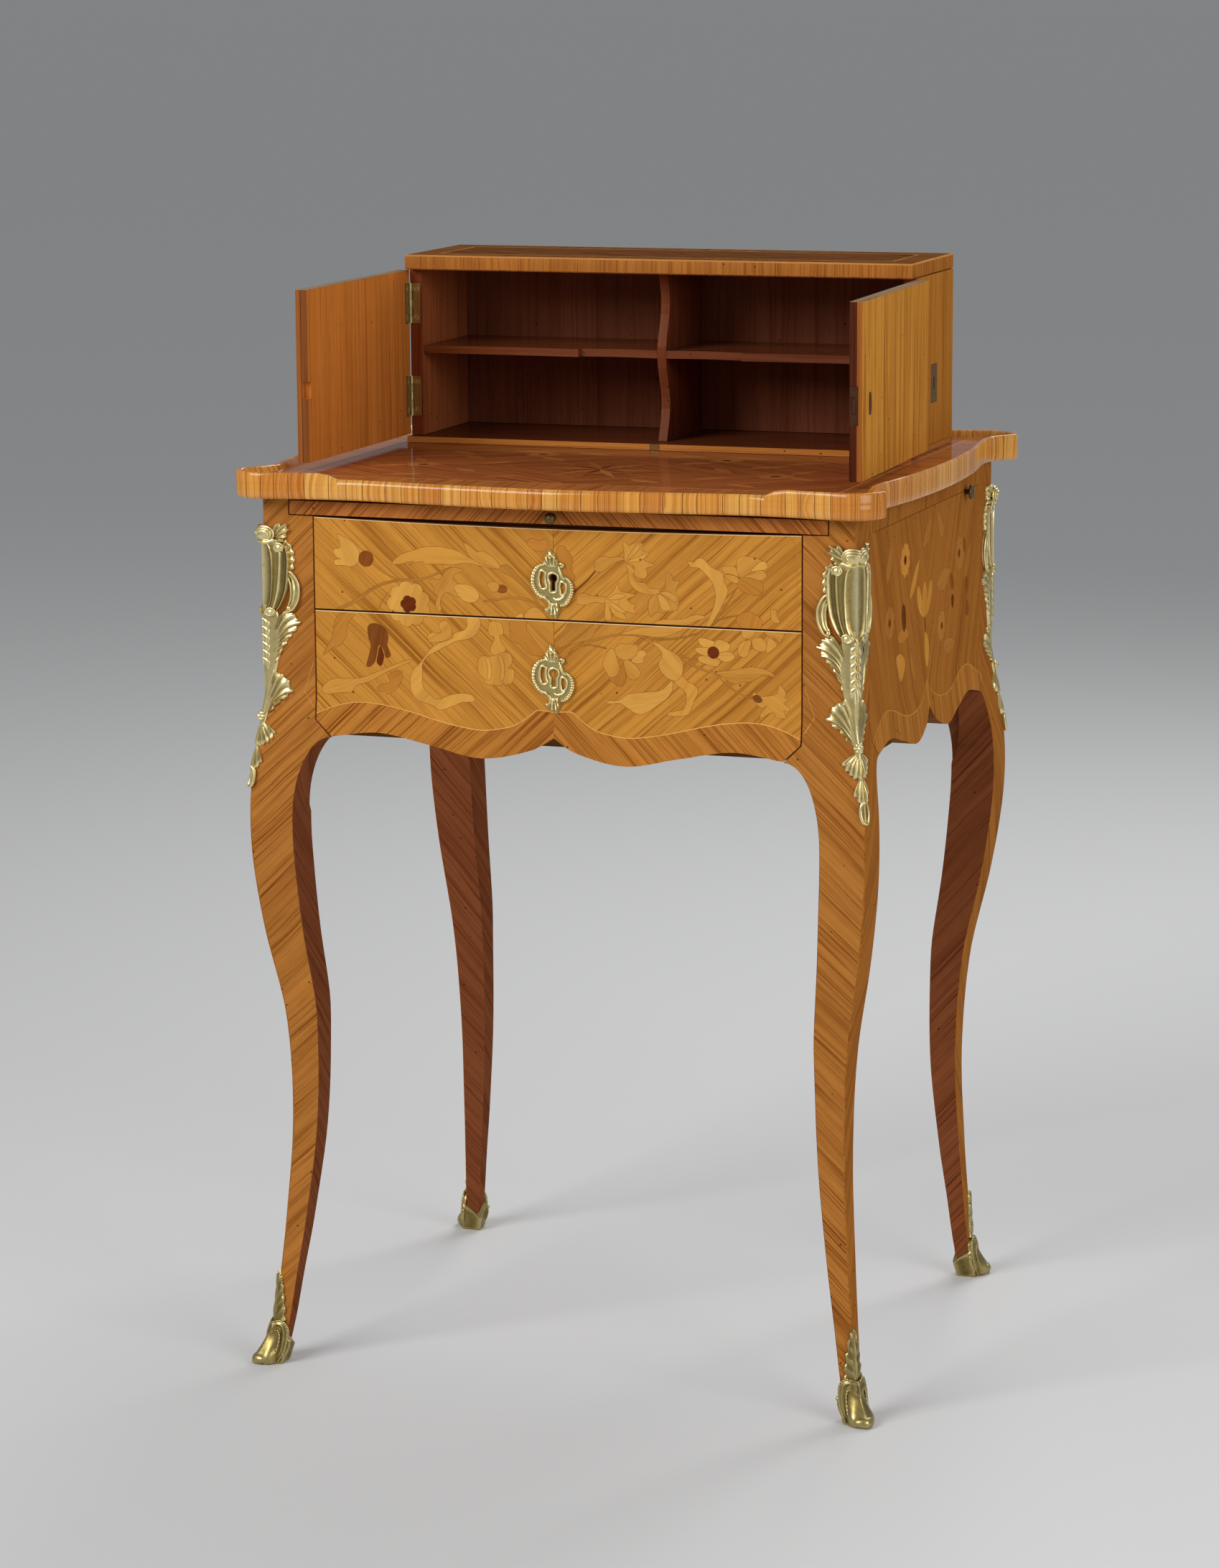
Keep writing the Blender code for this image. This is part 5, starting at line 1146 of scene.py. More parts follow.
def side_flowers():
    """The spray on a side panel. Most of it hardly stands out from the field."""
    return joined(
        stem([(-4, 606), (0, 590), (4, 571)], 2.0, SIDE_FAINT),
        stem([(-66, 660), (-58, 640), (-40, 622), (-8, 606)], 1.8, SIDE_FAINT),
        stem([(98, 652), (70, 626), (30, 606), (0, 592)], 1.8, SIDE_FAINT),
        stem([(-7, 620), (-6, 612), (-4, 604)], 3.4, SIDE_BROWN),
        daisy(-67, 672.5, 14, 9, 3.8, SIDE_PALE),
        daisy(46, 603, 13, 9, 3.0, SIDE_FAINT, SIDE_BROWN),
        daisy(100, 656, 15, 9, 3.6, SIDE_FAINT, SIDE_BROWN),
        daisy(-112, 628, 14, 9, 3.4, SIDE_FAINT, SIDE_BROWN),
        *(blade(leaf, tone) for leaf, tone in SIDE_LEAVES),
    )


def side_layers():
    layers = [half_field(sign, SIDE_END, SIDE_HIGH, (SIDE_FIELD, 66 * sign, 0.5)) for sign in (-1, 1)]
    line = spline(SIDE_STRING, 5)
    for sign in (-1, 1):
        layers += string_band(line, sign, SIDE_END, (SIDE_FAINT, 86, 0.7), (SIDE_PALE, 0, 0.1))
    layers.append(strip(*SIDE_TOP_BAND, (SIDE_FIELD, 75, 0.7)))
    layers.append(strip(*SIDE_TOP_LINE, (SIDE_BROWN, 0, 0.1)))
    return layers + side_flowers()


def make_side_panels():
    layers = side_layers()
    half = [(PANEL_HIGH.y, PANEL_HIGH.z), (PANEL_HIGH.y, SIDE_JOINT_HEIGHT + GAP)]
    half += apron_line(SIDE_APRON, SIDE_NOTCH, SIDE_TIP - GAP, TIP_HEIGHT + 2 * GAP)
    outline = in_mm(mirrored(half))
    knob_low, knob_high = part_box("release_knob")
    knob_y, knob_z = ((knob_low[k] + knob_high[k]) / 2 / MM for k in (1, 2))
    hole = oval(knob_y, knob_z, KNOB_HOLE_RADIUS, KNOB_HOLE_RADIUS)
    for side, sign, holes in (("left", -1, []), ("right", 1, [hole])):
        shape = new_shape()
        inlay(shape, outline, (SIDE_FIELD, 0, 0.5), layers,
              lambda a, b: (sign * CASE_HALF_WIDTH, a * MM, b * MM), holes)
        bend_to_case(shape, 0, sign, CASE_HALF_WIDTH)
        thicken(shape, shape.faces[:], lambda p: (sign * PANEL_LOW.x, p.y, p.z), (BARE, 0, 0.4))
        add_piece("inlaid_side_" + side, shape, "table", [veneer],
                  ["side_panel_" + side], 30)


# Table top and cabinet top: an edge of cross-grain blocks round a field of quartered veneer

BLOCK_WIDTHS = (0.0105, 0.0205)
LAST_BLOCK = 0.008
BLOCK_JOINT = 0.0005
TOP_BORDER = 38
ROOF_BORDER = 22
FIELD_LINE = 0.9
FIELD_GRAIN = 34
STAR_Y = -92
STAR_REACH = 60
STAR_RAYS = 12
SHORT_RAY = 0.62
LIP_WIDTH = 0.0068
LIP_SUNK = 0.0002
LIP_END_RISE = 0.0006

# Leaves of the sprays on the top: place, length, width and turn, and their outline as shares of these
TOP_LEAVES = (
    (62, -34, 34, 11, 35), (98, -74, 32, 10, -50), (128, -42, 36, 11, 40), (165, -70, 30, 10, 60),
    (176, -112, 32, 10, -35), (60, -158, 34, 11, -30), (104, -126, 30, 9, 40), (142, -166, 34, 10, -25),
    (40, 6, 36, 11, 20), (96, 10, 34, 10, -10), (150, -12, 32, 10, 30),
)
LEAF_SHAPE = ((-0.5, 0.0), (-0.2, 0.5), (0.15, 0.42), (0.5, 0.0), (0.15, -0.42), (-0.2, -0.5))


def top_outline():
    """The table top's closed outline, with a bulge on every side and rounded ears at the corners."""
    wide, deep = TOP_HALF_WIDTH, TOP_HALF_DEPTH
    quarter = [
        (wide, 0.0), (wide - SIDE_BOW * SIDE_NECK_DEPTH, SIDE_NECK / 2), (wide - SIDE_NECK_DEPTH, SIDE_NECK),
        *on_circle(wide - EAR_FROM_END, deep - EAR_FROM_FRONT, EAR_RADIUS, EAR_TURNS),
        (FRONT_NECK, deep - FRONT_NECK_DEPTH), (FRONT_NECK / 2, deep - FRONT_BOW * FRONT_NECK_DEPTH),
        (0.0, deep),
    ]
    half = [(x, -y) for x, y in quarter] + [(-x, -y) for x, y in list(reversed(quarter))[1:]]
    return spline(half + [(-x, -y) for x, y in half[1:-1]], 10, closed=True)


def edge_blocks(length, seed, middle):
    """Cross-cut blocks along an edge: where each begins and ends, and its look with the centre of its
    rings, which lies beside the block or in it, near the middle height of the edge."""
    dice = random.Random(seed)
    blocks = []
    start = 0.0
    while start < length:
        end = start + dice.uniform(*BLOCK_WIDTHS)
        if end > length - LAST_BLOCK:
            end = length
        reach = dice.choice((-1, 1)) * dice.uniform(0.6, 1.8) * (end - start)
        rings = (reach, middle + dice.uniform(-0.003, 0.004), dice.uniform(0.25, 0.85))
        blocks.append((start, end, (dice.choice(EDGE_TONES), 90, 0.0, rings)))
        start = end
    return blocks


def edge_stations(path, blocks):
    """Distances, points and outward directions along a path, close together at the blocks' joints."""
    reach = distances(path)
    stops = set(reach)
    for start, _, _ in blocks:
        stops |= {max(0.0, start - BLOCK_JOINT / 2), start + BLOCK_JOINT / 2}
    stations = []
    for stop in sorted(s for s in stops if s <= reach[-1]):
        point, along = point_along(path, reach, stop)
        outward = Vector((along.y, -along.x))
        stations.append((stop, point, -outward if outward.dot(point) < 0 else outward))
    return stations


def block_at(blocks, place):
    return next((block for block in blocks if block[0] <= place <= block[1]), blocks[-1])


def block_look(blocks, place):
    """A block's look, dark at the thin joints between the blocks."""
    start, end, look = block_at(blocks, place)
    if place - start < BLOCK_JOINT / 2 or end - place < BLOCK_JOINT / 2:
        return (JOINT, *look[1:])
    return look


def edge_strip(shape, stations, rings, blocks, capped=False, closed=False):
    """Skin the sections of an edge, each block in its own look."""
    spans = [(a[0], max(a[0], b[0])) for a, b in zip(stations, stations[1:])]
    looks = [block_look(blocks, (a + b) / 2) for a, b in spans]
    rows = loft(shape, rings, lambda ring, side: looks[ring], capped, closed)
    layer = shape.verts.layers.float["station"]
    for (stop, _, _), row in zip(stations, rows):
        start, end, _ = block_at(blocks, stop)
        for vert in row:
            vert[layer] = stop - (start + end) / 2


def flat_at(height):
    """Where a pattern's points lie on a flat face."""
    return lambda a, b: (a * MM, b * MM, height)


def quartered_field(outline, border, tone, band_tone, centre_y=None):
    """Layers of a quartered top: a crossbanded border, a pale line, and four fields meeting in a point."""
    xs, ys = zip(*outline)
    x0, x1, y0, y1 = min(xs) + border, max(xs) - border, min(ys) + border, max(ys) - border
    xm, ym = (x0 + x1) / 2, (y0 + y1) / 2 if centre_y is None else centre_y
    far = 2 * border
    band = (band_tone, 90, 0.8)
    layers = [
        ([(x0 - far, y0 - far), (x1 + far, y0 - far), (xm, ym)], band),
        ([(x0 - far, y1 + far), (x1 + far, y1 + far), (xm, ym)], band),
        ([(x0, y0), (x1, y0), (x1, y1), (x0, y1)], (STRING, 0, 0.2)),
    ]
    x0, x1, y0, y1 = x0 + FIELD_LINE, x1 - FIELD_LINE, y0 + FIELD_LINE, y1 - FIELD_LINE
    for x, y, sign in ((x0, y0, -1), (x1, y0, 1), (x1, y1, -1), (x0, y1, 1)):
        layers.append(([(x, y), (xm, y), (xm, ym), (x, ym)], (tone, sign * FIELD_GRAIN, 0.9)))
    return layers


def star_rays(x, y, reach, count):
    """A star of long inlaid rays, every other one short and darker."""
    rays = []
    half = math.pi / count
    for k in range(count):
        a = 2 * math.pi * k / count
        length, tone = (reach * SHORT_RAY, TOP_DARK) if k % 2 else (reach, TOP_RAY)
        ray = [(x, y)]
        for angle, share in ((a - half * 0.8, 0.34), (a, 1.0), (a + half * 0.8, 0.34)):
            ray.append((x + length * share * math.cos(angle), y + length * share * math.sin(angle)))
        rays += cut(ray, tone, math.degrees(a), 0.3, 0.25)
    return rays


def top_leaf(side, x, y, long, wide, turn):
    a = math.radians(turn)
    leaf = []
    for share, half in LEAF_SHAPE:
        u, v = share * long, half * wide
        across, back = x + u * math.cos(a) - v * math.sin(a), y + u * math.sin(a) + v * math.cos(a)
        leaf.append((side * across, back))
    return blade(leaf, TOP_RAY)


def top_sprays():
    """Leaves and flowers on the table top, between its middle and the cabinet and at both sides."""
    return joined(*(joined(
        stem([(side * 30, -70), (side * 70, -50), (side * 120, -60), (side * 165, -95)], 2.4, TOP_RAY),
        stem([(side * 25, -110), (side * 70, -140), (side * 130, -150)], 2.0, TOP_RAY),
        *(top_leaf(side, *leaf) for leaf in TOP_LEAVES),
        daisy(side * 150, -100, 15, 7, 4.5, TOP_RAY),
        daisy(side * 80, -8, 14, 6, 4.2, TOP_RAY),
    ) for side in (-1, 1)))


def make_table_top():
    outline = top_outline()
    path = outline + outline[:1]
    blocks = edge_blocks(distances(path)[-1], 5, (UNDER_TOP + TABLE_HEIGHT) / 2)
    stations = edge_stations(path, blocks)
    moulding = [
        (0.0030, UNDER_TOP), (0.0012, UNDER_TOP + 0.0007), (0.0003, UNDER_TOP + 0.0024),
        (0.0, UNDER_TOP + 0.45 * (TABLE_HEIGHT - UNDER_TOP)), (0.0002, TABLE_HEIGHT - 0.0034),
        (0.0010, TABLE_HEIGHT - 0.0014), (0.0024, TABLE_HEIGHT - 0.0003), (0.0040, TABLE_HEIGHT),
    ]
    rings = [[(*(point - outward * inset), height) for inset, height in moulding]
             for _, point, outward in stations]
    shape = new_shape()
    edge_strip(shape, stations, rings, blocks)
    upper, lower = (in_mm(ring[k] for ring in rings[:-1]) for k in (-1, 0))
    layers = quartered_field(upper, TOP_BORDER, TOP_FIELD, TOP_BAND, STAR_Y) + top_sprays()
    layers += star_rays(0, STAR_Y, STAR_REACH, STAR_RAYS)
    inlay(shape, upper, (TOP_BAND, 0, 0.8), layers, flat_at(TABLE_HEIGHT))
    inlay(shape, lower, (BARE, 0, 0.4), [], flat_at(UNDER_TOP))
    add_piece("veneered_table_top", shape, "table", [polished, edging], ["table_top"], 50)
    make_lip(stations, blocks)


def make_lip(stations, blocks):
    """The raised lip, on the top's outline from one front end round the back to the other."""
    lip_end = FRONT_NECK + LIP_PAST_NECK
    kept = [s for s in stations if not (s[1].y < 0 and abs(s[1].x) < lip_end)]
    first = next(i for i in range(len(kept)) if kept[i][1].x < 0 and kept[i][1].y < 0)
    kept = kept[first:] + kept[:first]
    reach = distances([s[1] for s in kept])
    low = TABLE_HEIGHT - LIP_SUNK
    rings = []
    for (_, point, outward), place in zip(kept, reach):
        share = min(1.0, min(place, reach[-1] - place) / LIP_RUN_OUT)
        rise = LIP_END_RISE + (LIP_TOP - low - LIP_END_RISE) * share**2 * (3 - 2 * share)
        section = [
            (0.0, -0.004), (0.0, rise - 0.0016), (0.0006, rise - 0.0004), (0.0018, rise),
            (0.0034, rise - 0.0002), (0.0052, rise * 0.62), (LIP_WIDTH, rise * 0.18),
            (LIP_WIDTH + 0.0006, 0.0), (LIP_WIDTH, -0.001),
        ]
        rings.append([(*(point - outward * inset), low + up) for inset, up in section])
    shape = new_shape()
    edge_strip(shape, kept, rings, blocks, True, True)
    add_piece("moulded_lip", shape, "table", [veneer, edging], ["top_lip"], 50)


def make_cabinet_top():
    low, high = ROOF_LOW, ROOF_HIGH
    corners = [(low.x, low.y), (high.x, low.y), (high.x, high.y), (low.x, high.y)]
    rings = []
    for inset, height in (
        (0.0012, low.z), (0.0, low.z + 0.0010), (0.0, high.z - 0.0012), (0.0005, high.z - 0.0004),
        (0.0014, high.z),
    ):
        rings.append([(x - math.copysign(inset, x), y + inset if y == low.y else y - inset, height)
                      for x, y in corners])
    edge, arris = (ROOF_EDGE, 90, 0.85), (ROOF_ARRIS, 0, 0.3)
    shape = new_shape()
    loft(shape, rings, lambda ring, side: arris if ring > 1 else edge, capped=False)
    upper = in_mm(rings[-1])
    layers = quartered_field(upper, ROOF_BORDER, ROOF_FIELD, ROOF_BAND)
    inlay(shape, upper, (ROOF_BAND, 0, 0.7), layers, flat_at(high.z))
    inlay(shape, in_mm(rings[0]), (ROOF_UNDER, 0, 0.5), [], flat_at(low.z))
    add_piece("veneered_cabinet_top", shape, "table", [roof], ["cabinet_top"], 50)


# Gilt mounts. Ornament is drawn in millimetres: across the surface, up, and out from it.

GILT_LOOK = (srgb(200, 170, 100), 0, 0.0)
# Puts a face in a piece's second material: the darker gilt, as painted shade on a sunk sheet
SHADED_HOLLOW_LOOK = (*GILT_LOOK, (0.0, 0.0, 0.0))
SUNK = -0.3
CORNER_SOFT = 6.0
STRAP_POINTS = 9
CORD_SIDES = 8
BEAD_SIDES = 12
FAN_RAYS = 8
FAN_STEPS = 10


def strap(shape, at, spine, widths, heights, base, flutes=0, stations=14):
    """A leaf or strap: a crowned, fluted strip along a smooth spine, with half widths and crest heights
    by share of its length."""
    line = spline(spine, 6)
    reach = distances(line)
    rings = []
    for share in spread(0.0, 1.0, stations):
        here, along = point_along(line, reach, share * reach[-1])
        half, crest = smooth(widths, share), smooth(heights, share)

        def beside(q, out):
            return at(here.x - along.y * half * q, here.y + along.x * half * q, out)

        ring = []
        for q in spread(-1.0, 1.0, STRAP_POINTS):
            flute = 0.22 * math.cos(math.pi * flutes * q) if flutes else 0.0
            ring.append(beside(q, base + crest * ((1 - q * q) ** 0.55 * (1 + flute))))
        rings.append(ring + [beside(1, SUNK), beside(-1, SUNK)])
    loft(shape, rings, GILT_LOOK)


def cord(shape, at, path, radius, taper=0.5, beads=0):
    """A round bar along a path across, up and out, thinner at its ends, or knobbed like a row of beads."""
    line = spline(path, 18 if beads else 7)
    turns = [2 * math.pi * k / CORD_SIDES for k in range(CORD_SIDES)]
    last = len(line) - 1
    rings = []
    for i, here in enumerate(line):
        along = (line[min(i + 1, last)] - line[max(i - 1, 0)]).normalized()
        across = along.cross(Vector((0, 0, 1)))
        across = across.normalized() if across.length > 1e-6 else Vector((1, 0, 0))
        third = along.cross(across)
        share = i / last
        thick = radius * (taper + (1 - taper) * min(1.0, 4 * share, 4 * (1 - share)))
        if beads:
            thick *= 0.74 + 0.34 * abs(math.sin(math.pi * beads * share))
        rings.append([at(*(here + (across * math.cos(a) + third * math.sin(a)) * thick)) for a in turns])
    loft(shape, rings, GILT_LOOK)


def bead(shape, at, across, up, out, radius, flat=1.0):
    turns = [2 * math.pi * k / BEAD_SIDES for k in range(BEAD_SIDES)]
    rings = []
    for tilt in spread(-86, 86, 9):
        b = math.radians(tilt)
        level = out + flat * radius * math.sin(b)
        reach = radius * math.cos(b)
        rings.append([at(across + reach * math.cos(a), up + reach * math.sin(a), level) for a in turns])
    loft(shape, rings, GILT_LOOK)


def fan(shape, at, lobes, crest, base, notch):
    """A leaf with fingers: a fluted sheet of curved rays, each finger drawn by its root, bend and tip."""
    rings = []
    for k in range((len(lobes) - 1) * FAN_RAYS + 1):
        i = min(k // FAN_RAYS, len(lobes) - 2)
        share = k / FAN_RAYS - i
        root, bend, tip = (Vector(a).lerp(Vector(b), share) for a, b in zip(lobes[i], lobes[i + 1]))
        fold = math.sin(math.pi * share)
        length = (bend - root).length + (tip - bend).length
        reach = 1 - min(0.3, notch / length) * fold**2.4
        upper, under = [], []
        for t in spread(0.0, reach, FAN_STEPS):
            here = root * (1 - t) ** 2 + bend * (2 * t * (1 - t)) + tip * t**2
            swell = base + math.sin(math.pi * min(1.0, 0.9 * t)) + crest * t**0.7 * (1 - fold) ** 0.7
            if t == reach:
                swell *= 0.45
            upper.append(at(here.x, here.y, swell))
            under.append(at(here.x, here.y, SUNK))
        rings.append(upper + under[::-1])
    loft(shape, rings, GILT_LOOK)


def corner_place(x_sign, y_sign, face):
    """Places on a leg round its outer corner: across from the corner on one face, up, and out."""
    def at(across, up, out):
        x_out, y_out = outer_corner(up * MM, y_sign > 0)
        across *= face
        turn = math.radians(45 + 45 * max(-1.0, min(1.0, across / CORNER_SOFT)))
        x = x_out - max(across, 0.0) * MM + out * MM * math.cos(turn)
        y = y_out + min(across, 0.0) * MM + out * MM * math.sin(turn)
        return (x_sign * x, y_sign * y, up * MM)

    return at


# Knee mounts. Each finger of a leaf has a root, a bend and a tip, across from the corner and up.

HEAD_LEAF = (
    ((8, 690), (10, 699), (14, 702.5)), ((9, 690), (15, 699), (22, 702)), ((9, 689), (17, 695), (24, 697)),
    ((9, 688), (16, 691), (21, 691)), ((9, 687), (14, 688), (19, 687)),
)
RUFFLE = (
    ((17, 684), (20, 688), (20, 689)), ((20, 681), (24, 685), (25, 685)),
    ((21, 676), (25, 680), (27.5, 679)), ((21.5, 670), (25, 674), (28, 672)),
    ((21.5, 664), (25, 668), (27, 665.5)), ((21, 661), (23, 663), (24, 660)),
)
BIG_LEAF = (
    ((4, 590), (8, 626), (20, 632)), ((4.5, 587), (9, 624), (27, 629)), ((5, 585), (10, 620), (32, 622.5)),
    ((5.5, 584), (11, 615), (28, 616)), ((6, 583.5), (11, 610), (23.5, 610)),
    ((6.5, 583), (11, 604), (19, 604)), ((7, 582.5), (10.5, 598), (15, 597.5)),
    ((7, 582), (9.5, 592), (11.5, 590)),
)
SMALL_LEAF = (
    ((1, 549), (3, 572), (8, 583)), ((1.5, 548), (6, 574), (15, 580)), ((2, 547.5), (9, 571), (21, 574.5)),
    ((2.5, 547), (11, 566), (24.5, 566)), ((3, 547), (10, 561), (18.5, 560)),
    ((3.5, 547), (8, 556), (13, 555.5)), ((4, 547), (6.5, 551), (9, 550.5)),
)
FIRST_HUSK = (
    ((1.5, 541), (8, 538), (15, 532)), ((1.2, 541), (7, 534), (12.5, 526.5)),
    ((1, 541), (5.5, 531), (9, 523)), ((0.6, 541), (3, 530), (5, 521)),
    ((0.2, 541), (0.8, 530), (1.0, 520.5)),
)
SECOND_HUSK = (
    ((0.8, 523), (4.5, 517), (7, 508)), ((0.5, 523), (3, 512), (4.4, 502.5)),
    ((0.2, 523), (0.8, 511), (1.2, 500.5)),
)

# A leaf's crest, its level at the root, and how deep the notches between its fingers are
CHUTE_LEAVES = (
    (BIG_LEAF, 1.5, 0.9, 2.6), (SMALL_LEAF, 1.5, 0.9, 2.6), (FIRST_HUSK, 1.4, 1.0, 2.0),
    (SECOND_HUSK, 1.4, 1.0, 2.0), (RUFFLE, 1.4, 0.6, 2.0), (HEAD_LEAF, 1.6, 1.6, 2.2),
)

# A shield by height: how far its outer edge, its rib and the rim of its spoon are from the corner, and
# its relief between the corner and the rim, the rim and the rib, and the rib and the edge
SHIELD_EDGE = (
    (627, 8.0), (632, 13.0), (640, 18.0), (650, 21.5), (664, 23.0), (678, 23.0), (684, 20.5), (687, 16.0),
)
SHIELD_RIB = ((627, 5.0), (632, 8.0), (640, 11.0), (650, 13.2), (664, 14.6), (678, 15.0), (687, 13.0))
SHIELD_RIM = ((627, 0.8), (630, 3.6), (640, 7.2), (655, 8.8), (670, 8.8), (680, 7.6), (687, 4.5))
SPOON = ((0.0, 1.5), (0.5, 1.8), (0.82, 2.8), (0.93, 4.3), (1.0, 4.5))
SWELLING = ((0.10, 3.5), (0.5, 4.0), (0.86, 3.6), (1.0, 4.9))
BORDER = ((0.10, 4.7), (0.2, 3.4), (0.5, 2.6), (0.74, 3.2), (0.84, 4.6), (0.95, 4.7), (1.0, 3.4))
SCROLL_TURNS = ((1.1, -0.6), (1.15, 0.6), (1.1, 1.8), (1.0, 3.0), (0.8, 4.2), (0.5, 5.4))

# Straps and bars: their spines, then half widths and crests by share of their length
STALK = ((4, 636), (7, 622), (8, 606), (6, 590), (4, 576), (3, 560), (1.5, 540), (0.8, 514), (0.6, 488))
STALK_WIDTH = (
    (0.0, 5.0), (0.1, 7.0), (0.2, 7.5), (0.31, 6.0), (0.42, 4.4), (0.52, 3.4), (0.64, 2.2), (0.8, 1.6),
    (1.0, 1.0),
)
STALK_CREST = ((0.0, 1.6), (0.2, 2.4), (0.5, 1.8), (1.0, 1.0))
WING = ((21.5, 661.5), (25.6, 657), (27.2, 648), (25.6, 639), (21.5, 633))
WING_WIDTH = ((0.0, 1.4), (0.25, 3.4), (0.6, 3.6), (1.0, 1.8))
WING_CREST = ((0.0, 1.6), (0.5, 2.8), (1.0, 1.8))
WING_OUTER = (
    (21, 664, 2.4), (26, 661.5, 2.6), (30.6, 653, 2.4), (30.6, 642.5, 2.2), (26.4, 633.6, 2.4),
    (21.5, 630.6, 2.4),
)
WING_INNER = ((22.5, 658, 3.0), (24.4, 651, 2.8), (24.2, 642, 2.8), (22, 635.5, 3.0))
HEAD_BAR = ((0.2, 687.5, 4.2), (5, 686.6, 4.4), (10, 688.2, 3.8), (14, 687.4, 3.0))
TAIL_RING = ((0.2, 504, 2.4), (2.6, 501.5, 2.4), (3.5, 495, 2.4), (2.5, 488.8, 2.2), (0.2, 486.9, 2.0))
SCALE_WIDTH = ((0.0, 1.0), (0.5, 2.2), (1.0, 0.5))
SMALL_WIDTH = ((0.0, 0.8), (0.45, 1.7), (0.8, 1.6), (1.0, 0.4))
SMALL_CREST = ((0.0, 0.9), (0.5, 1.7), (1.0, 0.8))


def make_shield(shape, at):
    """A spoon round the corner, a narrow swelling beside it, and a hollow band with a raised border."""
    rings = []
    for up in spread(627, 687, 34):
        edge, rib, rim = (smooth(line, up) for line in (SHIELD_EDGE, SHIELD_RIB, SHIELD_RIM))
        section = []
        for inner, outer, relief in ((0.0, rim, SPOON), (rim, rib, SWELLING), (rib, edge, BORDER)):
            section += [(inner + share * (outer - inner), out) for share, out in relief]
        section += [(edge + 0.3, 1.6), (edge + 0.3, SUNK)]
        whole = section + [(-across, out) for across, out in reversed(section[1:])]
        rings.append([at(across, up, out) for across, out in whole])
    loft(shape, rings, GILT_LOOK)


def shield_scrolls(shape, at):
    for across, up, radius in ((15.0, 682.0, 3.8), (7.0, 629.5, 3.4)):
        bead(shape, at, across, up, 3.6, radius, 0.6)
        cord(shape, at, [(across + radius * k * math.cos(a), up + radius * k * math.sin(a), 4.6)
                         for k, a in SCROLL_TURNS], 0.9)


def make_wing(shape, at):
    """The C-shaped scroll beside a shield."""
    strap(shape, at, WING, WING_WIDTH, WING_CREST, 0.6, 2, 20)
    cord(shape, at, WING_OUTER, 1.2)
    cord(shape, at, WING_INNER, 0.9)
    bead(shape, at, 22.0, 633.5, 2.4, 2.0, 0.8)


def make_head(shape, at):
    """The knob over a shield, with three ridges round it and a bar under it."""
    bead(shape, at, 3.5, 693.5, 3.0, 6.4, 0.62)
    for reach, out, thick in ((3.0, 6.8, 1.0), (5.0, 5.6, 1.1), (7.0, 4.0, 1.2)):
        cord(shape, at, [(max(0.2, 3.5 + reach * math.cos(a)), 693 + 0.9 * reach * math.sin(a), out)
                         for a in (-0.9, -0.1, 0.8, 1.6, 2.4, 3.2)], thick)
    cord(shape, at, HEAD_BAR, 1.6)


def make_chute(corner, x_sign, y_sign):
    shape = new_shape()
    make_shield(shape, corner_place(x_sign, y_sign, 1))
    for face in (1, -1):
        at = corner_place(x_sign, y_sign, face)
        strap(shape, at, STALK, STALK_WIDTH, STALK_CREST, 0.4, 0, 44)
        for leaf, crest, base, notch in CHUTE_LEAVES:
            fan(shape, at, leaf, crest, base, notch)
        shield_scrolls(shape, at)
        make_wing(shape, at)
        for k in range(6):
            up = 624 - 6.4 * k
            scale = [(0.2, up), (3.2, up - 2.5), (3.8, up - 8.5)]
            strap(shape, at, scale, SCALE_WIDTH, SMALL_CREST, 1.9, 0, 9)
        make_head(shape, at)
        cord(shape, at, TAIL_RING, 1.1, taper=0.8)
        for k in range(6):
            a = math.radians(60 * k)
            bead(shape, at, 0.4 + 2.4 * math.cos(a), 545 + 2.8 * math.sin(a), 2.8, 1.4)
    bead(shape, corner_place(x_sign, y_sign, 1), 0.0, 545.0, 3.2, 2.4)
    add_piece("gilt_chute_" + corner, shape, "table", [gilt], ["chute_" + corner], 60)


# Shoes

SHOE_TOE = ((0.0, 0.78), (0.12, 0.92), (0.25, 0.90), (0.415, 0.66), (0.653, 0.40), (1.0, 0.28))
TOE_REACH = 0.0120
TOE_UNDERCUT = 0.0012
SHOE_MARGIN = 0.0022
SHOE_SLOPE = 0.30
SHOE_TOP = LEG_FOOT + 0.0010
SHOE_LEAF = (
    ((0.3, 30), (5, 35), (10.4, 36.5)), ((0.3, 36), (4.4, 44), (9.0, 46)), ((0.3, 43), (3.6, 52), (7.2, 55)),
    ((0.3, 50), (2.6, 60), (5.4, 64)), ((0.2, 56), (1.2, 68), (2.8, 73.5)),
    ((0.1, 58), (0.1, 70), (0.1, 77.5)),
)
SHOE_FLAP = (
    ((-4, 34), (-5, 30), (-5.4, 27)), ((-2, 34), (-2.4, 28), (-2.8, 24)), ((0, 34), (0, 27), (0, 20.5)),
    ((2, 34), (2.4, 28), (2.8, 24)), ((4, 34), (5, 30), (5.4, 27)),
)
SHOE_SCROLL = ((1, 32), (6, 33), (10.4, 29), (11.8, 20), (11.0, 10), (7.4, 1.6))
SHOE_SCROLL_WIDTH = ((0.0, 1.4), (0.2, 2.8), (0.6, 3.4), (1.0, 2.6))
SHOE_SCROLL_CREST = ((0.0, 1.2), (0.5, 1.5), (1.0, 1.2))
SHOE_INNER_BEADS = (
    (2.6, 27.4, 4.8), (5.6, 28.0, 4.6), (7.8, 23.6, 4.6), (8.2, 16, 5.0), (7.2, 9, 6.4), (4.6, 3.2, 9.0),
)
SHOE_OUTER_BEADS = (
    (1, 34.4, 4.0), (7, 35.8, 3.4), (12.8, 31, 3.0), (14.6, 20, 3.0), (13.6, 10, 3.2), (10.2, 1.6, 4.4),
)
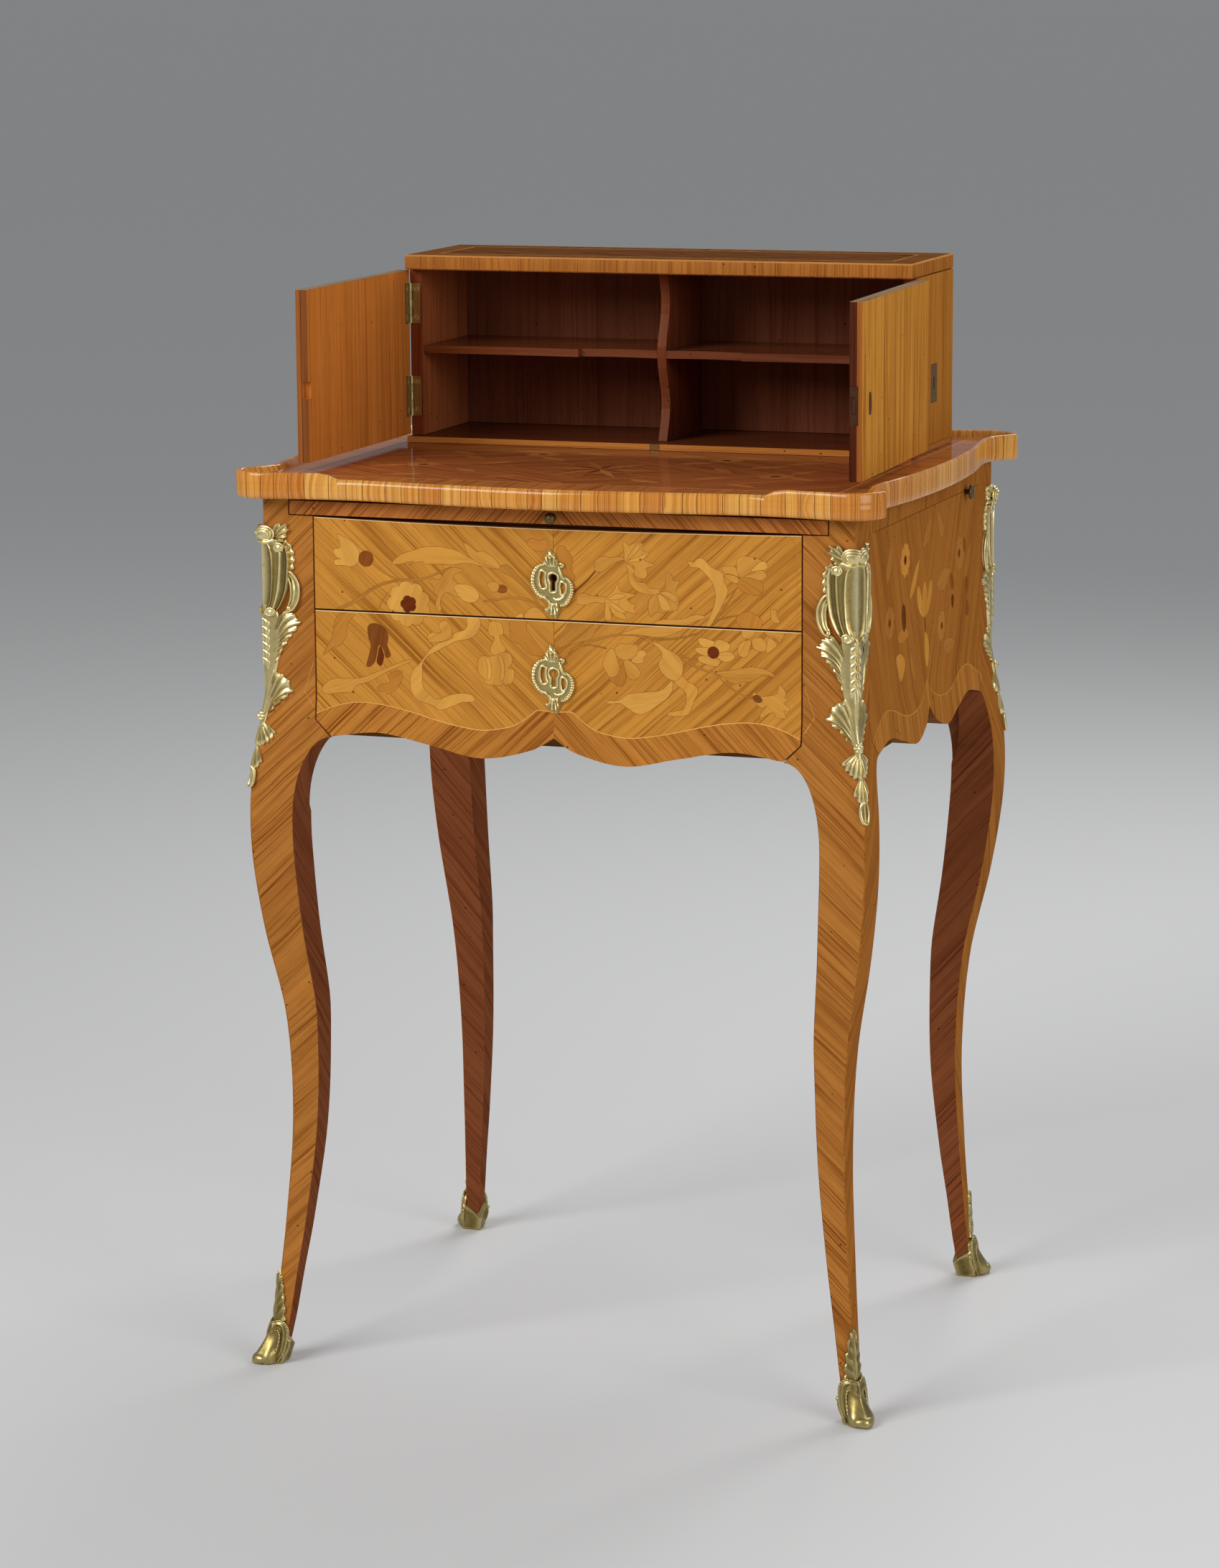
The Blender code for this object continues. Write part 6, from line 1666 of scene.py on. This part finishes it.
HEEL_LEAF = ((11.5, 2.2), (14.2, 8), (15.6, 14), (16.2, 19.0))


def shoe_ring(share, x_sign, y_sign):
    """A section of a shoe with a toe, its upper edge sloping down from the corner to the heel."""
    thick = leg_thickness(share * SHOE_TOP)
    toe = TOE_REACH * smooth(SHOE_TOE, share)
    if share == 0.0:
        toe -= TOE_UNDERCUT
    far = thick + SHOE_MARGIN * (1.0 if 0.0 < share < 1.0 else 0.6)
    near = SHOE_MARGIN * (1.2 + 0.4 * math.sin(math.pi * share))
    plan = [
        (-toe, 0.30 * thick), (-0.92 * toe, -0.30 * toe), (-0.78 * toe, -0.78 * toe),
        (-0.30 * toe, -0.92 * toe), (0.30 * thick, -toe), (0.75 * far, -near), (far, -0.6 * near),
        (far, 0.5 * far), (far, far), (0.5 * far, far), (-0.6 * near, far), (-near, 0.75 * far),
    ]
    points = []
    for a, b in plan:
        back = SHOE_SLOPE * max(a, b, 0.0) / far + SHOE_SLOPE * max(min(a, b), 0.0) / far
        height = share * SHOE_TOP * (1 - back)
        x_out, y_out = outer_corner(height, y_sign > 0)
        points.append((x_sign * (x_out - a), y_sign * (y_out - b), height))
    return spline(points, 3, closed=True)


def make_shoe(corner, x_sign, y_sign):
    shape = new_shape()
    loft(shape, [shoe_ring(share, x_sign, y_sign) for share in spread(0.0, 1.0, 16)], GILT_LOOK)
    for face in (1, -1):
        at = corner_place(x_sign, y_sign, face)
        strap(shape, at, SHOE_SCROLL, SHOE_SCROLL_WIDTH, SHOE_SCROLL_CREST, 3.0, 2, 28)
        cord(shape, at, SHOE_INNER_BEADS, 0.9, beads=12)
        cord(shape, at, SHOE_OUTER_BEADS, 1.0, beads=16)
        strap(shape, at, HEEL_LEAF, SMALL_WIDTH, SMALL_CREST, 1.0)
        bead(shape, at, 15.8, 19.4, 1.2, 2.2, 0.8)
        fan(shape, at, SHOE_LEAF, 1.2, 1.2, 2.0)
        for low, high, wide in ((38, 54, 2.2), (51, 65, 1.8), (62, 76, 1.4)):
            spine = [(0.2, low), (0.8, (low + high) / 2), (0.2, high)]
            strap(shape, at, spine, ((0.0, 0.8), (0.5, wide), (1.0, 0.5)), SMALL_CREST, 1.2, 0, 12)
    at = corner_place(x_sign, y_sign, 1)
    bead(shape, at, 0.0, 4.7, 10.6, 4.5, 0.9)
    fan(shape, at, SHOE_FLAP, 0.7, 4.4, 1.4)
    # The shoes are in the darker gilt: rubbed gilding with painted shade
    add_piece("gilt_shoe_" + corner, shape, "table", [worn_and_shaded_gilt], ["sabot_" + corner], 60)


# Keyhole plates, drawn from the eye of the keyhole: a pierced sheet, scrolls with their thickness and
# beads, and leaves at both ends

PLATE_THICKNESS = 0.7
PLATE_OUTLINE = (
    (-2.6, 23.0), (1.2, 19.6), (3.8, 15.0), (6.4, 12.6), (9.0, 12.4), (9.4, 10.2), (7.2, 7.6), (8.0, 4.2),
    (10.6, 1.8), (13.6, 0.2), (16.2, -3.6), (17.0, -9.5), (15.0, -15.6), (11.2, -20.8), (6.8, -23.0),
    (5.4, -26.0), (4.0, -29.6), (2.8, -32.2), (-1.5, -30.0), (-6.0, -27.0), (-7.4, -25.2), (-5.2, -23.4),
    (-4.2, -21.0), (-6.2, -18.2), (-10.0, -17.0), (-12.5, -15.0), (-16.0, -10.0), (-17.8, -4.2),
    (-17.2, 3.2), (-12.9, 9.6), (-7.5, 12.2), (-6.5, 15.2), (-5.6, 19.2),
)
PLATE_OPENINGS = (
    ((-9.5, 5.0), (-7.4, 4.2), (-7.7, 0.0), (-7.2, -4.6), (-6.4, -7.4), (-8.6, -7.8), (-10.5, -5.0),
     (-10.9, 0.6)),
    ((7.3, -3.4), (9.3, -4.2), (10.0, -7.6), (9.2, -11.2), (7.6, -12.6), (6.8, -10.0), (6.4, -6.0)),
)
PLATE_SCROLLS = (
    (((-5.9, 11.2), (-12.2, 9.0), (-16.3, 3.0), (-16.9, -4.2), (-15.0, -9.4), (-11.2, -14.2), (-5.9, -15.6)),
     1.8, 17),
    (((11.6, 0.6), (15.0, -3.4), (16.0, -9.4), (14.0, -15.2), (10.4, -20.0), (6.0, -21.8)), 1.8, 15),
    (((9.6, -13.6), (6.4, -16.2), (3.0, -16.9), (0.4, -15.4)), 1.2, 0),
    (((4.6, 11.4), (6.8, 11.8), (8.4, 11.0), (8.0, 9.4), (6.6, 9.6)), 1.1, 0),
    (((4.6, 10.0), (5.4, 6.6), (7.0, 2.6), (9.6, 0.4), (11.4, 0.8)), 1.1, 0),
    (((-10.6, -16.0), (-7.0, -15.6), (-3.6, -18.4), (-2.8, -22.4), (-4.8, -25.0), (-6.4, -24.6)), 1.2, 0),
)
KEYHOLE_RIM = (
    (0, 4.6), (3.6, 3.0), (4.4, -0.6), (3.0, -4.4), (2.9, -10.0), (0, -11.6), (-2.9, -10.0), (-3.0, -4.4),
    (-4.4, -0.6), (-3.6, 3.0), (0, 4.6),
)
PLATE_TOP_LEAF = (
    ((-4, 9), (-6, 12), (-8, 14)), ((-3, 9), (-5, 14), (-6, 18)), ((-1, 9), (-3, 16), (-2.8, 22.8)),
    ((1, 9), (1, 14), (1.8, 18.6)), ((3, 9), (3.4, 12), (4.6, 14.4)), ((4, 9), (5, 11), (6.2, 12)),
)
PLATE_LOW_LEAF = (
    ((-2, -20), (-4.4, -24), (-6.0, -26.8)), ((-0.6, -20), (-1.4, -26), (-1.8, -30)),
    ((0.8, -20), (1.6, -27), (2.4, -32)), ((2.2, -20), (3.4, -24), (4.2, -27.6)),
    ((3.6, -19), (5.4, -22), (6.4, -24.4)),
)


def make_plate(name, node, body, eye):
    def at(across, up, out):
        return (across * MM, FRONT_PLANE - GAP - out * MM, eye + up * MM)

    def front(across, up):
        return at(across, up, PLATE_THICKNESS)

    def back(point):
        return (point.x, point.y + PLATE_THICKNESS * MM, point.z)

    shape = new_shape()
    holes = [smooth_loop(opening) for opening in PLATE_OPENINGS] + [keyhole_loop(0)]
    # The pierced sheet between the scrolls is in the darker gilt, as painted shade
    sheet = inlay(shape, smooth_loop(PLATE_OUTLINE), SHADED_HOLLOW_LOOK, [], front, holes)
    thicken(shape, sheet, back, SHADED_HOLLOW_LOOK)
    for path, radius, beads in PLATE_SCROLLS:
        cord(shape, at, [(a, b, 1.5) for a, b in path], radius, beads=beads)
    cord(shape, at, [(a, b, 1.2) for a, b in KEYHOLE_RIM], 0.9, taper=1.0)
    for opening in PLATE_OPENINGS:
        rim = grown(opening, 1.0)
        cord(shape, at, [(a, b, 1.2) for a, b in rim + rim[:1]], 1.1, taper=1.0)
    for leaf in (PLATE_TOP_LEAF, PLATE_LOW_LEAF):
        fan(shape, at, leaf, 1.4, 1.2, 1.5)
    bead(shape, at, -1.8, 16.4, 2.8, 1.3)
    bead(shape, at, 0.6, -21.0, 2.6, 1.3)
    add_piece(name, shape, body, [gilt, worn_and_shaded_gilt], [node], 60)


def make_mounts():
    for corner, x_sign, y_sign in CORNERS:
        make_chute(corner, x_sign, y_sign)
        make_shoe(corner, x_sign, y_sign)
    make_plate("upper_scrolled_plate", "upper_escutcheon", "upper_drawer", FRONTS_JOINT + UPPER_KEYHOLE_RISE)
    make_plate("lower_scrolled_plate", "lower_escutcheon", "lower_drawer", FRONTS_JOINT - LOWER_KEYHOLE_DROP)


# Hinge screws

SCREW_RADIUS = 0.0023
SCREW_PROUD = 0.00007
SCREW_SLOT = 0.00032
SCREW_DEPTH = 0.0004
SCREW_FROM_AXIS = 0.0060
LEAF_GAP = 0.00015
SCREW_HEIGHTS_AND_LEANS = ((0.0052, 50), (0.0288, 115))


def door_turn(side, opening):
    """A door's hinge axis, and the turn that opens it."""
    pin_low, pin_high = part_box(side + "_lower_hinge_pin")
    return (pin_low + pin_high) / 2, Matrix.Rotation(math.radians(opening), 3, "Z")


def half_head(shape, centre, outward, first, second):
    """Half of a screw head, on one side of its slot."""
    turns = [math.radians(t) for t in spread(8, 172, 15)]
    rim = [(SCREW_RADIUS * math.cos(t), SCREW_RADIUS * math.sin(t)) for t in turns]
    rim += [(rim[-1][0], SCREW_SLOT), (rim[0][0], SCREW_SLOT)]
    loop = [centre + first * a + second * b for a, b in rim]
    inner = [centre + (p - centre) * 0.86 + second * (0.1 * SCREW_SLOT) for p in loop]
    loft(shape, [
        [p - outward * SCREW_DEPTH for p in loop], [p + outward * SCREW_PROUD * 0.4 for p in loop],
        [p + outward * SCREW_PROUD for p in inner],
    ], GILT_LOOK)


def hinge_screws(name, body, middle, outward, along, bases):
    """Slotted screw heads let into a leaf, two to a hinge, just proud of it."""
    shape = new_shape()
    for base in bases:
        for rise, lean in SCREW_HEIGHTS_AND_LEANS:
            a = math.radians(lean)
            first = along * math.cos(a) + Vector((0, 0, 1)) * math.sin(a)
            second = outward.cross(first)
            for side in (-1, 1):
                half_head(shape, Vector((*middle, base + rise)), outward, first, second * side)
    add_piece(name, shape, body, [screw], (), 30)


def make_screws():
    """Screws in the case leaves, which face forward, and in the door leaves, on the doors' edges."""
    bases = [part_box("left_" + level + "_hinge_case_leaf")[0].z for level in ("lower", "upper")]
    for side, sign, opening in DOORS:
        axis, turn = door_turn(side, opening)
        place = (axis.x + sign * SCREW_FROM_AXIS, axis.y + LEAF_GAP)
        hinge_screws(side + "_case_screws", "table", place, Vector((0, -1, 0)), Vector((1, 0, 0)), bases)
        shift = turn @ Vector((sign * SCREW_FROM_AXIS, -LEAF_GAP, 0))
        hinge_screws(side + "_door_screws", side + "_door", (axis.x + shift.x, axis.y + shift.y),
                     turn @ Vector((0, 1, 0)), turn @ Vector((1, 0, 0)), bases)


# Plain boards of the frame keep their solids and get their finish and softened edges here

EDGE_WEAR = 0.0002
INNER_FACE_FROM = 0.0080
DARK_STRIP_FROM = 0.0062
STRIP_JOINT = (0.0066, 0.0060)
FLOOR_STRIP_DEPTH = 0.0008
FLOOR_ENDS = 0.2216
WALL_OUTER_FACE = 0.2165
WALL_FRONT_EDGE = 0.0552
CARCASS = (
    "slide_dustboard", "drawer_dustboard", "case_bottom", "upper_drawer_box", "upper_drawer_bottom",
    "lower_drawer_box", "lower_drawer_bottom",
)


def finish_node(name, material, width=0.0006, segments=2):
    made = nodes[name]
    made.data.materials.clear()
    made.data.materials.append(material)
    if width:
        step = made.modifiers.new("soft_edges", "BEVEL")
        step.width = width
        step.segments = segments
        step.limit_method = "ANGLE"
        step.angle_limit = math.radians(40)
        step.harden_normals = False


def door_zones(side, sign, opening, edge_tone, dark_tone):
    """Tones of a door's inner face and edges: its free edge in two strips, and its worn upper edge."""
    axis, turn = door_turn(side, opening)
    along, inward = turn @ Vector((sign, 0, 0)), turn @ Vector((0, 1, 0))
    free = (along, along.dot(axis) + DOOR_LENGTH - EDGE_WEAR)
    face = inward.dot(axis)
    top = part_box("door_" + side)[1].z
    joint_from, joint_to = (face - depth for depth in STRIP_JOINT)
    return [
        (DOOR_INNER, [(inward, face - INNER_FACE_FROM)]),
        (edge_tone, [free]),
        (dark_tone, [free, (inward, face - DARK_STRIP_FROM)]),
        (JOINT, [free, (inward, joint_from), (-inward, -joint_to)]),
        (DOOR_WORN, [((0, 0, 1), top - EDGE_WEAR)]),
    ]


def finish_cabinet():
    inside = wood("cabinet_inside", (CABINET_RED, 90, 0.5), 4.0)
    shelf = wood("cabinet_shelf", (CABINET_SHELF, 0, 0.6), 6.0, 0.34, 0.6)
    divider = wood("cabinet_divider", (CABINET_DIVIDER, 90, 0.6), 14.0, 0.36, 0.04)
    strip_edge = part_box("cabinet_floor")[0].y + FLOOR_STRIP_DEPTH
    floor = wood("cabinet_floor", (CABINET_FLOOR, 0, 0.5), 9.0, 0.34, 0.3, [
        (FLOOR_STRIP, [((0, -1, 0), -strip_edge)]), (CABINET_GOLD, [((1, 0, 0), FLOOR_ENDS)]),
        (CABINET_GOLD, [((-1, 0, 0), FLOOR_ENDS)]),
    ])
    finish_node("cabinet_back", inside)
    finish_node("cabinet_floor", floor)
    finish_node("cabinet_divider", divider, 0.0016, 3)
    for side, sign, tone in (("left", -1, LEFT_WALL), ("right", 1, CABINET_RED)):
        finish_node("cabinet_shelf_" + side, shelf, 0.0022, 4)
        wall = wood("cabinet_side_" + side, (tone, 90, 0.5), 5.0, 0.42, 0.02, [
            (CABINET_GOLD, [((sign, 0, 0), WALL_OUTER_FACE)]), (WALL_EDGE, [((0, -1, 0), -WALL_FRONT_EDGE)]),
        ])
        finish_node("cabinet_side_" + side, wall)
    left_zones, right_zones = door_zones(*DOORS[0], *LEFT_DOOR_EDGE), door_zones(*DOORS[1], *RIGHT_DOOR_EDGE)
    left = wood("left_door", (DOOR_OUTER, 90, 0.5), 7.0, 0.40, 0.02, left_zones)
    right = wood("right_door", (DOOR_OUTER, 90, 0.9), 8.0, 0.42, 0.0, right_zones)
    finish_node("door_left", left, 0.0007)
    finish_node("door_right", right, 0.0007)


def finish_boards():
    finish_node("writing_slide", wood("writing_slide", (SLIDE, -46, 1.0), 2.0, mirrored_grain=True))
    finish_node("back_panel", wood("back_panel", (BACK_PANEL, 90, 0.6), 13.0, 0.5))
    bare = wood("carcass_wood", (BARE, 0, 0.4), 12.0, 0.62, 0.0)
    for name in CARCASS:
        finish_node(name, bare)


def finish_metal():
    for name in nodes:
        if name.startswith(("chute_", "sabot_")) or name.endswith("escutcheon"):
            finish_node(name, gilt, 0.0)
        elif "hinge" in name:
            finish_node(name, brass, 0.0002)
        elif name.endswith("_knob"):
            finish_node(name, bronze, 0.0002)
        elif name.endswith(("_plate", "_rim")):
            finish_node(name, old_brass, 0.0002)
        elif "lock" in name:
            finish_node(name, steel, 0.0003)


# The studio

FLOOR_RADIUS = 90.0
FLOOR_COLOUR = (0.71, 0.71, 0.71, 1.0)
WORLD_COLOUR = (0.62, 0.63, 0.64, 1.0)
WORLD_STRENGTH = 0.48

# Each lamp's place, aim, size in metres and power in watts
LAMPS = {
    "key": ((-1.5, -2.6, 2.3), (0, 0, 0.55), 1.6, 62),
    "fill": ((2.6, -1.6, 1.5), (0, 0, 0.55), 1.8, 31),
    "rim": ((0.4, 2.2, 2.6), (0, 0, 0.7), 1.6, 38),
}


def make_studio():
    floor_shape = bmesh.new()
    bmesh.ops.create_circle(floor_shape, cap_ends=True, radius=FLOOR_RADIUS, segments=96)
    mesh = bpy.data.meshes.new("floor")
    floor_shape.to_mesh(mesh)
    floor_shape.free()
    floor = bpy.data.objects.new("floor", mesh)
    bpy.context.scene.collection.objects.link(floor)
    material, tree, shader = new_material("pale_floor")
    shader.inputs["Base Color"].default_value = FLOOR_COLOUR
    shader.inputs["Roughness"].default_value = 0.7
    mesh.materials.append(material)

    world = bpy.data.worlds.new("studio")
    bpy.context.scene.world = world
    world.use_nodes = True
    background = world.node_tree.nodes["Background"]
    background.inputs["Color"].default_value = WORLD_COLOUR
    background.inputs["Strength"].default_value = WORLD_STRENGTH

    for name, (place, aim, size, power) in LAMPS.items():
        lamp = bpy.data.lights.new(name, "AREA")
        lamp.size = size
        lamp.energy = power
        holder = bpy.data.objects.new(name, lamp)
        holder.location = place
        holder.rotation_euler = (Vector(aim) - Vector(place)).to_track_quat("-Z", "Y").to_euler()
        bpy.context.scene.collection.objects.link(holder)


# The camera, fitted to the corners of the top, the case, the cabinet and the feet

CAMERA_PLACE = (1.1980, -3.4954, 1.1699)
CAMERA_AZIMUTH = 19.583
CAMERA_ELEVATION = 10.802
CAMERA_ROLL = -0.412
SENSOR_WIDTH = 36
PHOTO_HEIGHT = 2184
FOCAL_PIXELS = 6258.3
CENTRE_OFFSET = 29.9


def make_camera():
    azimuth, elevation, roll = (math.radians(a) for a in (CAMERA_AZIMUTH, CAMERA_ELEVATION, CAMERA_ROLL))
    level = math.cos(elevation)
    back = Vector((math.sin(azimuth) * level, -math.cos(azimuth) * level, math.sin(elevation)))
    right = Vector((math.cos(azimuth), math.sin(azimuth), 0))
    up = back.cross(right)
    right, up = (
        right * math.cos(roll) + up * math.sin(roll), up * math.cos(roll) - right * math.sin(roll),
    )
    data = bpy.data.cameras.new("camera")
    data.sensor_width = SENSOR_WIDTH
    data.lens = SENSOR_WIDTH * FOCAL_PIXELS / PHOTO_HEIGHT
    data.shift_x = CENTRE_OFFSET / PHOTO_HEIGHT
    camera = bpy.data.objects.new("camera", data)
    turn = Matrix((right, up, back)).transposed().to_4x4()
    camera.matrix_world = Matrix.Translation(CAMERA_PLACE) @ turn
    bpy.context.scene.collection.objects.link(camera)
    bpy.context.scene.camera = camera


make_legs()
make_stringing()
make_table_top()
make_cabinet_top()
make_fronts()
make_side_panels()
make_mounts()
finish_cabinet()
finish_boards()
finish_metal()
make_screws()
make_studio()
make_camera()
bpy.context.scene.view_settings.view_transform = "Standard"
